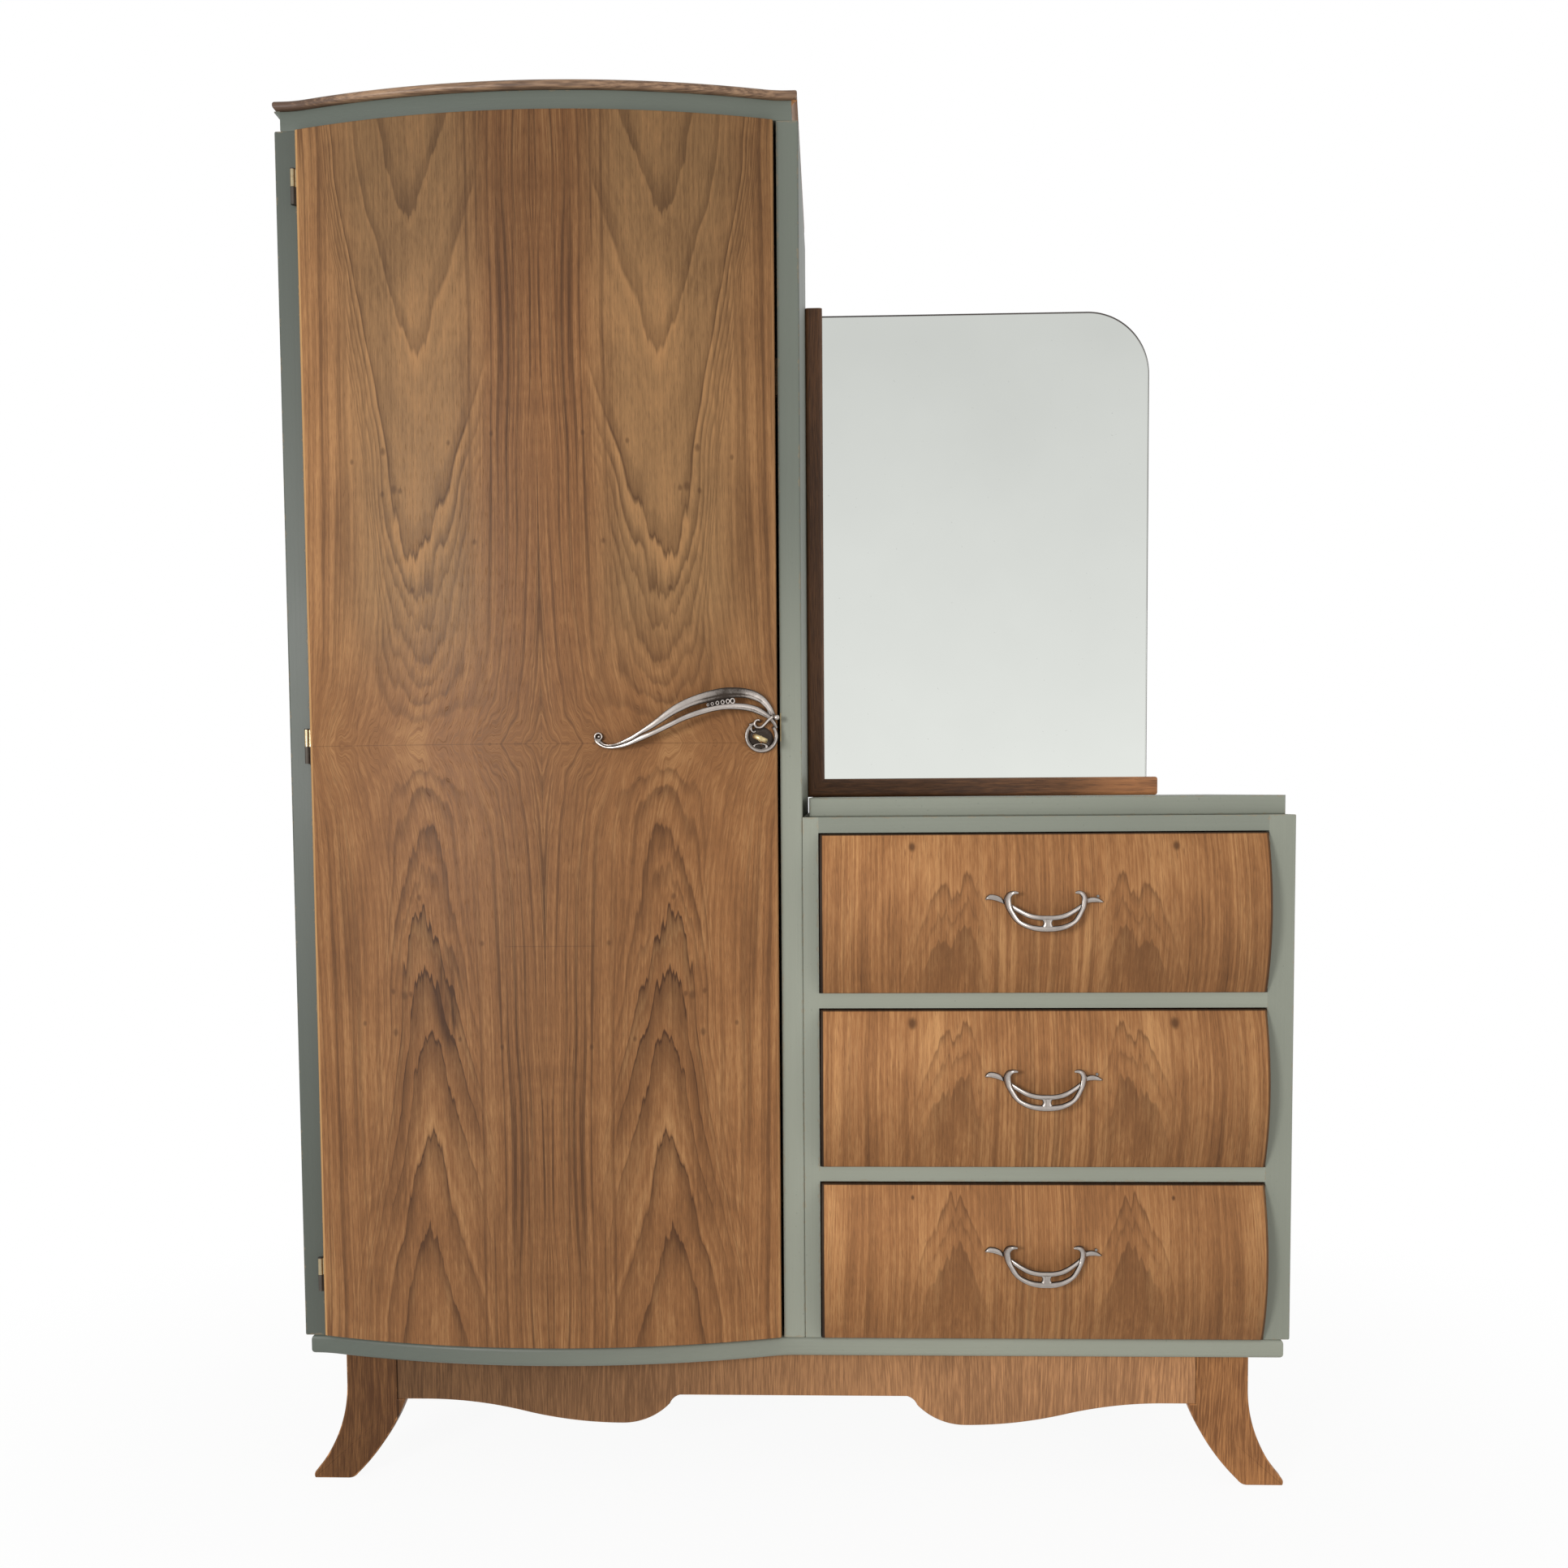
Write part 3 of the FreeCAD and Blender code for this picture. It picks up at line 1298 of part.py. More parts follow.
# Chest: sides, top board, rails, runners and back
low_tall = (base_top, low_top)
keep(block("low_side_left", (tall_right, drawer_left), tall_deep, low_tall), "low_side_left")
low_right_blank = block("low_right_blank", (drawer_right, right_x), tall_deep, low_tall)
keep(
    soften("low_side_right", low_right_blank, size.edge_round.number, at_x(right_x)), "low_side_right"
)
counter_front = place("counter_front", front_y + size.counter_setback)
counter_blank = block(
    "counter_blank",
    (tall_right + size.end_inset, right_x - size.end_inset),
    (counter_front, back_y),
    (low_top, counter_top),
)
keep(
    soften("counter_board", counter_blank, size.edge_round.number, at_y(counter_front)),
    "counter_board",
)
drawer_across = (drawer_left, drawer_right)
rail_deep = (front_y, front_y + size.front_rail_depth)
top_rail_low = place("top_rail_low", low_top - size.top_rail_height)
chest_rails = [block("chest_top_rail", drawer_across, rail_deep, (top_rail_low, low_top))]
drawer_pitch = place("drawer_pitch", (top_rail_low - base_top + size.drawer_rail_height) / 3)
opening_height = place("opening_height", drawer_pitch - size.drawer_rail_height)
# Drawers are counted from the top, so the third runs on the bottom board
floor_levels = {
    1: place("floor_upper", base_top + drawer_pitch * 2),
    2: place("floor_middle", base_top + drawer_pitch),
    3: place("floor_lower", base_top * 1),
}
runners = []
for count in (1, 2):
    rail_floor = floor_levels[count]
    rail_tall_here = (rail_floor - size.drawer_rail_height, rail_floor)
    chest_rails.append(block("drawer_rail_%d" % count, drawer_across, rail_deep, rail_tall_here))
    runner_deep = (rail_deep[1], back_panel_y)
    runners.append(
        block(
            "runner_left_%d" % count,
            (drawer_left, drawer_left + size.runner_width),
            runner_deep,
            rail_tall_here,
        )
    )
    runners.append(
        block(
            "runner_right_%d" % count,
            (drawer_right - size.runner_width, drawer_right),
            runner_deep,
            rail_tall_here,
        )
    )
keep(group("chest_rails", chest_rails), "chest_rails")
keep(group("drawer_runners", runners), "drawer_runners")
low_back = block("low_back", drawer_across, back_deep, low_tall)
keep(group("back_panels", [tall_back, low_back]), "back_panels")

# Drawers
front_left = place("front_left", drawer_left + size.drawer_gap)
front_right = place("front_right", drawer_right - size.drawer_gap)
front_edge_y = place("front_edge_y", front_y - size.drawer_edge)
front_back_y = place("front_back_y", front_y + size.drawer_front_back)
front_height = place("front_height", opening_height - size.drawer_gap - size.runner_play)
front_crown_y = place("front_crown_y", front_edge_y - size.drawer_bow)
pull_low_rise = place("pull_low_rise", (front_height - size.pull_height) / 2 + size.pull_rise)
pull_half = size.pull_width / 2
# The bail's back passes through the drawer front's crown at its ends and stands off in the middle
BAIL_END_SHARE = 0.72
bail_half = place("bail_half", pull_half * BAIL_END_SHARE)
bail_radius = place(
    "bail_radius", (bail_half * bail_half + size.pull_reach * size.pull_reach) / (2 * size.pull_reach)
)
bail_centre_y = place("bail_centre_y", front_crown_y + bail_radius - size.pull_reach)
pull_front = place("pull_front", front_crown_y - size.pull_reach - size.pull_thick - OVERRUN)
PULL_SCREW_ACROSS_SHARE = 0.86
PULL_SCREW_UP_SHARE = 0.83
pull_screw_off = place("pull_screw_off", pull_half * PULL_SCREW_ACROSS_SHARE)


def drawer(count):
    """One drawer: swelled front, box, pull and its screws."""
    name = "drawer_%d_" % count
    low = place(name + "low", floor_levels[count] + size.runner_play)
    high = place(name + "high", low + front_height)
    middle_z = (low + high) / 2
    outline = [
        (front_back_y, low),
        (front_back_y, high),
        (front_edge_y, high),
        Bend(front_crown_y, middle_z),
        (front_edge_y, low),
    ]
    front_blank = board(name + "front_blank", "YZ", outline, front_left, front_right)
    pull_z = low + pull_low_rise
    screw_z = place(name + "screw_z", pull_z + size.pull_height * PULL_SCREW_UP_SHARE)
    screws = [
        wood_screw(
            name + "screw_" + tag,
            drawer_middle + pull_screw_off * way,
            screw_z,
            front_crown_y,
            front_back_y,
            size.pull_screw_radius,
            size.pull_foot / 2,
        )
        for tag, way in (("left", -1), ("right", 1))
    ]
    screw_group = keep(group(name + "screws", screws), name + "screws")
    front_soft = soften(
        name + "front_soft", front_blank, size.front_round.number, at_y(front_edge_y)
    )
    keep(cut(name + "front", front_soft, [screw_group]), name + "front")
    side_deep = (front_back_y, front_back_y + size.drawer_length)
    side_tall = (low, low + size.drawer_side_height)
    inner_left = front_left + size.drawer_side_thick
    inner_right = front_right - size.drawer_side_thick
    sides = [
        block(name + "side_left", (front_left, inner_left), side_deep, side_tall),
        block(name + "side_right", (inner_right, front_right), side_deep, side_tall),
    ]
    keep(group(name + "sides", sides), name + "sides")
    bottom_low = low + size.drawer_bottom_rise
    bottom_high = bottom_low + size.drawer_bottom_thick
    keep(
        block(name + "bottom", (inner_left, inner_right), side_deep, (bottom_low, bottom_high)),
        name + "bottom",
    )
    keep(
        block(
            name + "back",
            (inner_left, inner_right),
            (side_deep[1] - size.drawer_side_thick, side_deep[1]),
            (bottom_high, bottom_high + size.drawer_back_height),
        ),
        name + "back",
    )
    pull(name, pull_z, front_blank, screw_group)


def pull(name, low, front_blank, screw_group):
    """A crescent bail with a hook and a wing at each end, and two open slots."""
    half = scaled(PULL_HALF_SHARES, drawer_middle, low, size.pull_width, size.pull_height)
    # The top of the crescent's inner edge is one arc through the middle
    inner_top = (drawer_middle, low + size.pull_height * PULL_INNER_SHARE)
    whole = half + [inner_top] + flipped(half, drawer_middle)[:-1]
    slots = scaled(PULL_SLOT_SHARES, drawer_middle, low, size.pull_width, size.pull_height)
    bail_slab = slab(name + "bail_slab", whole, pull_front, front_y)
    slot_slab = slab(name + "slot_slab", slots, pull_front, front_y)
    other_slab = slab(name + "other_slot", flipped(slots, drawer_middle), pull_front, front_y)
    holed = cut(name + "bail_holed", bail_slab, [slot_slab, other_slab])
    shell_low = low - size.pull_height
    outer = rod(
        name + "bail_outer",
        "z",
        (drawer_middle, bail_centre_y, shell_low),
        bail_radius + size.pull_thick,
        size.pull_height * 3,
    )
    inner = rod(
        name + "bail_inner",
        "z",
        (drawer_middle, bail_centre_y, shell_low),
        bail_radius,
        size.pull_height * 3,
    )
    shell = cut(name + "bail_shell", outer, [inner])
    skin = block(
        name + "wing_skin",
        (drawer_middle - size.pull_width, drawer_middle - bail_half),
        (front_crown_y - size.pull_foot, front_y),
        (shell_low, shell_low + size.pull_height * 3),
    )
    other_skin = block(
        name + "other_skin",
        (drawer_middle + bail_half, drawer_middle + size.pull_width),
        (front_crown_y - size.pull_foot, front_y),
        (shell_low, shell_low + size.pull_height * 3),
    )
    form = joined(name + "pull_form", [shell, skin, other_skin])
    casting = doc.addObject("Part::Common", name + "pull_blank")
    casting.Base = holed
    casting.Tool = form
    keep(cut(name + "pull", casting, [front_blank, screw_group]), name + "pull")


PULL_INNER_SHARE = 0.39
for drawer_count in floor_levels:
    drawer(drawer_count)

# Mirror: glass in front of a backing board, held by a batten at its left and one under it
glass_left = place("glass_left", tall_right + size.batten_left - size.glass_cover)
glass_low = place("glass_low", counter_top + size.batten_bottom - size.glass_cover)
glass_right = place("glass_right", tall_right + size.batten_left + size.glass_width)
glass_top = place("glass_top", counter_top + size.batten_bottom + size.glass_height)
backing_front = place("backing_front", back_y - size.backing_thick)
glass_front = place("glass_front", backing_front - size.glass_thick)
batten_front = place("batten_front", glass_front - size.batten_thick)
DIAGONAL_SHARE = math.sqrt(HALF_SHARE)


def mirror_outline(x_low, x_high, z_low, z_high, radius):
    """A plate with its upper right corner rounded."""
    near = radius * (1 - DIAGONAL_SHARE)
    return [
        (x_low, z_low),
        (x_high, z_low),
        (x_high, z_high - radius),
        Bend(x_high - near, z_high - near),
        (x_high - radius, z_high),
        (x_low, z_high),
    ]


glass_outline = mirror_outline(glass_left, glass_right, glass_low, glass_top, size.glass_corner)
keep(board("mirror_glass", "XZ", glass_outline, glass_front, backing_front), "mirror_glass")
backing_outline = mirror_outline(
    tall_right * 1,
    glass_right - size.backing_margin,
    counter_top * 1,
    glass_top - size.backing_margin,
    size.glass_corner - size.backing_margin,
)
batten_left_right = tall_right + size.batten_left
batten_low_top = counter_top + size.batten_bottom
left_batten_outline = [
    (tall_right, counter_top),
    (batten_left_right, batten_low_top),
    (batten_left_right, glass_top + size.batten_over),
    (tall_right, glass_top + size.batten_over),
]
bottom_batten_outline = [
    (tall_right, counter_top),
    (glass_right + size.batten_past, counter_top),
    (glass_right + size.batten_past, batten_low_top),
    (batten_left_right, batten_low_top),
]
rebate = block(
    "mirror_rebate",
    (glass_left, glass_right),
    (glass_front, backing_front + OVERRUN),
    (glass_low, glass_top + size.batten_over * 2),
)
MIRROR_SCREW_UP_SHARES = (0.2, 0.55, 0.9)
MIRROR_SCREW_ACROSS_SHARES = (0.15, 0.5, 0.85)
screw_spots = []
for share in MIRROR_SCREW_UP_SHARES:
    up = batten_low_top + size.glass_height * share
    screw_spots.append((tall_right + (size.batten_left - size.glass_cover) / 2, up))
for share in MIRROR_SCREW_ACROSS_SHARES:
    across = batten_left_right + size.glass_width * share
    screw_spots.append((across, counter_top + (size.batten_bottom - size.glass_cover) / 2))
mirror_screws = []
for index, (across, up) in enumerate(screw_spots):
    shank_start = backing_front - size.mirror_screw_bite
    screw_shank = rod(
        "mirror_screw_shank_%d" % index,
        "y",
        (across, shank_start, up),
        size.mirror_screw_radius,
        back_y - shank_start,
    )
    screw_head = rod(
        "mirror_screw_head_%d" % index,
        "y",
        (across, back_y - size.screw_head_height, up),
        size.mirror_screw_head,
        size.screw_head_height,
    )
    mirror_screws.append(joined("mirror_screw_%d" % index, [screw_shank, screw_head]))
mirror_screw_group = keep(group("mirror_screws", mirror_screws), "mirror_screws")
backing_blank = board("backing_blank", "XZ", backing_outline, backing_front, back_y)
keep(cut("mirror_backing", backing_blank, [mirror_screw_group]), "mirror_backing")
left_batten_blank = board(
    "left_batten_blank", "XZ", left_batten_outline, batten_front, backing_front
)
keep(
    cut("mirror_batten_left", left_batten_blank, [rebate, mirror_screw_group]), "mirror_batten_left"
)
bottom_batten_blank = board(
    "bottom_batten_blank", "XZ", bottom_batten_outline, batten_front, backing_front
)
keep(
    cut("mirror_batten_bottom", bottom_batten_blank, [rebate, mirror_screw_group]),
    "mirror_batten_bottom",
)

# Check every object and every sub-part before anything is written
doc.recompute()
for thing in doc.Objects:
    if "Invalid" in thing.State or "Error" in thing.State:
        raise RuntimeError("object failed: %s %s" % (thing.Name, thing.State))
for name in worked_names:
    worked.get(name)
os.makedirs("parts", exist_ok=True)
labels = [thing.Label for thing in subparts]
if len(set(labels)) != len(labels):
    raise RuntimeError("two sub-parts share a name")
for thing in subparts:
    if thing.Shape.isNull() or not thing.Shape.isValid() or not thing.Shape.Solids:
        raise RuntimeError("bad shape: " + thing.Label)
for thing in subparts:
    thing.Shape.exportStep("parts/%s.step" % thing.Label)
    bounds = thing.Shape.BoundBox
    print(
        "%-22s %d solid(s)  x %.1f %.1f  y %.1f %.1f  z %.1f %.1f"
        % (
            thing.Label,
            len(thing.Shape.Solids),
            bounds.XMin,
            bounds.XMax,
            bounds.YMin,
            bounds.YMax,
            bounds.ZMin,
            bounds.ZMax,
        )
    )
print("sub-parts:", len(subparts))
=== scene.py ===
"""Wardrobe with a bowed door, a chest of three swelled drawers and a mirror: the looks, built round the
packed frame. All places and lengths are metres in the frame of the packed model: X across, Y to the back,
Z up. The file is laid out as an add-on and is run as a script."""
import math

import bmesh
import bpy
import numpy as np
from mathutils import Matrix, Vector


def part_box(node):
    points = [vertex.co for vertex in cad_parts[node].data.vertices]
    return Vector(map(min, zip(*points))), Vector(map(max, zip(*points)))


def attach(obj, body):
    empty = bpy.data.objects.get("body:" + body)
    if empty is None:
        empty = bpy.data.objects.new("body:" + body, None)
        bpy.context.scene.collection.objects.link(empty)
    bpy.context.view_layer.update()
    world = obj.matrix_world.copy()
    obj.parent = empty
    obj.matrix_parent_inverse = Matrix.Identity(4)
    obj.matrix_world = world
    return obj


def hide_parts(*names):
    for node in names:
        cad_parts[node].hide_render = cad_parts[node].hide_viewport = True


bl_info = {
    "name": "Wardrobe with Chest and Mirror",
    "version": (1, 0, 0),
    "blender": (4, 5, 0),
    "location": "View3D > Sidebar > Wardrobe",
    "description": "Dresses the packed wardrobe: veneered fronts, cast pulls, boards, feet and mirror",
    "category": "Object",
}

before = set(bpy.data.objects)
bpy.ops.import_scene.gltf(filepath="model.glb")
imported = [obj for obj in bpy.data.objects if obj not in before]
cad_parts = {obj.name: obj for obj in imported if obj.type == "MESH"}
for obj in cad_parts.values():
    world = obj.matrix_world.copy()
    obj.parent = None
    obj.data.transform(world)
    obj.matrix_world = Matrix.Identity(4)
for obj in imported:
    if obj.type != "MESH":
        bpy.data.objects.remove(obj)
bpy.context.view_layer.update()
MM = 0.001


def srgb(red, green, blue):
    """A colour given as three numbers to 255, as the linear values that a shader takes."""
    share = np.array([red, green, blue]) / 255.0
    return tuple(np.where(share <= 0.04045, share / 12.92, ((share + 0.055) / 1.055) ** 2.4).tolist())


def node_box(node):
    """Lowest and highest corner of a solid of the frame, as two arrays."""
    low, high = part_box(node)
    return np.array(low), np.array(high)


# Sizes and colours that a user would change


def length(name, text, default, **more):
    return bpy.props.FloatProperty(name=name, description=text, default=default, unit="LENGTH", **more)


def number(name, text, default, **more):
    return bpy.props.FloatProperty(name=name, description=text, default=default, **more)


def colour(name, text, default):
    return bpy.props.FloatVectorProperty(
        name=name, description=text, default=default, size=3, min=0.0, max=1.0, subtype="COLOR"
    )


class StageSettings(bpy.types.PropertyGroup):
    """Floor, lamps and camera."""

    floor_tint: colour("Floor", "Pale colour of the floor", srgb(240, 240, 238))
    fill: number("Fill light", "Strength of the even light from all round", 0.6, min=0.0)
    key_power: number("Key lamp", "Watts of the soft lamp in front, to the left", 68.0, min=0.0)
    side_power: number("Side lamp", "Watts of the soft lamp low on the right", 12.0, min=0.0)
    lens: length("Focal length", "Focal length of the camera, whose sensor is 36 mm wide", 0.03466)
    eye: bpy.props.FloatVectorProperty(
        name="Camera place", description="Where the camera stands", default=(0.05763, -2.06082, 0.88725),
        size=3, subtype="TRANSLATION", unit="LENGTH",
    )
    turn: bpy.props.FloatVectorProperty(
        name="Camera turn", description="Yaw, pitch and roll of the camera",
        default=(-0.03329, -0.05936, -0.00697), size=3, subtype="EULER", unit="ROTATION",
    )
    shift: bpy.props.FloatVectorProperty(
        name="Camera shift", description="Shift of the picture as shares of its width",
        default=(-0.00081, 0.0626), size=2,
    )


class PaintSettings(bpy.types.PropertyGroup):
    """The painted carcass."""

    green: colour("Green paint", "Sage green of the painted boards", srgb(144, 147, 135))
    # Painted shade: this greyer green stands in for shade low down and at the left; it also colours the
    # specks.
    green_shade: colour("Green in shade", "Greyer green of the paint low down and at the left",
                        srgb(88, 94, 87))
    bare: colour("Worn edge", "Wood that shows where the paint has worn off an edge", srgb(150, 128, 98))
    nose: length("Rounded edge", "Radius of the rounded edge of the board under the carcass", 0.006,
                 min=0.0)
    arris: length("Eased edge", "Radius of the eased edge of the other boards", 0.0014, min=0.0)


class VeneerSettings(bpy.types.PropertyGroup):
    """The matched veneer of the door and drawers, and the solid walnut."""

    light: colour("Light wood", "Lightest wood of the veneer", srgb(166, 123, 80))
    middle: colour("Middle wood", "Most of the veneer", srgb(132, 90, 55))
    dark: colour("Dark wood", "Dark streaks of the veneer", srgb(64, 40, 24))
    # Partly the wood's own tone and partly painted sheen on the upper half of the door.
    olive_and_sheen: colour("Olive wood", "Greyer tone of the figures in the upper half of the door",
                  srgb(140, 105, 69))
    seam_x: length("Door seam", "Place of the upright seam of the door across the piece", -0.2975)
    axis: length("Figure place", "Distance of the middle of a figure from the upright seam", 0.151)
    drawer_axis: length("Drawer figure place", "Distance of the figure of a drawer from its seam", 0.112)
    arris: length("Eased edge", "Radius of the eased edge of the veneered fronts", 0.0016, min=0.0)
    foot_light: colour("Foot, light", "Light wood of the feet and apron", srgb(168, 118, 74))
    foot_dark: colour("Foot, dark", "Dark wood of the feet and apron", srgb(104, 68, 42))
    batten_light: colour("Batten, light", "Light wood of the mirror battens", srgb(120, 80, 50))
    batten_dark: colour("Batten, dark", "Dark wood of the mirror battens", srgb(70, 46, 30))


class MetalSettings(bpy.types.PropertyGroup):
    """The castings, the key and the mirror."""

    nickel: colour("Nickel", "Rubbed nickel of the castings", srgb(196, 187, 180))
    tarnish: colour("Tarnish", "Dark film in the recesses of the castings", srgb(66, 58, 52))
    brass: colour("Brass", "Brass of the key and hinges", srgb(226, 208, 160))
    brass_dull: colour("Dull brass", "Dull brown brass", srgb(116, 88, 50))
    steel: colour("Steel", "Steel of screws and lock", srgb(176, 174, 170))
    steel_dull: colour("Dull steel", "Dull dark steel", srgb(84, 78, 72))
    glass: colour("Mirror", "Tint of the silvered glass", srgb(228, 231, 226))


# Surfaces worked out with numpy


def grid_faces(rows, columns, wrap_rows=False, wrap_columns=False):
    """Four-sided faces of a grid of rows by columns points: face (i, j) joins point (i, j) to its next
    neighbours along both ways, and a wrapped way joins its last line to its first."""
    i = np.arange(rows if wrap_rows else rows - 1)[:, None]
    j = np.arange(columns if wrap_columns else columns - 1)[None, :]
    up, across = (i + 1) % rows, (j + 1) % columns
    return np.stack(np.broadcast_arrays(i * columns + j, i * columns + across, up * columns + across,
                                        up * columns + j), -1).reshape(-1, 4)


def tube_faces(rows, columns, closed=False):
    """Faces of rows of points that each run round a tube. Open ends close with a flat face, and a closed
    tube joins its last row to its first."""
    faces = grid_faces(rows, columns, wrap_rows=closed, wrap_columns=True).tolist()
    if not closed:
        faces.append(list(range(columns))[::-1])
        faces.append(list(range((rows - 1) * columns, rows * columns)))
    return faces


def rays(angles):
    """Points of a circle of radius one: (cos a, sin a)."""
    return np.stack([np.cos(angles), np.sin(angles)], -1)


def whole_turn(count):
    """Evenly spaced angles round a whole turn."""
    return np.linspace(0, 2 * np.pi, count, endpoint=False)


def arc_radius(half, rise):
    """Radius of the arc over a chord of twice the half length: (half^2 + rise^2) / (2 rise)."""
    return (half**2 + rise**2) / (2 * rise)


def smooth_path(points, count):
    """Count places on a smooth line through the given points. Between two points it is the cubic that
    passes both, and whose slope at each is half the step from its neighbour before to the one after."""
    p = np.asarray(points, float)
    line = np.vstack([2 * p[0] - p[1], p, 2 * p[-1] - p[-2]])
    t = np.linspace(0, len(p) - 1, count)
    k = np.minimum(t.astype(int), len(p) - 2)
    s = (t - k)[:, None]
    a, b, c, d = line[k], line[k + 1], line[k + 2], line[k + 3]
    return 0.5 * (2 * b + (c - a) * s + (2 * a - 5 * b + 4 * c - d) * s**2 + (3 * b - a - 3 * c + d) * s**3)


def even_path(points, count):
    """The same smooth line with its places evenly spaced: arc length is summed over a fine copy and read
    back."""
    fine = smooth_path(points, count * 8)
    run = np.concatenate([[0], np.cumsum(np.linalg.norm(np.diff(fine, axis=0), axis=1))])
    wanted = np.linspace(0, run[-1], count)
    return np.stack([np.interp(wanted, run, fine[:, k]) for k in range(fine.shape[1])], -1)


def swell(a, b, rise_share, count):
    """Places on the arc from a to b whose rise is a share of the chord, to the left of the way from a to
    b. The end is left out. A point at angle t has x = sin(t) / sin(T) / 2 and y = (cos(t) - cos(T)) /
    sin(T) / 2 of the chord, with T twice the arc tangent of twice the rise share."""
    a, b = np.asarray(a, float), np.asarray(b, float)
    if not rise_share:
        return a + (b - a) * np.linspace(0, 1, count, endpoint=False)[:, None]
    half = 2 * math.atan(2 * rise_share)
    t = np.linspace(-half, half, count, endpoint=False)
    along = np.sin(t) / math.sin(half) / 2 + 0.5
    aside = (np.cos(t) - math.cos(half)) / math.sin(half) / 2
    chord = b - a
    left = np.array([-chord[1], chord[0]])
    return a + along[:, None] * chord + aside[:, None] * left


def outline_of(*corners):
    """A closed outline from rows of (x, z, rise share of the arc to the next corner, points on it)."""
    places = [np.array(c[:2]) for c in corners]
    return np.vstack([
        swell(places[k], places[(k + 1) % len(places)], c[2], c[3]) for k, c in enumerate(corners)
    ])


def inset(outline, distance):
    """The closed outline moved in by a distance: each point goes along the sum of the inward normals of
    its two edges, divided by one plus their dot product, so straight edges move square to themselves.
    Counter-clockwise outlines."""
    ahead = np.roll(outline, -1, 0) - outline
    ahead /= np.linalg.norm(ahead, axis=1)[:, None] + 1e-12
    normal = np.stack([-ahead[:, 1], ahead[:, 0]], -1)
    before = np.roll(normal, 1, 0)
    share = 1 + np.sum(normal * before, axis=1)
    return outline + distance * (normal + before) / np.maximum(share, 0.35)[:, None]


class Shell:
    """Points, faces and point values of one piece, gathered from closed surfaces."""

    def __init__(self):
        self.points, self.faces, self.uv, self.relief = [], [], [], []
        self.count = 0

    def add(self, points, faces, uv=None, relief=None):
        points = np.asarray(points, float).reshape(-1, 3)
        self.points.append(points)
        self.uv.append(points[:, [0, 2]] if uv is None else np.asarray(uv, float).reshape(-1, 2))
        self.relief.append(np.ones(len(points)) if relief is None else np.asarray(relief, float).ravel())
        self.faces += [[k + self.count for k in face] for face in faces]
        self.count += len(points)

    def piece(self, name, material, body, slot, nodes, sharp=38.0):
        """Puts the gathered surfaces into a mesh, turns its faces outwards and hands the piece to the
        frame."""
        mesh = bpy.data.meshes.new(name)
        points = np.concatenate(self.points)
        mesh.from_pydata(points.tolist(), [], self.faces)
        corner = np.zeros(len(mesh.loops), dtype=np.int32)
        mesh.loops.foreach_get("vertex_index", corner)
        layer = mesh.uv_layers.new(name="UVMap")
        layer.data.foreach_set("uv", np.concatenate(self.uv)[corner].astype(np.float32).ravel())
        relief = mesh.attributes.new("relief", "FLOAT", "POINT")
        relief.data.foreach_set("value", np.concatenate(self.relief).astype(np.float32))
        work = bmesh.new()
        work.from_mesh(mesh)
        bmesh.ops.recalc_face_normals(work, faces=work.faces)
        work.to_mesh(mesh)
        work.free()
        mesh.shade_smooth()
        mesh.set_sharp_from_angle(angle=math.radians(sharp))
        mesh.materials.append(material)
        piece = bpy.data.objects.new(name, mesh)
        bpy.context.scene.collection.objects.link(piece)
        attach(piece, body)
        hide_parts(*nodes)
        return piece


def rounded_drop(x, z, radius):
    """How far a face stands back near its edges: r - sqrt(r^2 - (r - dx)^2 - (r - dz)^2) inside the outer
    radius, with dx and dz the distances to the nearest edges."""
    dx = np.minimum(x - x.min(), x.max() - x)
    dz = np.minimum(z - z.min(), z.max() - z)
    inside = radius**2 - np.clip(radius - dx, 0, None) ** 2 - np.clip(radius - dz, 0, None) ** 2
    return radius - np.sqrt(np.clip(inside, 0, None))


def edge_stations(low, high, count, radius):
    """Evenly spaced stations from low to high, with extra ones inside the rounded edge at both ends."""
    ease = radius * (1 - np.cos(np.linspace(0, np.pi / 2, 5)))
    between = np.linspace(low + radius * 1.5, high - radius * 1.5, count)
    return np.unique(np.concatenate([low + ease, between, high - ease]).round(7))


def leaf(shell, low, high, front, back, radius, counts, uv):
    """A board whose face may bow: the face is the point (x, front(x, z) + drop(x, z), z) of a grid of x
    and z, the back is (x, back(x, z), z), and a wall joins their rims."""
    xs = edge_stations(low[0], high[0], counts[0], radius)
    zs = edge_stations(low[2], high[2], counts[1], radius)
    z, x = np.meshgrid(zs, xs, indexing="ij")
    rows, columns = x.shape
    face = np.stack([x, front(x, z) + rounded_drop(x, z, radius), z], -1).reshape(-1, 3)
    rear = np.stack([x, back(x, z), z], -1).reshape(-1, 3)
    count = rows * columns
    quads = grid_faces(rows, columns)
    index = np.arange(count).reshape(rows, columns)
    rim = np.concatenate([index[0, :-1], index[:-1, -1], index[-1, :0:-1], index[:0:-1, 0]])
    ahead = np.roll(rim, -1)
    wall = np.stack([rim, rim + count, ahead + count, ahead], -1)
    faces = np.vstack([quads, quads[:, ::-1] + count, wall])
    flat = np.concatenate([face, rear])
    shell.add(flat, faces.tolist(), uv(flat))


FLAT_RING = 0.0005


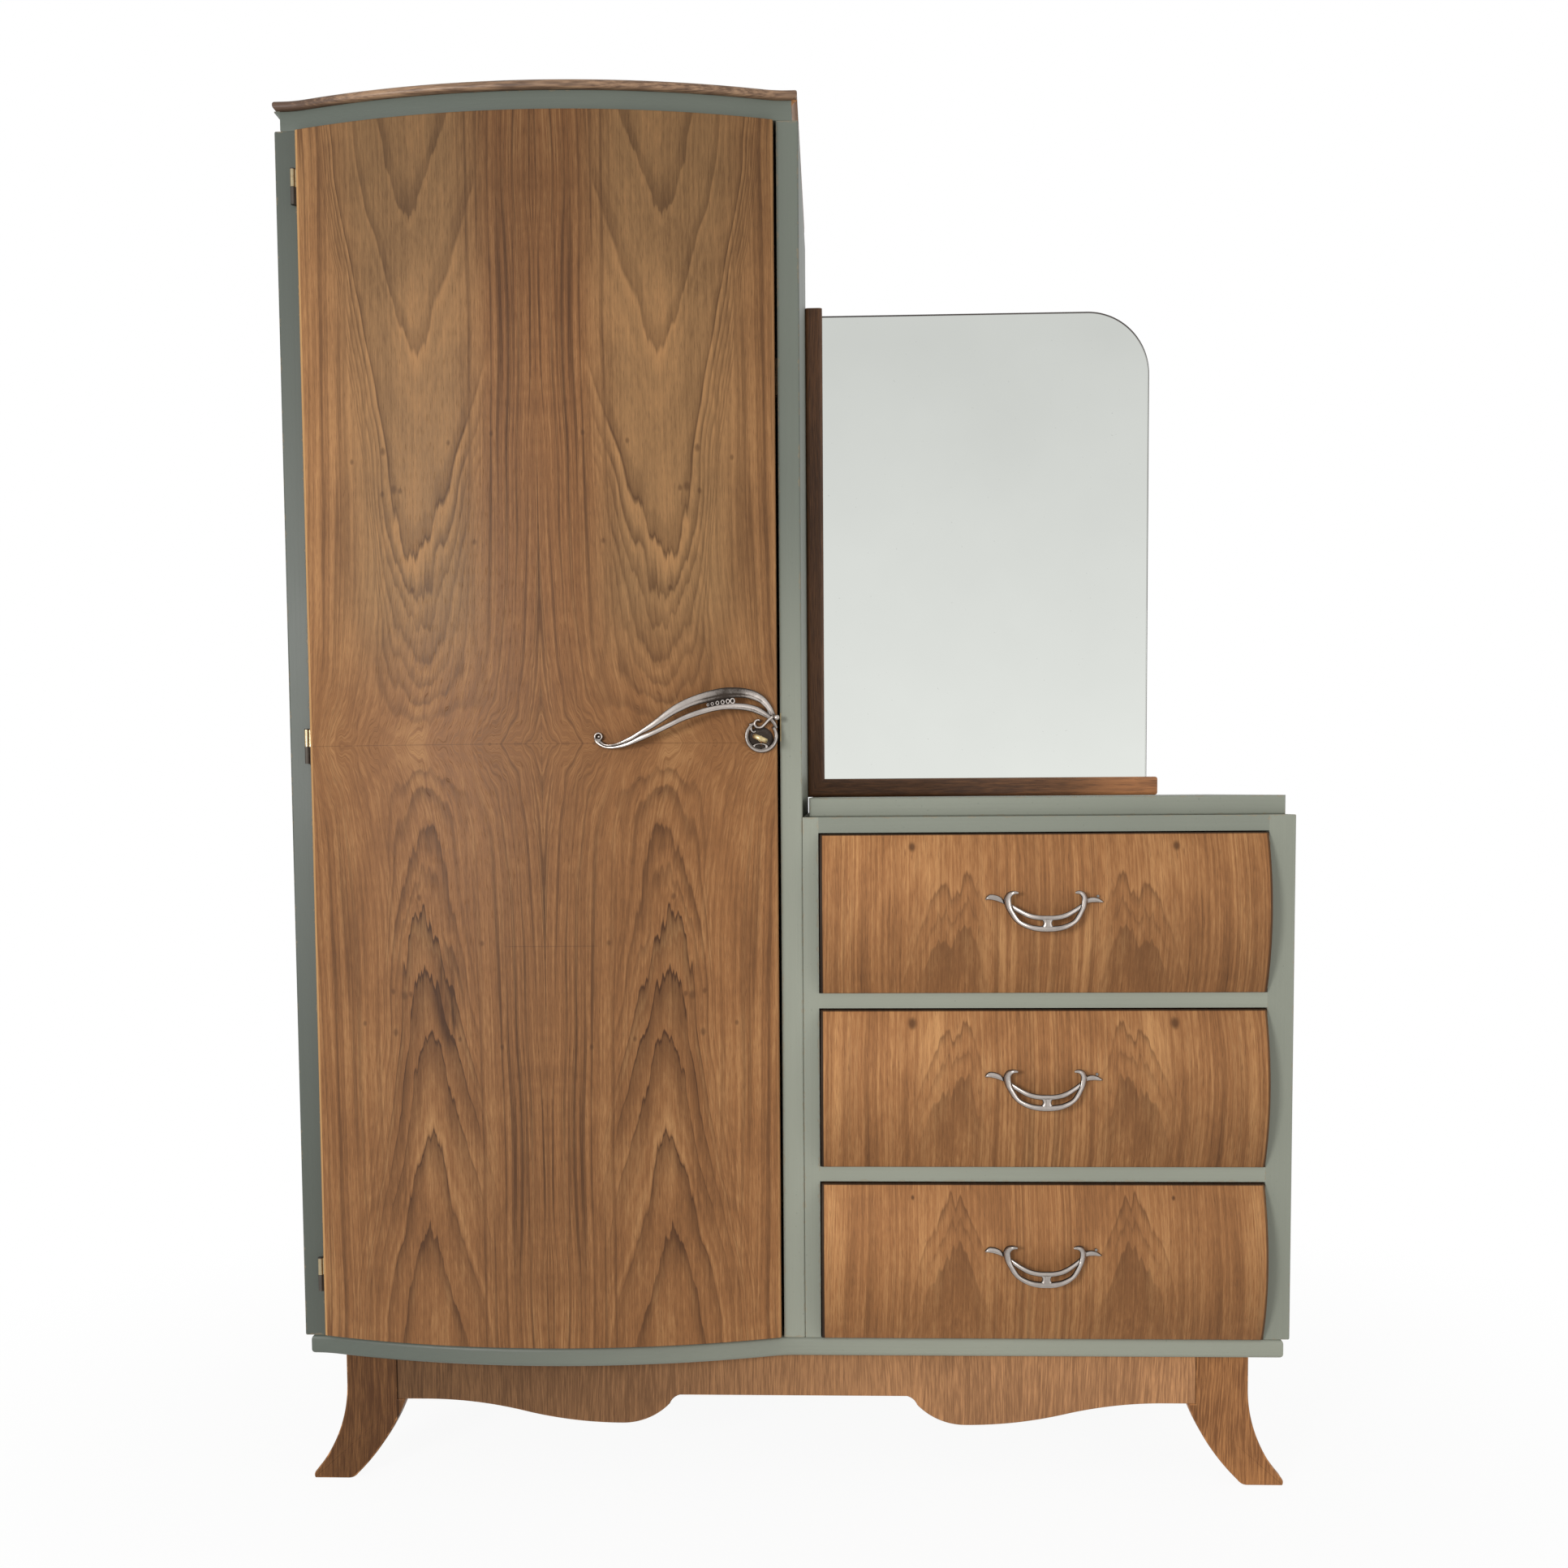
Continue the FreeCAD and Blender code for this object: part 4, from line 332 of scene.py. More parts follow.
def plate(shell, outline, low, high, radius, place, steps=4, rim_value=1.0):
    """A board of any closed outline between two depths. At angle a of its rounded edge the outline stands
    in by r (1 - sin a) at depth r (1 - cos a) from the face, and the same from the back. A narrow flat
    ring inside each edge keeps the shading of the flats even."""
    angle = np.linspace(0, np.pi / 2, steps + 1)
    moved = radius * (1 - np.sin(angle))
    moved = np.concatenate([[radius + FLAT_RING], moved, moved[::-1], [radius + FLAT_RING]])
    depth = radius * (1 - np.cos(angle))
    depth = np.concatenate([[low], low + depth, high - depth[::-1], [high]])
    rings = np.stack([inset(outline, m) for m in moved])
    points = place(rings[..., 0], depth[:, None], rings[..., 1])
    relief = np.ones(rings.shape[:2])
    relief[2:-2] = rim_value
    shell.add(points, tube_faces(*rings.shape[:2]), relief=relief)


def standing(x, depth, z):
    """A board that faces forwards: outline in X and Z, depth in Y."""
    return np.stack(np.broadcast_arrays(x, depth, z), -1)


def lying(x, depth, y):
    """A board that lies flat: outline in X and Y, depth in Z."""
    return np.stack(np.broadcast_arrays(x, y, depth), -1)


def carried(shell, centres, aside, outward, section, closed=False):
    """A section carried along a path: point (i, k) = centre i + section k across * aside i + section k up
    * outward i. Open ends close with the section itself."""
    across = section[None, :, 0, None] * aside[:, None, :]
    up = section[None, :, 1, None] * outward[:, None, :]
    points = centres[:, None, :] + (across + up)
    shell.add(points, tube_faces(*points.shape[:2], closed))


def turned(shell, centre, axis, profile, count):
    """A turned shape: point (i, k) = centre + axis * height i + radius i * (cos a side + sin a up). A
    first or last radius near zero closes the pole."""
    axis = np.asarray(axis, float) / np.linalg.norm(axis)
    helper = np.array([0.0, 0.0, 1.0]) if abs(axis[2]) < 0.9 else np.array([1.0, 0.0, 0.0])
    side = np.cross(helper, axis)
    side /= np.linalg.norm(side)
    up = np.cross(axis, side)
    a = whole_turn(count)[:, None]
    round_way = np.cos(a) * side + np.sin(a) * up
    profile = np.asarray(profile, float)
    height, radius = profile[:, None, 1, None], profile[:, None, 0, None]
    points = np.asarray(centre) + height * axis + radius * round_way[None]
    shell.add(points, tube_faces(len(profile), count))


def dome_section(count=17, shoulder=0.62):
    """Section of a cast band as (share across, share of thickness, relief): a flat back, sides up to the
    shoulder and a rounded face between them, 1 - (1 - shoulder) * |2t - 1|^3.4 high. The relief falls at
    the two edges and along one faint line."""
    t = np.linspace(0, 1, count)
    height = 1 - (1 - shoulder) * np.abs(2 * t - 1) ** 3.4
    relief = 1 - np.abs(2 * t - 1) ** 9 * 0.95 - 0.3 * np.exp(-(((t - 0.36) / 0.07) ** 2))
    face = np.stack([t, height, relief], -1)
    back = np.array([[1.0, 0.0, -0.2], [0.5, 0.0, -0.2], [0.0, 0.0, -0.2]])
    return np.vstack([face, back])


def ribbon(centre, widths):
    """The two edges of a strip on each side of a centre line: each point goes half its width along the
    line's normal, which is the step from the point before to the one after, turned a quarter."""
    step = np.gradient(centre, axis=0)
    step /= np.linalg.norm(step, axis=1)[:, None] + 1e-12
    normal = np.stack([-step[:, 1], step[:, 0]], -1)
    half = np.broadcast_to(np.asarray(widths, float), (len(centre),))[:, None] / 2
    return centre - normal * half, centre + normal * half


def band(shell, one, other, thickness, back, section=None, closed=False, ends=True, dull=0.0):
    """A cast band between two edge lines in X and Z: point (i, k) = edge one i + share k * (edge other i
    - edge one i), raised by thickness i * height k in front of the surface y = back(x, z). Open ends thin
    to a third so that they read as rounded. The relief drops by a dull share along the rows."""
    section = dome_section() if section is None else section
    rows = len(one)
    thickness = np.broadcast_to(np.asarray(thickness, float), (rows,)).copy()
    if ends and not closed:
        fade = np.sin(np.clip(np.arange(rows) / 4.0, 0, 1) * np.pi / 2)
        thickness *= np.minimum(0.35 + 0.65 * fade, 1) * np.minimum(0.35 + 0.65 * fade[::-1], 1)
    flat = one[:, None, :] + section[None, :, 0, None] * (other - one)[:, None, :]
    height = section[None, :, 1] * thickness[:, None]
    y = back(flat[..., 0], flat[..., 1]) - height
    relief = section[None, :, 2] - np.broadcast_to(dull, (rows,))[:, None]
    shell.add(standing(flat[..., 0], y, flat[..., 1]), tube_faces(*y.shape, closed), relief=relief)


def bead(shell, x, z, y, radii, rows=11, columns=20):
    """A cast bead: an ellipsoid, point = centre + (rx cos a cos b, -ry sin b, rz sin a cos b), closed at
    both poles by small caps."""
    b = np.linspace(-0.49 * np.pi, 0.49 * np.pi, rows)[:, None]
    a = whole_turn(columns)[None, :]
    points = np.stack(np.broadcast_arrays(x + radii[0] * np.cos(a) * np.cos(b), y - radii[1] * np.sin(b),
                                          z + radii[2] * np.sin(a) * np.cos(b)), -1)
    relief = np.broadcast_to(np.clip(0.5 + 0.6 * np.sin(b), 0, 1), (rows, columns))
    shell.add(points, tube_faces(rows, columns), relief=relief)


# Shader networks


class Value:
    """An output of a node that takes part in sums like a number: each sum adds a node to its network."""

    def __init__(self, net, socket):
        self.net, self.socket = net, socket

    def __add__(self, other):
        return self.net.math("ADD", self, other)

    def __sub__(self, other):
        return self.net.math("SUBTRACT", self, other)

    def __rsub__(self, other):
        return self.net.math("SUBTRACT", other, self)

    def __mul__(self, other):
        return self.net.math("MULTIPLY", self, other)

    def __truediv__(self, other):
        return self.net.math("DIVIDE", self, other)

    def __abs__(self):
        return self.net.math("ABSOLUTE", self)


class Network:
    """Adds nodes to a tree: each call sets the sockets it is given, by value or by link, and gives back
    an output."""

    def __init__(self, tree):
        self.tree = tree

    def node(self, kind, feeds=None, **settings):
        made = self.tree.nodes.new(kind)
        for name, value in settings.items():
            setattr(made, name, value)
        for name, value in (feeds or {}).items():
            self.feed(made.inputs[name], value)
        return made

    def out(self, kind, feeds=None, index=0, **settings):
        """One output, by its index or name, of a new node."""
        return Value(self, self.node(kind, feeds, **settings).outputs[index])

    def feed(self, socket, value):
        if isinstance(value, Value):
            self.tree.links.new(value.socket, socket)
        elif socket.type == "RGBA" and len(value) == 3:
            socket.default_value = (*value, 1.0)
        else:
            socket.default_value = value

    def math(self, operation, a, b=0.0, c=0.0, clamp=False):
        return self.out("ShaderNodeMath", {0: a, 1: b, 2: c}, operation=operation, use_clamp=clamp)

    def vector(self, operation, a, b=(0.0, 0.0, 0.0)):
        return self.out("ShaderNodeVectorMath", {0: a, 1: b}, operation=operation)

    def scaled(self, vector, factor):
        """A vector or colour times one value."""
        return self.out("ShaderNodeVectorMath", {0: vector, "Scale": factor}, operation="SCALE")

    def reach(self, vector):
        """The length of a vector."""
        return self.out("ShaderNodeVectorMath", {0: vector}, "Value", operation="LENGTH")

    def parts(self, vector):
        return [Value(self, socket) for socket in self.node("ShaderNodeSeparateXYZ", {0: vector}).outputs]

    def joined(self, x, y, z):
        return self.out("ShaderNodeCombineXYZ", {0: x, 1: y, 2: z})

    def place(self, kind="Object"):
        """The place of a point of the object's own, or on its UV map."""
        return self.out("ShaderNodeTexCoord", None, kind)

    def relief(self):
        """The relief value that a piece's points carry."""
        return self.out("ShaderNodeAttribute", None, "Fac", attribute_name="relief")

    def noise(self, vector, scale, detail=2.0, rough=0.5, twist=0.0):
        return self.out("ShaderNodeTexNoise", {
            "Vector": vector, "Scale": scale, "Detail": detail, "Roughness": rough, "Distortion": twist})

    def line_noise(self, place, scale, detail, rough):
        """Noise along one line."""
        return self.out("ShaderNodeTexNoise", {
            "W": place, "Scale": scale, "Detail": detail, "Roughness": rough}, noise_dimensions="1D")

    def drawn(self, vector, scales, detail=2.0, rough=0.5, twist=0.0):
        """Noise with its own scale along each axis, so that it is drawn out along the axis of the
        smallest one."""
        return self.noise(self.vector("MULTIPLY", vector, scales), 1.0, detail, rough, twist)

    def between(self, value, low, high, to_low=0.0, to_high=1.0, smooth=True):
        """Value taken from low..high to to_low..to_high, eased at both ends."""
        return self.out("ShaderNodeMapRange", {0: value, 1: low, 2: high, 3: to_low, 4: to_high},
                        interpolation_type="SMOOTHSTEP" if smooth else "LINEAR")

    def ramp(self, value, stops):
        """Levels read from stops (place, level) with straight runs between them."""
        made = self.node("ShaderNodeValToRGB", {0: value})
        points = made.color_ramp.elements
        while len(points) < len(stops):
            points.new(0.5)
        for point, (place, level) in zip(points, stops):
            point.position = place
            point.color = (level, level, level, 1.0)
        return Value(self, made.outputs[0])

    def blend(self, share, a, b):
        made = self.node("ShaderNodeMix", data_type="RGBA", clamp_factor=True)
        for index, value in ((0, share), (6, a), (7, b)):
            self.feed(made.inputs[index], value)
        return Value(self, made.outputs[2])

    def group(self, tree, feeds):
        """The named outputs of a node group whose named sockets are set or linked."""
        made = self.node("ShaderNodeGroup", feeds, node_tree=tree)
        return {socket.name: Value(self, socket) for socket in made.outputs}


SOCKETS = {"VALUE": "NodeSocketFloat", "VECTOR": "NodeSocketVector", "RGBA": "NodeSocketColor"}


def shared(name, takes):
    """Makes a function of a network and its inputs into a shader node group, which is made once. A colour
    as default gives a colour socket, a number a value and None a vector. The function gives back its
    outputs by name."""

    def group_of(make):
        def tree():
            if name in bpy.data.node_groups:
                return bpy.data.node_groups[name]
            made = bpy.data.node_groups.new(name, "ShaderNodeTree")
            for label, default in takes.items():
                kind = "VECTOR" if default is None else "RGBA" if isinstance(default, tuple) else "VALUE"
                socket = made.interface.new_socket(label, in_out="INPUT", socket_type=SOCKETS[kind])
                if default is not None:
                    socket.default_value = (*default, 1.0) if kind == "RGBA" else default
            start, end = made.nodes.new("NodeGroupInput"), made.nodes.new("NodeGroupOutput")
            net = Network(made)
            for label, value in make(net, {k: Value(net, start.outputs[k]) for k in takes}).items():
                made.interface.new_socket(label, in_out="OUTPUT", socket_type=SOCKETS[value.socket.type])
                net.feed(end.inputs[label], value)
            return made

        return tree

    return group_of


@shared("Figure Level", {"Vector": None, "Axis": 0.151, "Slope": 1.7, "Curl": 13.0, "Outer Curl": 38.0,
                         "Half": 0.08, "Flat": 0.35, "Tooth": 62.0, "Lower": 1.0, "Wander": 0.05,
                         "Teeth": 0.19, "Wave": 0.05, "Leaf": 0.0, "Swirl": 0.0})
def figure_level(net, given):
    """Level of the growth rings at a place of the matched veneer, in metres. With m the distance from the
    middle of the figure, level = b - slope m - curl m^2, so each level is a V that points at the seam and
    whose arms turn upright, sooner on the side away from the seam. Near the cross joint the V is flatter,
    and below it steeper. Slow noise bends the arms, and noise that is drawn out along the grain gives the
    middle its saw teeth. The folded place that it gives on is moved towards the seam near the cross
    joint, which bends the grain there away from the seam. The side mask is 0 inside the figure and 1 in
    the straight grain beyond; the hold mask is 0 only in the straight grain at the seam."""
    x, y, _ = net.parts(given["Vector"])
    a, b = abs(x), abs(y)
    folded = net.joined(a, b, given["Leaf"])
    slow = net.drawn(folded, (6.0, 3.4, 1.0), 2.0, 0.5)
    m = a - given["Axis"] - (slow - 0.5) * given["Wander"]
    outer = net.between(m, -0.012, 0.012)
    away = net.math("SQRT", m * m + 0.00002)
    curl = outer * (given["Outer Curl"] - given["Curl"]) + given["Curl"]
    lean = net.between(y, -0.02, 0.02, given["Lower"], 1.0)
    arm = away * (away * curl + lean * given["Slope"])
    level = b - arm * net.between(b, 0.03, 0.24, given["Flat"], 1.0)
    near = net.between(away, 0.0, 0.065, 1.0, 0.07)
    teeth = net.drawn(folded, net.joined(given["Tooth"], 2.4, 1.0), 3.0, 0.6)
    level = level + (teeth - 0.5) * (near * given["Teeth"])
    wave = net.drawn(folded, (22.0, 6.0, 1.0), 3.0, 0.55)
    level = level + (wave - 0.5) * given["Wave"]
    swirl = given["Swirl"] * net.math("EXPONENT", b * -17.0)
    swirl = swirl * (wave * 2.4 - 0.2)
    reach = away - (outer * 0.012 + given["Half"])
    inner = m + given["Half"]
    side = net.between(reach, -0.045, 0.035) * (outer * -0.35 + 1.0)
    return {"Level": level, "Away": away, "Side": side, "Hold": net.between(inner, -0.022, 0.022),
            "Folded": net.joined(a - swirl, b, given["Leaf"])}


@shared("Veneer Finish", {"Folded": None, "Level": 0.0, "Side": 0.0, "Streak": 0.0, "Lift": 0.0,
                          "Lines": 0.6, "Light": (0.5, 0.3, 0.15), "Middle": (0.3, 0.15, 0.08),
                          "Dark": (0.1, 0.04, 0.02)})
def veneer_finish(net, given):
    """Colour, roughness and height of waxed veneer. Inside a figure the tone is soft noise along the ring
    level; beyond its arms it is straight grain, noise drawn out along the leaf. Smoky patches, fine hairs
    and short pores lie over both, and streaks darken it where their mask is high."""
    folded, side = given["Folded"], given["Side"]

    def spread(scale, detail, rough, twist=0.0, vector=folded):
        return net.drawn(vector, (*scale, 1.0), detail, rough, twist)

    def added(tone, noise, share, clamp=False):
        return net.math("MULTIPLY_ADD", noise - 0.5, share, tone, clamp=clamp)

    bend = spread((2.5, 1.6), 2.0, 0.5)
    shifted = net.vector("ADD", folded, net.joined((bend - 0.5) * 0.05, 0.0, 0.0))
    lines = net.between(spread((240.0, 0.9), 4.0, 0.68, vector=shifted), 0.32, 0.66)
    thin = net.between(spread((150.0, 1.5), 3.0, 0.6, vector=shifted), 0.48, 0.63)
    rings = net.line_noise(given["Level"], 34.0, 3.0, 0.62)
    tone = added(0.5, rings, side * -0.22 + 0.32)
    tone = added(tone, lines, side * 0.2 + 0.2)
    tone = given["Lift"] * 0.24 + tone
    tone = added(tone, spread((13.0, 6.0), 4.0, 0.62, 0.9), 0.85)
    tone = added(tone, spread((24.0, 0.7), 2.0, 0.5), 0.45)
    tone = added(tone, spread((430.0, 7.0), 3.0, 0.7), 0.6)
    dash = spread((620.0, 52.0), 2.0, 0.6)
    tone = added(tone, dash, 0.6, clamp=True)
    shade = net.blend(0.6, given["Middle"], given["Dark"])
    tint = net.blend(net.between(tone, 0.02, 0.5, smooth=False), shade, given["Middle"])
    tint = net.blend(net.between(tone, 0.5, 1.0, smooth=False), tint, given["Light"])
    broken = spread((90.0, 4.0), 2.0, 0.6)
    streak = net.math("MULTIPLY", given["Streak"], net.between(broken, 0.28, 0.6, 0.62, 1.0), clamp=True)
    fine = thin * (side * given["Lines"] + 0.14)
    fine = fine * net.between(net.parts(folded)[1], 0.0, 0.26, 0.5, 1.0)
    tint = net.blend(net.math("MAXIMUM", streak * 0.95, fine), tint, given["Dark"])
    pore = net.between(spread((1500.0, 60.0), 1.0, 0.5), 0.6, 0.72)
    tint = net.blend(pore * 0.35, tint, given["Dark"])
    height = dash * 0.25 - pore
    rough = tone * 0.08 + pore * 0.14
    return {"Color": tint, "Roughness": rough + 0.42, "Height": height}


@shared("Pin Knot", {"Folded": None, "Place": None, "Radius": 0.004})
def pin_knot(net, given):
    """Mask of a small knot: 1 at its middle, falling to 0 at its radius, longer along the grain."""
    away = net.vector("MULTIPLY", net.vector("SUBTRACT", given["Folded"], given["Place"]), (1.0, 0.72, 0.0))
    return {"Mask": net.between(net.reach(away) / given["Radius"], 0.25, 1.0, 1.0, 0.0)}


@shared("Straight Grain", {"Vector": None, "Light": (0.4, 0.25, 0.12), "Dark": (0.15, 0.07, 0.03),
                           "Patches": 0.5})
def straight_grain(net, given):
    """Plain wood whose grain runs along the first axis of its vector: long noise bands, fine hairs and
    short pores."""
    place = given["Vector"]
    bend = net.drawn(place, (1.6, 5.0, 5.0), 2.0)
    swing = net.joined(0.0, (bend - 0.5) * 0.06, 0.0)
    moved = net.vector("ADD", place, swing)
    bands = net.drawn(moved, (1.8, 210.0, 160.0), 4.0, 0.65)
    hair = net.drawn(moved, (30.0, 560.0, 420.0), 2.0, 0.65)
    dash = net.drawn(moved, (40.0, 1400.0, 1100.0), 1.0)
    pore = net.between(dash, 0.62, 0.74)
    patch = net.noise(place, 4.2, 2.0)
    tone = bands * 0.44 + hair * 0.76
    tone = tone + (patch - 0.5) * given["Patches"]
    tint = net.blend(net.between(tone, 0.36, 0.86), given["Dark"], given["Light"])
    tint = net.blend(pore * 0.4, tint, given["Dark"])
    height = hair * 0.4 - pore
    return {"Color": tint, "Roughness": net.between(tone, 0.3, 0.9, 0.5, 0.36), "Height": height}


@shared("Brushed Paint", {"Vector": None, "Base": (0.25, 0.28, 0.22), "Shade": (0.15, 0.17, 0.15),
                          "Shade Mask": 0.0})
def brushed_paint(net, given):
    """Satin paint put on with a brush along the first axis of its vector: fine ridges, soft clouds of
    tone, and painted shade: a greyer tone where the shade mask is high."""
    place = given["Vector"]
    ridge = net.drawn(place, (5.0, 420.0, 420.0), 3.0, 0.6)
    grain = net.drawn(place, (26.0, 900.0, 900.0), 1.0)
    cloud = net.noise(place, 3.0, 3.0, 0.5)
    speck = net.noise(place, 240.0, 1.0)
    tint = net.blend(given["Shade Mask"], given["Base"], given["Shade"])
    light = (cloud - 0.5) * 0.22 + 1.0
    light = (ridge - 0.5) * 0.09 + light
    tint = net.scaled(tint, light)
    tint = net.blend(net.between(speck, 0.72, 0.8, 0.0, 0.25), tint, given["Shade"])
    return {"Color": tint, "Roughness": cloud * 0.2 + 0.34, "Height": grain * 0.3 + ridge}


@shared("Edge Wear", {"Vector": None, "Low": None, "High": None, "Width": 0.003})
def edge_wear(net, given):
    """Mask of the edges of a boxed board: of the distances to its six sides, the second smallest is the
    way to the nearest edge, and noise breaks the line where it is under the width."""
    place = given["Vector"]
    near = net.vector("MINIMUM", net.vector("SUBTRACT", place, given["Low"]),
                      net.vector("SUBTRACT", given["High"], place))
    x, y, z = net.parts(near)
    smaller, larger = net.math("MINIMUM", x, y), net.math("MAXIMUM", x, y)
    middle = net.math("MAXIMUM", smaller, net.math("MINIMUM", larger, z))
    ragged = net.noise(place, 85.0, 3.0, 0.65)
    reach = given["Width"] * net.between(ragged, 0.42, 0.75)
    return {"Mask": net.between(reach - middle, -0.0002, 0.0006)}


@shared("Aged Metal", {"Vector": None, "Relief": 0.6, "Film": 0.25, "Clean": (0.5, 0.48, 0.44),
                       "Dull": (0.06, 0.05, 0.04)})
def aged_metal(net, given):
    """Rubbed metal: bright where the relief is high, duller in soft patches, and a dark film in the
    recesses."""
    place = given["Vector"]
    patch = net.noise(place, 55.0, 3.0, 0.6)
    grit = net.noise(place, 700.0, 2.0, 0.6)
    film = patch * 0.7 + given["Film"] - given["Relief"] * 0.85
    film = film + (grit - 0.5) * 0.3
    mask = net.between(film, -0.15, 0.5)
    half = net.blend(0.42, given["Clean"], given["Dull"])
    worn = net.blend(net.between(patch, 0.32, 0.66, 0.75, 0.0), given["Clean"], half)
    tint, height = net.blend(mask, worn, given["Dull"]), patch * 0.6 + grit
    return {"Color": tint, "Roughness": net.between(mask, 0.0, 1.0, 0.3, 0.65), "Height": height}


def material(name, **plain):
    """A material with a Principled shader whose plain values are set on its own sockets, its network and
    its shader."""
    made = bpy.data.materials.new(name)
    made.use_nodes = True
    tree = made.node_tree
    shader = next(n for n in tree.nodes if n.type == "BSDF_PRINCIPLED")
    net = Network(tree)
    for socket, value in plain.items():
        net.feed(shader.inputs[socket.replace("_", " ")], value)
    return made, net, shader


def bumped(net, shader, height, depth, strength=0.5):
    """Feeds a height to the shader's normal through a bump of a true depth."""
    bump = net.out("ShaderNodeBump", {"Strength": strength, "Distance": depth, "Height": height})
    net.feed(shader.inputs["Normal"], bump)


def along(net, vector, axis):
    """The vector with its axis of the grain brought first."""
    x, y, z = net.parts(vector)
    return net.joined(*{"x": (x, y, z), "y": (y, z, x), "z": (z, x, y)}[axis])


def wire(net, shader, outputs, tint):
    """Feeds a colour and a finish's roughness to the shader."""
    net.feed(shader.inputs["Base Color"], tint)
    net.feed(shader.inputs["Roughness"], outputs["Roughness"])


def paint_material(name, settings, axis, low, high, shade, gain=1.0):
    """Green paint for one board: brush marks along its grain, worn edges, and a painted shade mask that is
    a
    function of the place: (axis, from, to, mask there, mask here). A gain under 1 darkens the board as
    painted shade."""
    made, net, shader = material(name, Specular_IOR_Level=0.3)
    place = net.place()
    parts = dict(zip("xyz", net.parts(place)))
    mask = net.between(parts[shade[0]], *shade[1:])
    paint = net.group(brushed_paint(), {"Vector": along(net, place, axis), "Base": settings.green,
                                        "Shade": settings.green_shade, "Shade Mask": mask})
    wear = net.group(edge_wear(), {"Vector": place, "Low": low, "High": high, "Width": 0.0034})
    tint = net.vector("MULTIPLY", paint["Color"], (gain, gain, gain * 0.98))
    wire(net, shader, paint, net.blend(wear["Mask"] * 0.28, tint, settings.bare))
    bumped(net, shader, paint["Height"] - wear["Mask"], 0.00022, 0.6)
    return made


def wood_material(name, light, dark, axis, patches=0.5, coat=0.08, rim=False, sweep=None, joints=()):
    """Plain wood with straight grain along an axis. A sweep (from, to, gain there, gain here) lightens it
    along X, and each joint (x, strength) is a dark line across it."""
    made, net, shader = material(name, Coat_Roughness=0.35, Coat_Weight=coat,
                                 Specular_IOR_Level=0.3 if coat else 0.12)
    place = net.place()
    grain = net.group(straight_grain(), {
        "Vector": along(net, place, axis), "Light": light, "Dark": dark, "Patches": patches})
    tint = grain["Color"]
    if sweep:
        gain = net.between(net.parts(place)[0], *sweep, smooth=False)
        tint = net.scaled(tint, gain)
    if rim:
        relief = net.relief()
        chip = net.noise(place, 70.0, 3.0, 0.6)
        share = net.between(relief, 0.9, 0.2) * net.between(chip, 0.45, 0.68, 0.1, 0.7)
        tint = net.blend(share, tint, tuple(min(1.0, c * 1.6) for c in light))
    for x, strength in joints:
        off = abs(net.parts(place)[0] - x)
        tint = net.blend(net.between(off, 0.0006, 0.0022, strength, 0.0), tint,
                         tuple(c * 0.3 for c in dark))
    wire(net, shader, grain, tint)
    bumped(net, shader, grain["Height"], 0.0002)
    return made


def metal_material(name, clean, dull, relief=None, film=0.25):
    """Worn metal on the object's own places; relief is read from the castings' attribute where none is
    given."""
    made, net, shader = material(name, Metallic=1.0)
    if relief is None:
        relief = net.relief()
    aged = net.group(aged_metal(), {
        "Vector": net.place(), "Relief": relief, "Clean": clean, "Dull": dull, "Film": film})
    wire(net, shader, aged, aged["Color"])
    bumped(net, shader, aged["Height"], 0.00015)
    return made


def v_streaks(net, level, *marks):
    """Streak mask of a figure: each mark (level, strength, fade) starts sharply at its level and fades
    away from the seam, the strong ones from a dark core."""
    stops = [(0.0, 0.0)]
    for place, strength, fade in marks:
        stops += [(place - 0.002, stops[-1][1] * 0.7), (place, strength)]
        if strength > 0.7:
            stops.append((place + 0.008, strength * 0.55))
        stops.append((place + fade, strength * 0.08))
    return net.ramp(level, stops)


def v_lifts(net, level, *marks):
    """Mask of the pale wood on the seam side of a streak: each mark (level, strength) rises towards its
    level and ends there."""
    stops = [(0.0, 0.0)]
    for place, strength in marks:
        stops += [(place - 0.036, 0.0), (place - 0.006, strength), (place, 0.0)]
    return net.ramp(level, stops)


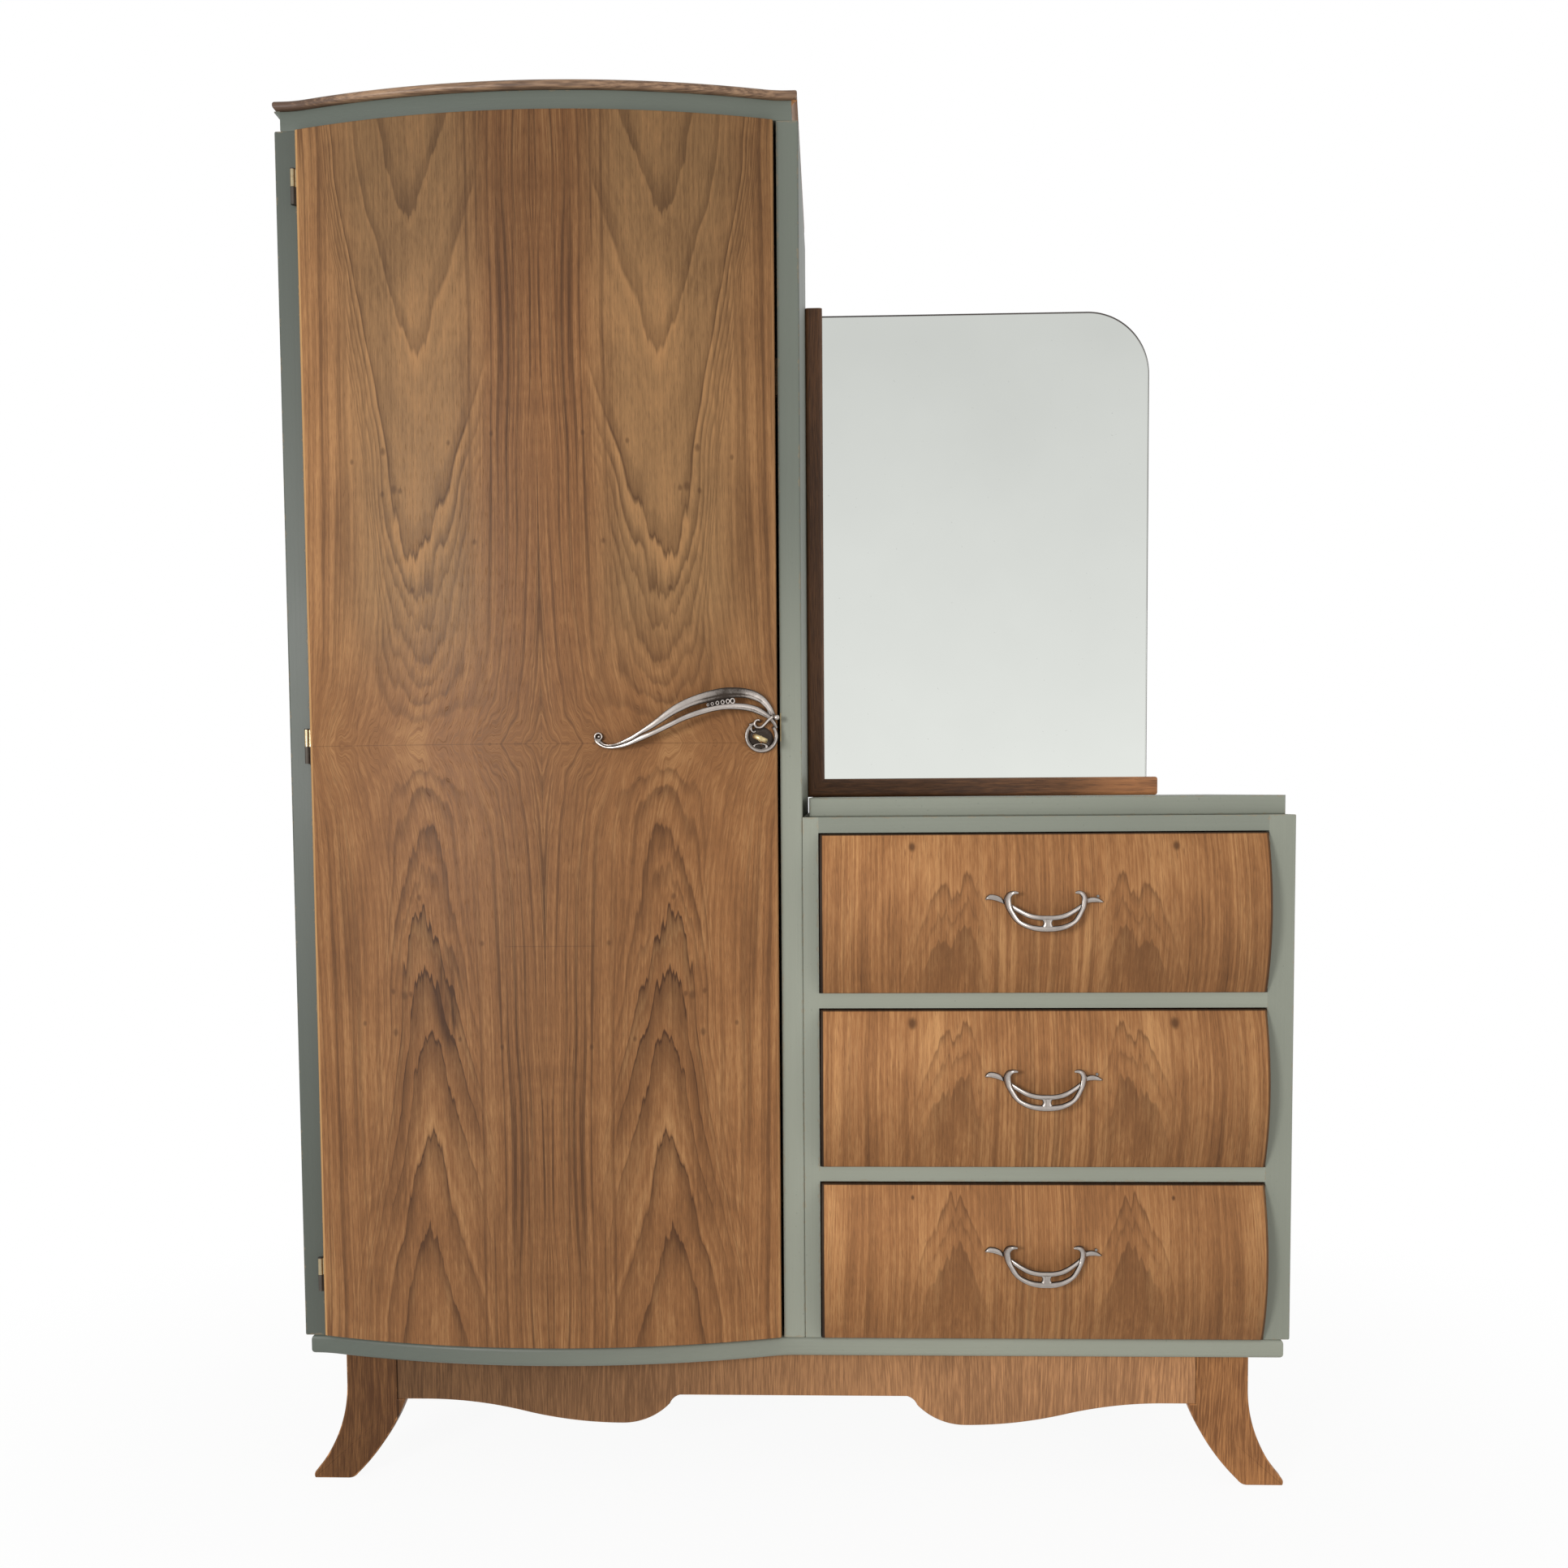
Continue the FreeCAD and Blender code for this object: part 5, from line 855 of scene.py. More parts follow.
def door_veneer(settings):
    """The door's veneer: four matched leaves with V figures, dark streaks at chosen levels, knots, joint
    lines and the pale lipping down both long edges. Painted light and shade lie over it: lighter on the
    upper left flank and the lower right, a little darker near the seam, and a painted shadow at the top."""
    made, net, shader = material("door veneer", Coat_Weight=0.0, Specular_IOR_Level=0.15)
    uv = net.place("UV")
    x, y, _ = net.parts(uv)
    teeth = net.between(y, -0.05, 0.05, 0.15, 0.11) * net.between(abs(y), 0.05, 0.2, 0.35, 1.0)
    figure = net.group(figure_level(), {
        "Vector": uv, "Axis": settings.axis, "Lower": 1.6, "Teeth": teeth, "Swirl": 0.04, "Flat": 0.12})
    level, folded, beside, hold, away = (figure[k] for k in ("Level", "Folded", "Side", "Hold", "Away"))
    upper = v_streaks(net, level, (0.028, 0.45, 0.012), (0.05, 0.5, 0.014), (0.074, 0.45, 0.014),
                      (0.1, 0.55, 0.022), (0.135, 0.6, 0.022), (0.166, 0.7, 0.024), (0.212, 1.0, 0.045),
                      (0.462, 0.55, 0.05), (0.641, 0.6, 0.05))
    lower = v_streaks(net, level, (0.03, 0.4, 0.012), (0.055, 0.5, 0.02), (0.1, 0.6, 0.03),
                      (0.14, 0.4, 0.02), (0.182, 1.0, 0.06), (0.25, 1.0, 0.08), (0.335, 0.85, 0.08),
                      (0.47, 0.95, 0.07), (0.6, 0.7, 0.06))
    high = net.between(y, -0.01, 0.01)
    streak = hold * (upper * high + lower * net.between(away, 0.015, 0.07, 1.35, 0.6) * (1.0 - high))
    off_x = (x + 0.12) * 46.0
    off_y = (y + 0.31) * 14.0
    core = off_x * off_x + off_y * off_y
    broken = net.between(net.drawn(folded, (110.0, 7.0, 1.0), 3.0, 0.6), 0.35, 0.62)
    streak = streak + net.between(core, 0.05, 1.2, 0.75, 0.0) * broken
    lift = hold * v_lifts(net, level, (0.096, 0.4), (0.166, 0.6), (0.212, 1.0), (0.462, 0.6), (0.641, 0.5))
    high = net.between(y, 0.02, 0.2)
    # The greyer upper tone is partly the wood's own and partly painted sheen.
    middle = net.blend((1.0 - beside) * high, settings.middle, settings.olive_and_sheen)
    finish = net.group(veneer_finish(), {"Folded": folded, "Level": level, "Side": beside,
                                         "Streak": streak, "Lift": lift, "Light": settings.light,
                                         "Middle": middle, "Dark": settings.dark})
    tint = finish["Color"]
    knots = [(0.191, 0.355, 0.0042), (0.178, 0.309, 0.0048), (0.170, 0.307, 0.0032), (0.193, 0.304, 0.0032),
             (0.232, 0.345, 0.003), (0.108, 0.362, 0.003), (0.155, 0.187, 0.0036), (0.077, 0.243, 0.003),
             (0.055, 0.371, 0.003)]
    dots = 0.0
    for a, b, radius in knots:
        mask = net.group(pin_knot(), {"Folded": folded, "Place": (a, b, 0.0), "Radius": radius * 1.2})
        dots = net.math("MAXIMUM", dots, mask["Mask"])
    tint = net.blend(dots * 0.5, tint, settings.dark)
    seams = net.between(net.math("MINIMUM", abs(x), abs(y)), 0.0, 0.0008, 1.0, 0.0)
    reach = net.between(abs(x - 0.008), 0.05, 0.06, 1.0, 0.0)
    low_joint = net.between(abs(y + 0.247), 0.0, 0.0009, 1.0, 0.0) * reach
    tint = net.blend(net.math("MAXIMUM", seams, low_joint) * 0.4, tint, settings.dark)
    # Painted light and shade: lighter on the upper left flank and the lower right, a little darker near
    # the seam, and a painted shadow at the top under the cap; the step at the seam is the leaves' own tone.
    painted_light_low_right = net.between(y, 0.1, -0.2) * net.between(x, 0.1, 0.27, 0.0, 0.2)
    painted_light_and_shade = high * net.between(x, -0.29, -0.19, 0.22, 0.0) + painted_light_low_right
    painted_light_and_shade = painted_light_and_shade - (net.between(abs(x), 0.04, 0.1, 0.06, 0.0) + net.between(y, 0.45, 0.72, 0.0, 0.27))
    side = painted_light_and_shade + (net.between(x, -0.0006, 0.0006) * 0.05 + 0.975)
    tint = net.scaled(tint, side)
    left_lip = net.between(x, -0.2955, -0.2953, 0.6, 0.0)
    right_lip = net.between(x, 0.2808, 0.281, 0.0, 0.12)
    tint = net.blend(net.math("MAXIMUM", left_lip, right_lip), tint, srgb(190, 148, 98))
    wire(net, shader, finish, tint)
    bumped(net, shader, finish["Height"], 0.00012)
    return made


def drawer_veneer(settings, name, leaf_number, drop):
    """A drawer front's veneer: two matched leaves with one peak in each, whose core is a dark column.
    Painted light makes it lighter to the left and at the top, and a painted shadow of the gaps makes its
    ends and its upper edge, which lies the drop below the leaf's own start, almost black."""
    made, net, shader = material(name, Coat_Weight=0.0, Specular_IOR_Level=0.15)
    uv = net.place("UV")
    x, y, _ = net.parts(uv)
    figure = net.group(figure_level(), {"Vector": uv, "Axis": settings.drawer_axis, "Slope": 0.35,
                                        "Curl": 24.0, "Outer Curl": 30.0, "Half": 0.05, "Flat": 1.0,
                                        "Leaf": leaf_number * 0.35, "Teeth": 0.2, "Tooth": 36.0,
                                        "Wander": 0.03, "Wave": 0.03})
    level, folded, beside, hold, away = (figure[k] for k in ("Level", "Folded", "Side", "Hold", "Away"))
    streak = v_streaks(net, level, (0.05, 0.62, 0.014), (0.08, 0.45, 0.014), (0.112, 0.55, 0.09))
    streak = streak * hold * net.between(away, 0.012, 0.055, 1.0, 0.3)
    finish = net.group(veneer_finish(), {
        "Folded": folded, "Level": level, "Side": beside, "Streak": streak,
        "Lift": v_lifts(net, level, (0.05, 0.3), (0.112, 0.2)), "Lines": 0.2,
        "Light": settings.light, "Middle": settings.middle, "Dark": settings.dark})
    knot = net.group(pin_knot(), {"Folded": folded, "Place": (0.162, drop + 0.016, 0.0),
                                  "Radius": (0.006, 0.0075, 0.003)[leaf_number - 1]})
    tint = net.blend(knot["Mask"] * 0.8, finish["Color"], settings.dark)
    seam = net.between(abs(x), 0.0, 0.0007, 0.3, 0.0)
    tint = net.blend(seam, tint, settings.dark)
    # Painted light: the front is lighter to the left and at the top, darker to the right and at the bottom;
    # the step at the seam is the leaves' own tone.
    side = (net.between(x, -0.0006, 0.0006) * 0.04 + 1.0) * net.between(x, -0.28, 0.28, 1.4, 1.16)
    side = side * net.between(y, drop + 0.03, drop + 0.19, 1.07, 0.84)
    tint = net.scaled(tint, side)
    # Painted shadow of the gaps: almost black along the upper edge and both ends.
    upper = net.between(y, drop + 0.0010, drop + 0.0024, 0.9, 0.0)
    left, right = net.between(x, -0.2736, -0.2722, 0.95, 0.0), net.between(x, 0.2726, 0.2738, 0.0, 0.7)
    painted_gap_shadow = net.math("MAXIMUM", upper, net.math("MAXIMUM", left, right))
    tint = net.blend(painted_gap_shadow, tint, srgb(22, 16, 12))
    wire(net, shader, finish, tint)
    bumped(net, shader, finish["Height"], 0.00012)
    return made


# Places shared by the pieces

DOOR_LOW, DOOR_HIGH = node_box("door_panel")
DOOR_MIDDLE = (DOOR_LOW[0] + DOOR_HIGH[0]) / 2
DOOR_CROWN, DOOR_BOW, DOOR_THICK = -0.2348364, 0.042, 0.022
DOOR_CROSS_JOINT = 0.9483
DOOR_HALF = (DOOR_HIGH[0] - DOOR_LOW[0]) / 2 + 0.003
DOOR_RADIUS = arc_radius(DOOR_HALF, DOOR_BOW)
KEY_X, KEY_Z = -0.033, 0.953
FACE = -0.1828364
FOOT_JOINTS = ((-0.513, 0.9), (0.513, 0.35))


def door_face(x, z=0.0):
    """Face of the bowed door, the same at every z: crown + R - sqrt(R^2 - (x - middle)^2)."""
    away = np.clip(np.abs(x - DOOR_MIDDLE), 0, DOOR_RADIUS * 0.9)
    return DOOR_CROWN + DOOR_RADIUS - np.sqrt(DOOR_RADIUS**2 - away**2)


def drawer_face(number):
    """Face of a drawer front, bowed up and down: crown + R - sqrt(R^2 - (z - middle)^2), as a function of
    x and z."""
    low, high = node_box("drawer_%d_front" % number)
    middle, half, rise = (low[2] + high[2]) / 2, (high[2] - low[2]) / 2, 0.022
    radius = arc_radius(half, rise)
    return lambda x, z: low[1] + radius - np.sqrt(radius**2 - np.clip(np.abs(z - middle), 0, half) ** 2)


def bow_line(x, crown=0.0):
    """Front edge of the bowed boards: the straight front, or the arc over the door where that stands out
    further. The two meet in a blend: the larger, plus h^2 k / 4 with h = max(0, 1 - |difference| / k)."""
    half, rise, k = 0.294, 0.042, 0.0044
    radius = arc_radius(half, rise)
    arc = np.sqrt(radius**2 - np.clip(np.abs(x + 0.304), 0, radius * 0.9) ** 2) - (radius - rise)
    h = np.clip(1 - np.abs(arc) / k, 0, None)
    return FACE - crown - (np.maximum(arc, 0) + h * h * k / 4)


def board_outline(left, right, back, front, count=190):
    """Plan of a board with a shaped front, counter-clockwise from its front left corner."""
    x = np.linspace(left, right, count)
    return np.vstack([np.stack([x, front(x)], -1), [[right, back], [left, back]]])


# Operators, one for each piece or group of like pieces


class WARDROBE_OT_door_leaf(bpy.types.Operator):
    """Bowed leaf with its veneer: face on an arc, back 22 mm behind it, eased edges."""

    bl_idname = "wardrobe.door_leaf"
    bl_label = "Door leaf"

    def execute(self, context):
        veneer = context.scene.wardrobe_veneer
        low, high = node_box("door_lippings")
        shell = Shell()

        def matched(places):
            """Places of the veneer, counted from the crossing of its seams."""
            return np.stack([places[:, 0] - veneer.seam_x, places[:, 2] - DOOR_CROSS_JOINT], -1)

        leaf(shell, low, high, door_face, lambda x, z: door_face(x) + DOOR_THICK, veneer.arris, (96, 60),
             matched)
        shell.piece("door_leaf", door_veneer(veneer), "door", "walnut_veneer",
                    ["door_panel", "door_lippings"])
        return {"FINISHED"}


class WARDROBE_OT_drawer_fronts(bpy.types.Operator):
    """Three swelled fronts with flat backs, each veneered with the same figure a little higher or lower."""

    bl_idname = "wardrobe.drawer_fronts"
    bl_label = "Drawer fronts"

    def execute(self, context):
        veneer = context.scene.wardrobe_veneer
        for count, drop in ((1, 0.0), (2, 0.024), (3, 0.022)):
            node = "drawer_%d_front" % count
            low, high = node_box(node)
            middle = (low[0] + high[0]) / 2
            shell = Shell()

            def matched(places):
                """Places of the veneer, counted from its seam and down from the start of the leaf."""
                return np.stack([places[:, 0] - middle, high[2] - places[:, 2] + drop], -1)

            leaf(shell, low, high, drawer_face(count), lambda x, z: np.full_like(x, high[1]), veneer.arris,
                 (40, 56), matched)
            finish = drawer_veneer(veneer, "drawer %d veneer" % count, count, drop)
            shell.piece("drawer_%d_veneer" % count, finish, "drawer_%d" % count, "walnut_veneer", [node])
        return {"FINISHED"}


# Edge lines of the door handle, as shares of its width and height from its lower left corner.
SWEEP_TOP = [(0.044, 0.172), (0.063, 0.125), (0.086, 0.111), (0.132, 0.135), (0.178, 0.198),
             (0.224, 0.266), (0.27, 0.351), (0.315, 0.44), (0.36, 0.536), (0.404, 0.638), (0.449, 0.728),
             (0.493, 0.799), (0.537, 0.858), (0.581, 0.908), (0.625, 0.95), (0.668, 0.984),
             (0.712, 1.012), (0.756, 1.022), (0.799, 1.022), (0.843, 1.008), (0.886, 0.975),
             (0.93, 0.903), (0.952, 0.839), (0.974, 0.749), (0.989, 0.657), (0.998, 0.585)]
SWEEP_LOW = [(0.001, 0.251), (0.007, 0.16), (0.03, 0.094), (0.062, 0.054), (0.095, 0.042), (0.132, 0.048),
             (0.178, 0.072), (0.223, 0.119), (0.269, 0.172), (0.314, 0.226), (0.359, 0.283), (0.403, 0.345),
             (0.448, 0.407), (0.492, 0.469), (0.536, 0.519), (0.58, 0.563), (0.624, 0.603), (0.667, 0.637),
             (0.711, 0.66), (0.755, 0.67), (0.798, 0.667), (0.842, 0.651), (0.885, 0.618), (0.929, 0.566),
             (0.955, 0.529), (0.973, 0.478), (0.986, 0.42), (0.993, 0.36)]
SLOT_TOP = [(0.024, 0.21), (0.036, 0.14), (0.06, 0.094), (0.09, 0.079), (0.132, 0.092), (0.178, 0.136),
            (0.224, 0.194), (0.265, 0.267), (0.314, 0.333), (0.359, 0.413), (0.404, 0.496),
            (0.448, 0.577), (0.493, 0.644), (0.537, 0.702), (0.58, 0.742), (0.624, 0.772), (0.698, 0.826),
            (0.773, 0.856), (0.799, 0.86), (0.842, 0.854), (0.886, 0.82), (0.912, 0.783), (0.938, 0.716),
            (0.955, 0.65), (0.962, 0.58)]
SLOT_LOW = [(0.024, 0.21), (0.036, 0.14), (0.06, 0.092), (0.09, 0.077), (0.132, 0.09), (0.178, 0.132),
            (0.224, 0.19), (0.265, 0.256), (0.314, 0.31), (0.359, 0.368), (0.404, 0.431), (0.448, 0.492),
            (0.492, 0.557), (0.536, 0.611), (0.58, 0.657), (0.624, 0.696), (0.698, 0.742), (0.772, 0.768),
            (0.798, 0.771), (0.842, 0.763), (0.886, 0.736), (0.912, 0.709), (0.938, 0.66), (0.962, 0.606),
            (0.983, 0.545), (1.0, 0.47), (1.01, 0.39)]
# Centre lines of the handle's tendril and hook, in millimetres of the frame.
TENDRIL = [(-16.5, 981.0), (-20.6, 978.6), (-24.4, 975.2), (-28.2, 970.9), (-32.4, 967.3), (-37.4, 967.0),
           (-40.4, 970.6), (-39.2, 974.8), (-35.6, 976.2), (-33.2, 973.6)]
HOOK = [(-46.5, 972.4), (-44.6, 968.4), (-44.6, 963.8), (-41.2, 961.2), (-38.6, 963.8)]


class WARDROBE_OT_door_handle(bpy.types.Operator):
    """Cast handle: two bands that part round two slots, a bridge of small curls, a scroll and a ring
    round the key. The sweep's back follows an arc of 238.5 mm in plan, or the door where that stands
    further out."""

    bl_idname = "wardrobe.door_handle"
    bl_label = "Door handle"

    def execute(self, context):
        metal = context.scene.wardrobe_metal
        left, low, wide, tall = -0.234062, 0.938, 0.2195, 0.075
        arc_x, arc_y, arc_size = -0.1607528, 0.0036461, 0.2385175
        upper_height, lower_height, shade_plate_height = 0.0049, 0.0046, 0.0018
        curl_height, ring_height = 0.0042, 0.0056
        shell = Shell()

        def arch(x, z):
            away = np.clip(x - arc_x, -0.23, 0.23)
            return -np.maximum(arc_y + np.sqrt(arc_size**2 - away**2), -door_face(x))

        def edge(shares, count=110):
            return even_path(np.array(shares) * (wide, tall) + (left, low), count)

        top, low_edge = edge(SWEEP_TOP), edge(SWEEP_LOW)
        slot_top, slot_low = edge(SLOT_TOP), edge(SLOT_LOW)
        run = np.linspace(0, 1, len(top))
        at_bridge = 0.55 * np.exp(-(((run - 0.72) / 0.12) ** 2))
        at_scroll = 0.25 * np.exp(-(((run - 0.1) / 0.06) ** 2))
        band(shell, slot_top, top, upper_height, arch, dull=0.2 + at_bridge + at_scroll)
        band(shell, low_edge, slot_low, lower_height, arch, dull=0.1 + 0.4 * run**3)
        # A thin dark plate behind the bridge's curls stands in for the shade in its openings: painted
        # shade.
        shade_plate_high = edge([(0.63, 0.79), (0.7, 0.832), (0.772, 0.864)], 12)
        shade_plate_low = edge([(0.63, 0.685), (0.7, 0.722), (0.772, 0.745)], 12)
        dark = dome_section()
        dark[:, 2] = -0.2
        band(shell, shade_plate_low, shade_plate_high, shade_plate_height, arch, section=dark, ends=False)
        flat_curl = rays(whole_turn(28)) * (0.82, 1.0)
        for x, z, size in ((0.634, 0.736, 0.0019), (0.658, 0.752, 0.0023), (0.685, 0.768, 0.0027),
                           (0.713, 0.784, 0.003), (0.741, 0.797, 0.0032), (0.766, 0.805, 0.0038)):
            middle = np.array([left + x * wide, low + z * tall])
            inner, outer = middle + flat_curl * size * 0.42, middle + flat_curl * size * 1.08
            band(shell, inner, outer, curl_height, arch, closed=True)
        steps = 70
        ray = rays(np.linspace(1.22 * np.pi, -0.75 * np.pi, steps))
        spiral = np.linspace(0.0062, 0.0043, steps)
        wall = np.linspace(0.0027, 0.0019, steps)
        middle = np.array([-0.22775, 0.9560])
        band(shell, middle + ray * (spiral - wall)[:, None], middle + ray * spiral[:, None],
             np.linspace(0.0052, 0.0062, steps), door_face)
        bead(shell, middle[0], middle[1], float(door_face(middle[0])) - 0.0022, (0.0021, 0.0024, 0.0021))
        middle, radius, steps = np.array([-0.0323, 0.9562]), 0.0202, 96
        ray = rays(np.linspace(0.23 * np.pi, -1.37 * np.pi, steps))
        wall = np.interp(np.linspace(0, 1, steps), [0, 0.3, 0.6, 1], [0.0040, 0.0050, 0.0051, 0.0042])
        band(shell, middle + ray * (radius - wall)[:, None], middle + ray * radius, ring_height,
             door_face, dull=0.35)
        steps = 48
        for path, widths, height in ((TENDRIL, (0.0044, 0.0030), 0.0072), (HOOK, (0.0034, 0.0024), 0.0046)):
            one, other = ribbon(even_path(np.array(path) * MM, steps), np.linspace(*widths, steps))
            band(shell, one, other, height, door_face)
        oval = rays(whole_turn(steps)) * (0.0098, 0.0042)
        middle = np.array([-0.0338, 0.9437])
        band(shell, middle + oval * 0.62, middle + oval, curl_height, door_face, closed=True)
        bead(shell, -0.0136, 0.9793, float(door_face(-0.0136)) - 0.0046, (0.0036, 0.0034, 0.0036))
        shell.piece("handle_casting", metal_material("aged nickel", metal.nickel, metal.tarnish), "door",
                    "aged_nickel", ["door_handle"])
        return {"FINISHED"}


class WARDROBE_OT_keyhole(bpy.types.Operator):
    """Round keyhole plate that follows the door, with a keyhole cut through it: a band between the hole's
    outline and the round edge, both read at the same angle."""

    bl_idname = "wardrobe.keyhole_plate"
    bl_label = "Keyhole plate"

    def execute(self, context):
        metal = context.scene.wardrobe_metal
        shell = Shell()
        turn = whole_turn(80)
        ray = rays(turn)
        from_foot = np.mod(turn - 1.5 * np.pi + np.pi, 2 * np.pi) - np.pi
        slot = 0.0034 + 0.0052 * np.exp(-((from_foot / 0.22) ** 2))
        middle, radius, height = np.array([KEY_X, KEY_Z]), 0.0149, 0.0014
        band(shell, middle + ray * slot[:, None], middle + ray * radius, height, door_face,
             section=dome_section(13, 0.6), closed=True)
        finish = metal_material("keyhole nickel", metal.nickel, metal.tarnish, film=0.95)
        shell.piece("keyhole_disc", finish, "door", "aged_nickel", ["keyhole_plate"])
        return {"FINISHED"}


class WARDROBE_OT_key(bpy.types.Operator):
    """Key with an oval bow tilted 24 degrees, a turned shank with collars and a flat bit."""

    bl_idname = "wardrobe.key"
    bl_label = "Key"

    def execute(self, context):
        metal = context.scene.wardrobe_metal
        low, high = node_box("key")
        tilt = math.radians(24)
        side = np.array([math.cos(tilt), 0.0, -math.sin(tilt)])
        face = np.array([math.sin(tilt), 0.0, math.cos(tilt)])
        ahead = np.array([0.0, -1.0, 0.0])
        middle = np.array([KEY_X, low[1] + 0.0089, KEY_Z])
        turn = whole_turn(56)[:, None]
        ring = middle + 0.0078 * np.cos(turn) * side + 0.0070 * np.sin(turn) * ahead
        out = np.cos(turn) * side + np.sin(turn) * ahead
        section = rays(whole_turn(14)) * (0.0019, 0.0031)
        shell = Shell()
        carried(shell, ring, out, np.broadcast_to(face, out.shape), section, closed=True)
        start = low[1] + 0.0155
        # Radius of the shank and distance from its start.
        shank = [(0.0001, 0.0), (0.0024, 0.0003), (0.0036, 0.0012), (0.0036, 0.0024), (0.0026, 0.0032),
                 (0.0024, 0.0040), (0.0031, 0.0048), (0.0031, 0.0058), (0.0022, 0.0066), (0.0022, 0.0300),
                 (0.0029, 0.0306), (0.0029, high[1] - start - 0.0004), (0.0024, high[1] - start),
                 (0.0001, high[1] - start)]
        turned(shell, (KEY_X, start, KEY_Z), (0, 1, 0), shank, 28)
        wing = np.array([(-0.0030, 0.0010), (-0.0090, 0.0010), (-0.0090, -0.0010), (-0.0030, -0.0010)])
        plate(shell, wing + (KEY_X, KEY_Z), high[1] - 0.0052, high[1] - 0.0006, 0.0002, standing)
        finish = metal_material("key brass", metal.brass, metal.brass_dull, 0.55, 0.2)
        shell.piece("key_brass", finish, "key", "brass", ["key"], sharp=50.0)
        return {"FINISHED"}


# Edge lines of a pull's left half, as shares of its width from the middle and of its height.
PULL_OUTER = [(0.0, 0.0), (-0.056, 0.004), (-0.123, 0.033), (-0.189, 0.098), (-0.244, 0.196),
              (-0.278, 0.295), (-0.305, 0.426), (-0.33, 0.556), (-0.342, 0.688), (-0.342, 0.802),
              (-0.322, 0.917), (-0.289, 0.974), (-0.256, 0.982), (-0.232, 0.955)]
PULL_INNER = [(0.0, 0.136), (-0.056, 0.139), (-0.123, 0.163), (-0.189, 0.23), (-0.222, 0.295),
              (-0.25, 0.409), (-0.276, 0.54), (-0.286, 0.639), (-0.291, 0.737), (-0.289, 0.819),
              (-0.272, 0.884), (-0.252, 0.905), (-0.236, 0.91)]
ARC_HIGH = [(0.0, 0.393), (-0.056, 0.395), (-0.123, 0.426), (-0.189, 0.501), (-0.244, 0.589),
            (-0.285, 0.66)]
ARC_LOW = [(0.0, 0.279), (-0.056, 0.279), (-0.123, 0.305), (-0.167, 0.344), (-0.211, 0.409), (-0.262, 0.49)]
# Upper and lower edges of the wings: 1 on the left, and -1, which is mirrored, on the right.
WINGS = {
    1: ([(-0.33, 0.73), (-0.35, 0.762), (-0.372, 0.822), (-0.41, 0.87), (-0.455, 0.884), (-0.48, 0.845),
         (-0.497, 0.78)],
        [(-0.33, 0.64), (-0.347, 0.658), (-0.372, 0.69), (-0.41, 0.73), (-0.45, 0.756), (-0.476, 0.758),
         (-0.492, 0.75)]),
    -1: ([(-0.31, 0.72), (-0.325, 0.747), (-0.355, 0.79), (-0.395, 0.808), (-0.435, 0.78), (-0.46, 0.735),
          (-0.48, 0.69)],
         [(-0.312, 0.625), (-0.329, 0.648), (-0.362, 0.676), (-0.408, 0.686), (-0.44, 0.68), (-0.46, 0.675),
          (-0.474, 0.672)]),
}


class WARDROBE_OT_drawer_pulls(bpy.types.Operator):
    """Cast drawer pulls: a low swag that curls up into two hooks, an upper arc, a waisted bridge and two
    wings. The bail's back follows an arc of 84.2 mm in plan, or the drawer face where that stands further
    out."""

    bl_idname = "wardrobe.drawer_pulls"
    bl_label = "Drawer pulls"

    def execute(self, context):
        metal = context.scene.wardrobe_metal
        finish = metal_material("pull nickel", tuple(0.84 * c for c in metal.nickel), metal.tarnish,
                                film=0.38)
        for count in (1, 2, 3):
            front_low, front_high = node_box("drawer_%d_front" % count)
            middle = (front_low[0] + front_high[0]) / 2
            face = drawer_face(count)
            wide, tall, base = 0.148, 0.050, node_box("drawer_%d_pull" % count)[0][2]
            arc_y, arc_size = 0.1436323, 0.0842042
            swag_height, arc_height, bridge_height = 0.0054, 0.0042, 0.0046

            def bail(x, z):
                away = np.clip(x - middle, -0.08, 0.08)
                return -np.maximum(arc_y + np.sqrt(arc_size**2 - away**2), -face(x, z))

            def set_out(shares):
                return shares * (wide, tall) + (middle, base)

            def both(shares, points):
                half_way = even_path(np.array(shares), points)
                return set_out(np.vstack([half_way[::-1], half_way[1:] * (-1, 1)]))

            shell = Shell()
            band(shell, both(PULL_OUTER, 64), both(PULL_INNER, 64), swag_height, bail)
            band(shell, both(ARC_LOW, 24), both(ARC_HIGH, 24), arc_height, bail, ends=False)
            for side, lines in WINGS.items():
                high_edge, low_edge = (set_out(even_path(np.array(line), 24) * (side, 1)) for line in lines)
                band(shell, low_edge, high_edge, arc_height, face)
            rise = np.linspace(0.12, 0.30, 12)
            hollow = 0.034 + 0.016 * (2 * np.linspace(0, 1, 12) - 1) ** 2
            one, other = (set_out(np.stack([side * hollow, rise], -1)) for side in (-1, 1))
            band(shell, one, other, bridge_height, bail, ends=False)
            shell.piece("drawer_%d_casting" % count, finish, "drawer_%d" % count, "aged_nickel",
                        ["drawer_%d_pull" % count])
        return {"FINISHED"}


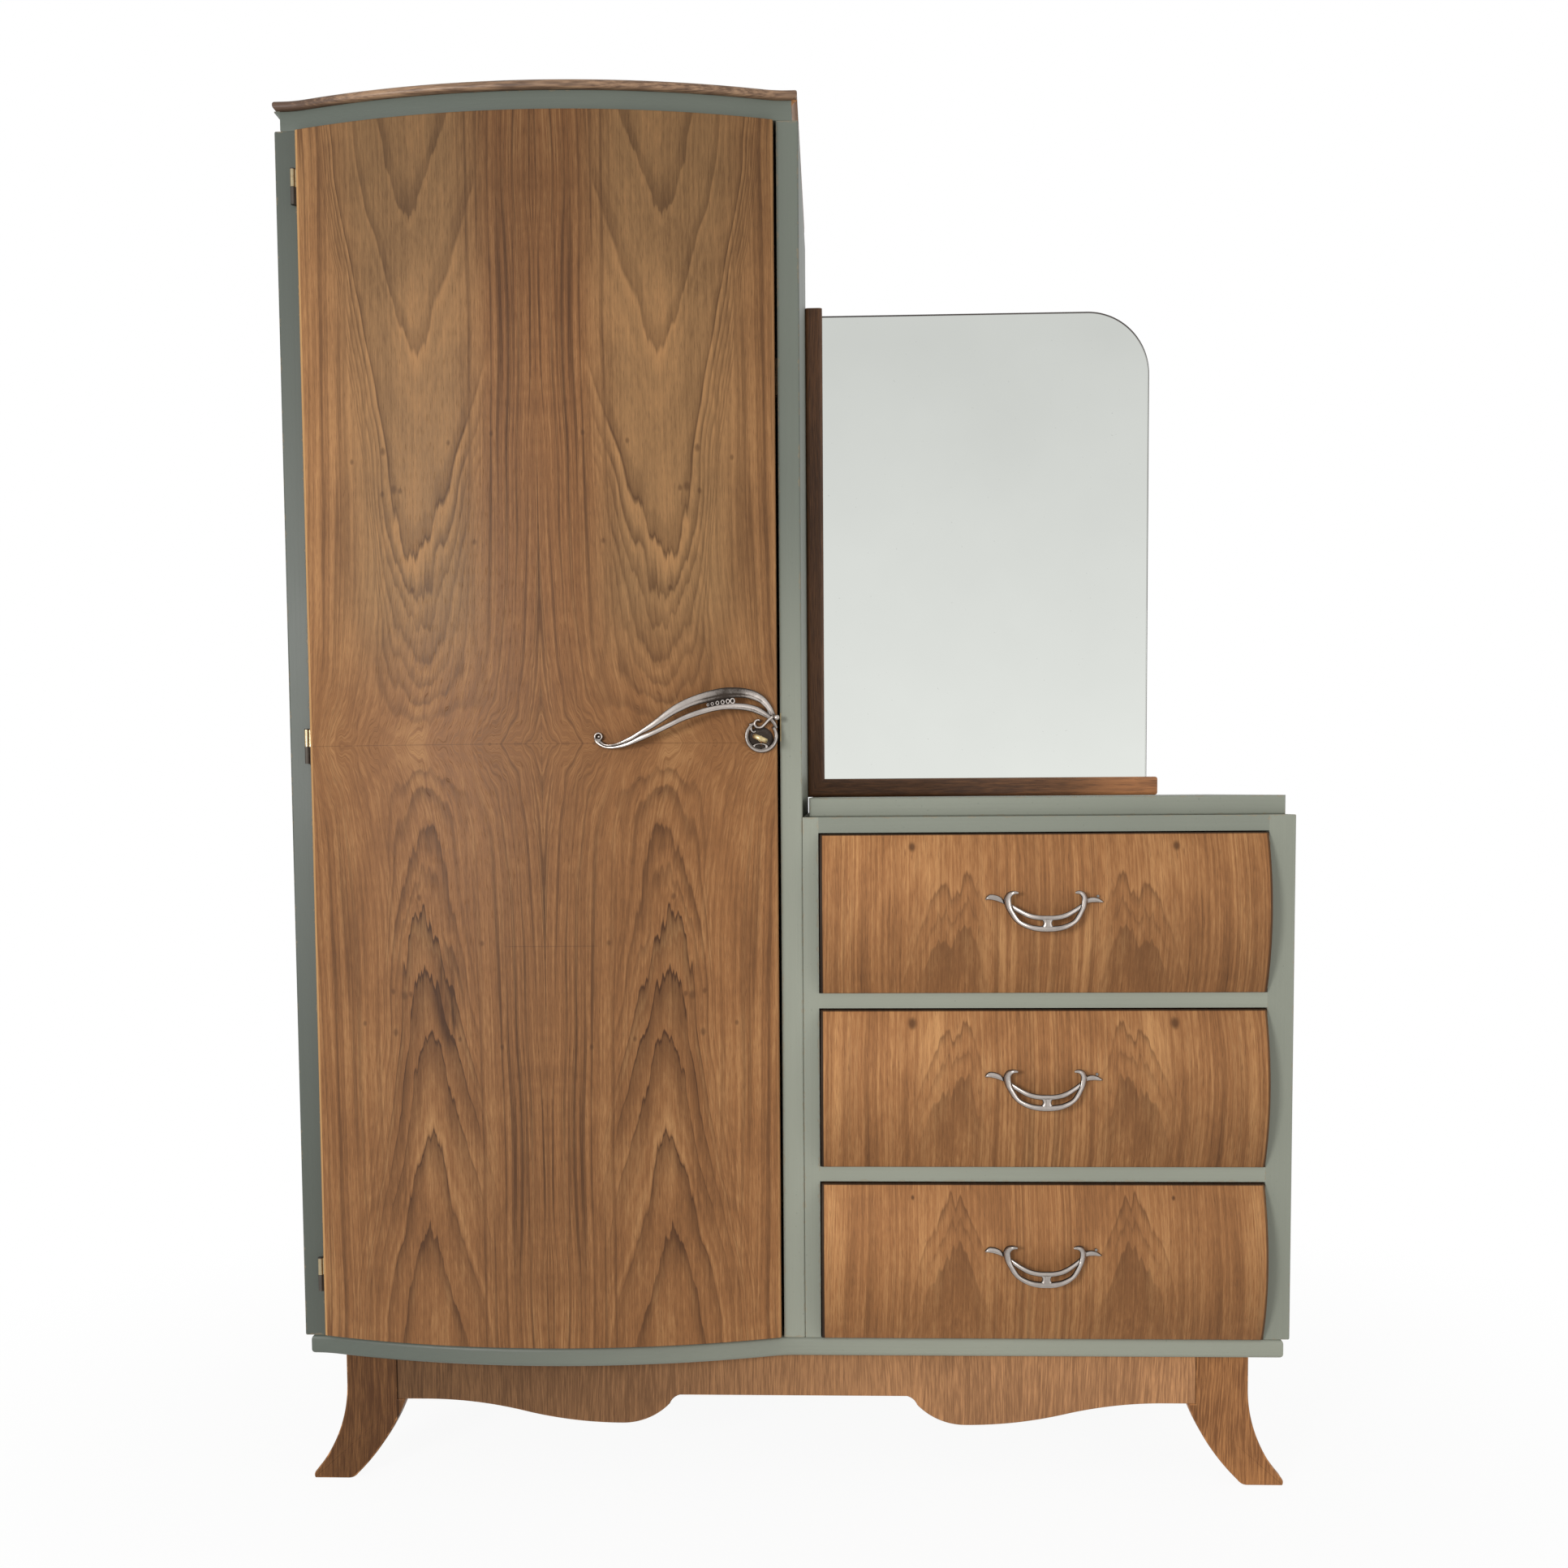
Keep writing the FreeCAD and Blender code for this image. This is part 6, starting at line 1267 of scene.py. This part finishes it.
class WARDROBE_OT_feet(bpy.types.Operator):
    """Two sabre feet in front, cut from boards: an outline of arcs whose rises are shares of their
    chords."""

    bl_idname = "wardrobe.front_feet"
    bl_label = "Front feet"

    def execute(self, context):
        veneer = context.scene.wardrobe_veneer
        # The sweep is painted light: the feet are darker at the left and lighter at the right.
        finish = wood_material("foot walnut", veneer.foot_light, veneer.foot_dark, "z", 0.9, 0.0, rim=True,
                               sweep=(-0.6, 0.6, 0.52, 1.3), joints=FOOT_JOINTS)
        low, high = node_box("front_foot_left")
        corners = ((1.5, 0.0, 0.0, 8), (46.0, 0.0, -0.12, 8), (58.0, 6.5, -0.055, 26),
                   (122.5, 106.0, 0.0, 3), (112.0, 106.0, 0.0, 10), (112.0, 172.0, 0.0, 8),
                   (46.0, 172.0, 0.0, 8), (46.0, 126.0, 0.091, 28), (1.5, 8.0, -0.16, 5))
        outline = np.array([low[0], low[2]]) + MM * outline_of(*corners)
        for name, across in (("left", 1), ("right", -1)):
            shape = outline if across == 1 else outline[::-1] * (-1, 1)
            shell = Shell()
            plate(shell, shape, low[1], high[1], 0.0022, standing, rim_value=0.25)
            shell.piece("sabre_foot_%s" % name, finish, "carcass", "dark_walnut", ["front_foot_%s" % name])
        return {"FINISHED"}


class WARDROBE_OT_apron(bpy.types.Operator):
    """Board between the feet, its lower edge cut to two scrolls."""

    bl_idname = "wardrobe.apron"
    bl_label = "Apron"

    def execute(self, context):
        low, high = node_box("apron")
        width, top, flat_x, flat_z = 1250.0, 172.0, 479.0, 113.5
        scroll = ((112.0, 106.0, 0.0, 6), (150.0, 106.0, 0.03, 16), (277.5, 91.0, -0.03, 16),
                  (405.0, 76.0, -0.102, 18), (466.0, 102.0, 0.12, 8), (flat_x, flat_z))
        curves = [swell(a[:2], b[:2], a[2], a[3]) for a, b in zip(scroll, scroll[1:])]
        left = np.vstack([*curves, scroll[-1]])
        right = (left * (-1, 1) + (width, 0.0))[::-1]
        flat = np.stack([np.linspace(flat_x, width - flat_x, 20)[1:-1], np.full(18, flat_z)], -1)
        corners = [(width - scroll[0][0], top), (scroll[0][0], top)]
        outline = (np.vstack([left, flat, right, corners]) - (width / 2, 0.0)) * MM
        shell = Shell()
        plate(shell, outline, low[1], high[1], 0.0016, standing, rim_value=0.3)
        # The sweep is painted light: the apron is darker at the left and lighter at the right.
        finish = wood_material("apron walnut", srgb(160, 117, 80), srgb(110, 78, 53), "z", 0.5, 0.0,
                               rim=True, sweep=(-0.5, 0.45, 0.5, 1.75), joints=FOOT_JOINTS)
        shell.piece("apron_board", finish, "carcass", "dark_walnut", ["apron"])
        return {"FINISHED"}


class WARDROBE_OT_boards(bpy.types.Operator):
    """The bowed boards: the wide board under the carcass with its rounded edge, the frieze over the door
    and the cap with its half-round nose."""

    bl_idname = "wardrobe.bowed_boards"
    bl_label = "Bowed boards"

    def execute(self, context):
        paint = context.scene.wardrobe_paint
        for node, name, crown, radius in (("base_board", "foot_board", 0.0, paint.nose),
                                          ("frieze_board", "frieze", 0.0, paint.arris),
                                          ("cornice_cap", "cornice", 0.0070, 0.0042)):
            low, high = node_box(node)
            outline = board_outline(low[0], high[0], high[1], lambda x: bow_line(x, crown))
            shell = Shell()
            plate(shell, outline, low[2], high[2], radius, lying, steps=5, rim_value=0.3)
            if node == "cornice_cap":
                finish = wood_material("cap walnut", srgb(160, 128, 100), srgb(84, 62, 48), "x", 0.9)
                slot = "dark_walnut"
            else:
                # Painted shade: the frieze and the board under the carcass grow greyer towards the left.
                shade = ("x", -0.62, 0.1, 1.0, 0.85) if name == "frieze" else ("x", -0.6, 0.3, 1.0, 0.0)
                finish = paint_material(name + " paint", paint, "x", low, high, shade)
                slot = "green_paint"
            shell.piece(name, finish, "carcass", slot, [node])
        return {"FINISHED"}


class WARDROBE_OT_coves(bpy.types.Operator):
    """Two small coves under the ends of the cap: a hollow section carried along Y."""

    bl_idname = "wardrobe.coves"
    bl_label = "Coves"

    def execute(self, context):
        paint, veneer = context.scene.wardrobe_paint, context.scene.wardrobe_veneer
        for node, side in (("cove_left", 1), ("cove_right", -1)):
            low, high = node_box(node)
            wide, tall = high[0] - low[0], high[2] - low[2]
            arc = swell((wide, tall - 0.012), (0.0, tall - 0.0015), -0.19, 14)
            section = np.vstack([arc, [(0.0, tall - 0.0015), (0.0, tall), (wide, tall)]])
            if side == -1:
                section = (section * (-1, 1) + (wide, 0.0))[::-1]
            ys = np.linspace(low[1], high[1], 24)
            centres = np.stack([np.full(24, low[0]), ys, np.full(24, low[2])], -1)
            shell = Shell()
            carried(shell, centres, np.tile([1.0, 0, 0], (24, 1)), np.tile([0, 0, 1.0], (24, 1)), section)
            if side == 1:
                # The painted cove is greyed all over as painted shade.
                finish = paint_material("cove paint", paint, "y", low, high, ("z", 0.0, 1.0, 0.9, 0.9))
                slot = "green_paint"
            else:
                finish = wood_material("cove walnut", veneer.foot_light, veneer.foot_dark, "y", 0.6)
                slot = "dark_walnut"
            shell.piece(node + "_moulding", finish, "carcass", slot, [node])
        return {"FINISHED"}


class WARDROBE_OT_mirror(bpy.types.Operator):
    """Silvered glass with one rounded corner and a polished edge, and the two battens that hold it."""

    bl_idname = "wardrobe.mirror"
    bl_label = "Mirror and battens"

    def execute(self, context):
        metal, veneer = context.scene.wardrobe_metal, context.scene.wardrobe_veneer
        low, high = node_box("mirror_glass")
        corner = 0.092
        turn = np.linspace(0, np.pi / 2, 40)
        arc = np.array([high[0] - corner, high[2] - corner]) + corner * rays(turn)
        outline = np.vstack([[(low[0], low[2]), (high[0], low[2])], arc, [(low[0], high[2])]])
        shell = Shell()
        plate(shell, outline, low[1], high[1], 0.0014, standing, steps=3, rim_value=0.0)
        made, net, shader = material("silvered glass", Coat_Weight=0.0, IOR=1.52)
        rim = net.between(net.relief(), 0.95, 0.5)
        place = net.place()
        x, _, z = net.parts(place)
        off_x = net.math("MAXIMUM", x - (high[0] - corner), 0.0)
        off_z = net.math("MAXIMUM", z - (high[2] - corner), 0.0)
        out = net.math("SQRT", off_x * off_x + off_z * off_z)
        upwards = net.between(z, high[2] - corner, high[2] - 0.02, 0.25, 1.0)
        edge = net.between(out, corner - 0.0032, corner - 0.002) * upwards
        rim = net.math("MAXIMUM", rim, edge)
        haze_and_reflection = net.noise(place, 5.0, 3.0, 0.6)
        spot = net.between(net.noise(place, 190.0, 2.0, 0.6), 0.71, 0.78)
        # Painted reflection: the glass darkens towards the top, broken by slow haze; the spots are flaws of
        # the silvering.
        upwards = net.between(z, 0.85, 1.55, 0.0, 0.8, smooth=False)
        cast = net.math("MULTIPLY_ADD", haze_and_reflection - 0.5, 0.3, upwards, clamp=True)
        tint = net.blend(cast, metal.glass, tuple(c * 0.72 for c in metal.glass))
        tint = net.blend(spot * 0.2, tint, srgb(120, 120, 116))
        net.feed(shader.inputs["Base Color"], net.blend(rim, tint, srgb(58, 48, 42)))
        net.feed(shader.inputs["Metallic"], net.between(rim, 0.0, 1.0, 1.0, 0.1))
        net.feed(shader.inputs["Roughness"], haze_and_reflection * 0.03 + rim * 0.1)
        shell.piece("mirror_pane", made, "carcass", "silvered_glass", ["mirror_glass"], sharp=12.0)
        low, high = node_box("mirror_batten_left")
        front, back, glass_face = low[1], high[1], node_box("mirror_glass")[0][1]
        wide, left, base, top = high[0] - low[0], low[0], low[2], high[2]
        lap = 0.017

        def section(reach, count):
            """Flat in front with eased edges, rebated behind for the glass: (across, depth) from one side
            to the other. Places crowd to the edges by t = (1 - cos(pi u)) / 2, and the face stands back
            by 0.0032 |2t - 1|^9."""
            t = 0.5 - 0.5 * np.cos(np.pi * np.linspace(0, 1, count))
            nose = np.stack([t * reach, front + 0.0032 * np.abs(2 * t - 1) ** 9], -1)
            return np.vstack([nose, [(reach, glass_face), (lap, glass_face), (lap, back), (0.0, back)]])

        ring = section(wide, 22)
        zs = np.concatenate([[0.0], np.linspace(0.04, 1, 30)])
        slope = base + ring[:, 0] * (node_box("mirror_batten_bottom")[1][2] - base) / wide
        z = slope[None, :] + zs[:, None] * (top - slope[None, :])
        points = standing(left + ring[:, 0], ring[:, 1], z)
        shell = Shell()
        shell.add(points, tube_faces(*z.shape))
        finish = wood_material("batten walnut upright", veneer.batten_light, veneer.batten_dark, "z", 0.6)
        shell.piece("batten_left", finish, "carcass", "dark_walnut", ["mirror_batten_left"])
        low, high = node_box("mirror_batten_bottom")
        tall = high[2] - low[2]
        ring = section(tall, 22)
        ring[:, 0] = tall - ring[:, 0]
        start = low[0] + ring[:, 0] * wide / tall
        round_end = tall * 0.12
        beyond = np.clip(np.abs(ring[:, 0] - tall / 2) - (tall / 2 - round_end), 0, None)
        end = high[0] - (round_end - np.sqrt(np.clip(round_end**2 - beyond**2, 0, None)))
        share = np.concatenate([np.linspace(0, 0.96, 26), [0.98, 0.99, 1.0]])
        x = start[None, :] + share[:, None] * (end - start)[None, :]
        points = standing(x, ring[:, 1], low[2] + ring[:, 0])
        shell = Shell()
        shell.add(points, tube_faces(*x.shape))
        finish = wood_material("batten walnut", veneer.batten_light, veneer.batten_dark, "x", 0.8,
                               sweep=(0.40, 0.50, 1.1, 2.5))
        shell.piece("batten_bottom", finish, "carcass", "dark_walnut", ["mirror_batten_bottom"])
        return {"FINISHED"}


class WARDROBE_OT_solids(bpy.types.Operator):
    """Finishes of the solids that show as they are: painted sides, inner wood, drawer boxes, hinges, lock
    and screws."""

    bl_idname = "wardrobe.solids"
    bl_label = "Boards, boxes and fittings"

    def execute(self, context):
        paint, metal = context.scene.wardrobe_paint, context.scene.wardrobe_metal
        # Each shade tuple is painted shade: it greys the green all over the left side, up the right side,
        # low on the chest's sides, a little on the counter, and on the chest's top rail.
        for node, axis, shade in (("tall_side_left", "z", ("z", 0.0, 1.0, 0.95, 0.95)),
                                  ("tall_side_right", "z", ("z", 0.85, 1.3, 0.03, 0.8)),
                                  ("low_side_left", "z", ("z", 0.2, 0.9, 0.08, 0.0)),
                                  ("low_side_right", "z", ("z", 0.2, 0.9, 0.25, 0.1)),
                                  ("counter_board", "x", ("x", 0.0, 0.6, 0.16, 0.2)),
                                  ("chest_rails", "x", ("z", 0.82, 0.84, 0.0, 0.35))):
            low, high = node_box(node)
            # The left side is darkened further as painted shade.
            gain = 0.7 if node == "tall_side_left" else 1.0
            self.dress([node], paint_material(node.replace("_", " ") + " paint", paint, axis, low, high,
                                              shade, gain))
        beech = srgb(196, 158, 112), srgb(146, 104, 66)
        birch = srgb(204, 172, 128), srgb(166, 128, 86)
        for name, wood, axis, patches, nodes in (
                ("inner beech", beech, "x", 0.5,
                 ["hat_shelf", "shelf_bearers", "hanging_rail", "corner_blocks", "plinth_rails",
                  "mirror_backing"]),
                ("drawer beech", beech, "y", 0.5,
                 ["drawer_runners", "drawer_1_sides", "drawer_2_sides", "drawer_3_sides"]),
                ("drawer back beech", beech, "x", 0.5,
                 ["drawer_1_back", "drawer_2_back", "drawer_3_back", "rail_sockets"]),
                ("rear foot beech", beech, "z", 0.5, ["rear_feet"]),
                ("back birch", birch, "z", 0.4, ["back_panels"]),
                ("bottom birch", birch, "x", 0.4,
                 ["drawer_1_bottom", "drawer_2_bottom", "drawer_3_bottom"])):
            self.dress(nodes, wood_material(name, *wood, axis, patches, 0.05))
        for name, clean, dull, relief, film, nodes in (
                ("hinge frame steel", srgb(150, 148, 140), metal.steel_dull, 0.4, 0.5,
                 ["hinge_frame_leaves", "hinge_pins"]),
                ("hinge door brass", srgb(188, 176, 146), metal.brass_dull, 0.6, 0.25,
                 ["hinge_door_leaves"]),
                ("strike brass", metal.brass, metal.brass_dull, 0.5, 0.3, ["strike_plate"]),
                ("lock steel", metal.steel, metal.steel_dull, 0.5, 0.4, ["lock_case", "lock_bolt"]),
                ("screw steel", metal.steel, metal.steel_dull, 0.5, 0.3,
                 ["hinge_frame_screws", "hinge_door_screws", "door_handle_screws", "drawer_1_screws",
                  "drawer_2_screws", "drawer_3_screws", "mirror_screws"])):
            self.dress(nodes, metal_material(name, clean, dull, relief, film))
        return {"FINISHED"}

    def dress(self, nodes, finish):
        for node in nodes:
            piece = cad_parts[node]
            if not piece.material_slots:
                raise RuntimeError("no material slot on " + node)
            for slot in piece.material_slots:
                slot.material = finish


def looked_at(net):
    """1 for rays of the camera, straight, mirrored or through glass, and 0 for the light that falls on
    things."""
    path = net.node("ShaderNodeLightPath").outputs
    kinds = ("Camera", "Glossy", "Transmission")
    camera, glossy, through = (Value(net, path["Is %s Ray" % kind]) for kind in kinds)
    return net.math("MAXIMUM", camera, net.math("MAXIMUM", glossy, through))


class WARDROBE_OT_stage(bpy.types.Operator):
    """Pale floor, soft lamps, white world and the camera."""

    bl_idname = "wardrobe.stage"
    bl_label = "Stage"

    def execute(self, context):
        stage = context.scene.wardrobe_stage
        scene = context.scene
        rings, spokes = 24, 64
        turn = whole_turn(spokes)
        radii = np.geomspace(0.3, 9.0, rings)[:, None]
        points = lying(radii * np.cos(turn), 0.0, radii * np.sin(turn)).reshape(-1, 3)
        faces = grid_faces(rings, spokes, wrap_columns=True)[:, ::-1].tolist() + [list(range(spokes))]
        mesh = bpy.data.meshes.new("floor")
        mesh.from_pydata(points.tolist(), [], faces)
        floor = bpy.data.objects.new("floor", mesh)
        scene.collection.objects.link(floor)
        made, net, shader = material("floor", Roughness=0.75, Specular_IOR_Level=0.2)
        place = net.place()
        cloud = net.noise(place, 1.4, 3.0, 0.5)
        tint = net.blend(net.between(cloud, 0.2, 0.8, 0.0, 0.25), stage.floor_tint, srgb(226, 226, 223))
        net.feed(shader.inputs["Base Color"], tint)
        white = net.out("ShaderNodeEmission", {"Color": (1.0, 1.0, 1.0), "Strength": 1.0})
        away = net.reach(net.vector("MULTIPLY", place, (0.8, 1.0, 0.0)))
        share = looked_at(net) * net.between(away, 0.5, 1.3, 0.93, 1.0)
        mixed = net.out("ShaderNodeMixShader", {0: share, 1: Value(net, shader.outputs[0]), 2: white})
        output = next(n for n in made.node_tree.nodes if n.type == "OUTPUT_MATERIAL")
        net.feed(output.inputs["Surface"], mixed)
        floor.data.materials.append(made)

        world = bpy.data.worlds.new("studio")
        world.use_nodes = True
        net = Network(world.node_tree)
        world.node_tree.nodes.clear()
        fill = net.out("ShaderNodeBackground", {"Color": (1.0, 1.0, 1.0), "Strength": stage.fill})
        white = net.out("ShaderNodeBackground", {"Color": (1.0, 1.0, 1.0), "Strength": 1.0})
        mixed = net.out("ShaderNodeMixShader", {0: looked_at(net), 1: fill, 2: white})
        net.node("ShaderNodeOutputWorld", {"Surface": mixed})
        scene.world = world

        for name, place, target, size, power in (
                ("key", (-1.8, -3.2, 1.3), (0.1, 0.0, 0.65), 0.8, stage.key_power),
                ("side", (2.6, -1.9, 0.7), (0.2, 0.0, 0.5), 1.6, stage.side_power)):
            lamp = bpy.data.lights.new(name, "AREA")
            lamp.shape, lamp.size, lamp.size_y, lamp.energy = "RECTANGLE", size, size, power
            lamp_object = bpy.data.objects.new(name, lamp)
            lamp_object.location = place
            aim = Vector(target) - Vector(place)
            lamp_object.rotation_euler = aim.to_track_quat("-Z", "Y").to_euler()
            scene.collection.objects.link(lamp_object)

        yaw, pitch, roll = stage.turn
        ahead = Vector((math.sin(yaw) * math.cos(pitch), math.cos(yaw) * math.cos(pitch), math.sin(pitch)))
        right = Vector((math.cos(yaw), -math.sin(yaw), 0.0))
        up = right.cross(ahead)
        cos, sin = math.cos(roll), math.sin(roll)
        right, up = cos * right + sin * up, cos * up - sin * right
        turned_to = Matrix((right, up, -ahead)).transposed()
        camera = bpy.data.cameras.new("camera")
        camera.sensor_width, camera.lens = 36.0, stage.lens * 1000
        camera.shift_x, camera.shift_y = stage.shift
        camera.clip_start, camera.clip_end = 0.05, 60.0
        seen_from = bpy.data.objects.new("camera", camera)
        seen_from.matrix_world = Matrix.Translation(stage.eye) @ turned_to.to_4x4()
        scene.collection.objects.link(seen_from)
        scene.camera = seen_from
        scene.view_settings.view_transform = "Standard"
        return {"FINISHED"}


# Panel, registration and run

STEPS = (WARDROBE_OT_stage, WARDROBE_OT_solids, WARDROBE_OT_boards, WARDROBE_OT_coves,
         WARDROBE_OT_door_leaf, WARDROBE_OT_drawer_fronts, WARDROBE_OT_feet, WARDROBE_OT_apron,
         WARDROBE_OT_mirror, WARDROBE_OT_door_handle, WARDROBE_OT_keyhole, WARDROBE_OT_key,
         WARDROBE_OT_drawer_pulls)
GROUPS = (("wardrobe_stage", StageSettings), ("wardrobe_paint", PaintSettings),
          ("wardrobe_veneer", VeneerSettings), ("wardrobe_metal", MetalSettings))


class WARDROBE_PT_panel(bpy.types.Panel):
    """Lists the pieces and the sizes and colours that they are made with."""

    bl_idname = "WARDROBE_PT_panel"
    bl_label = "Wardrobe"
    bl_space_type = "VIEW_3D"
    bl_region_type = "UI"
    bl_category = "Wardrobe"

    def draw(self, context):
        for step in STEPS:
            self.layout.operator(step.bl_idname)
        for name, settings in GROUPS:
            box = self.layout.box()
            box.label(text=settings.__doc__)
            for field in settings.__annotations__:
                box.prop(getattr(context.scene, name), field)


def register():
    for settings in (cls for _, cls in GROUPS):
        bpy.utils.register_class(settings)
    for name, settings in GROUPS:
        setattr(bpy.types.Scene, name, bpy.props.PointerProperty(type=settings))
    for cls in (*STEPS, WARDROBE_PT_panel):
        bpy.utils.register_class(cls)


def unregister():
    for cls in (WARDROBE_PT_panel, *reversed(STEPS)):
        bpy.utils.unregister_class(cls)
    for name, _ in GROUPS:
        delattr(bpy.types.Scene, name)
    for settings in (cls for _, cls in reversed(GROUPS)):
        bpy.utils.unregister_class(settings)


def main():
    register()
    for step in STEPS:
        family, name = step.bl_idname.split(".")
        getattr(getattr(bpy.ops, family), name)()


if __name__ == "__main__":
    main()
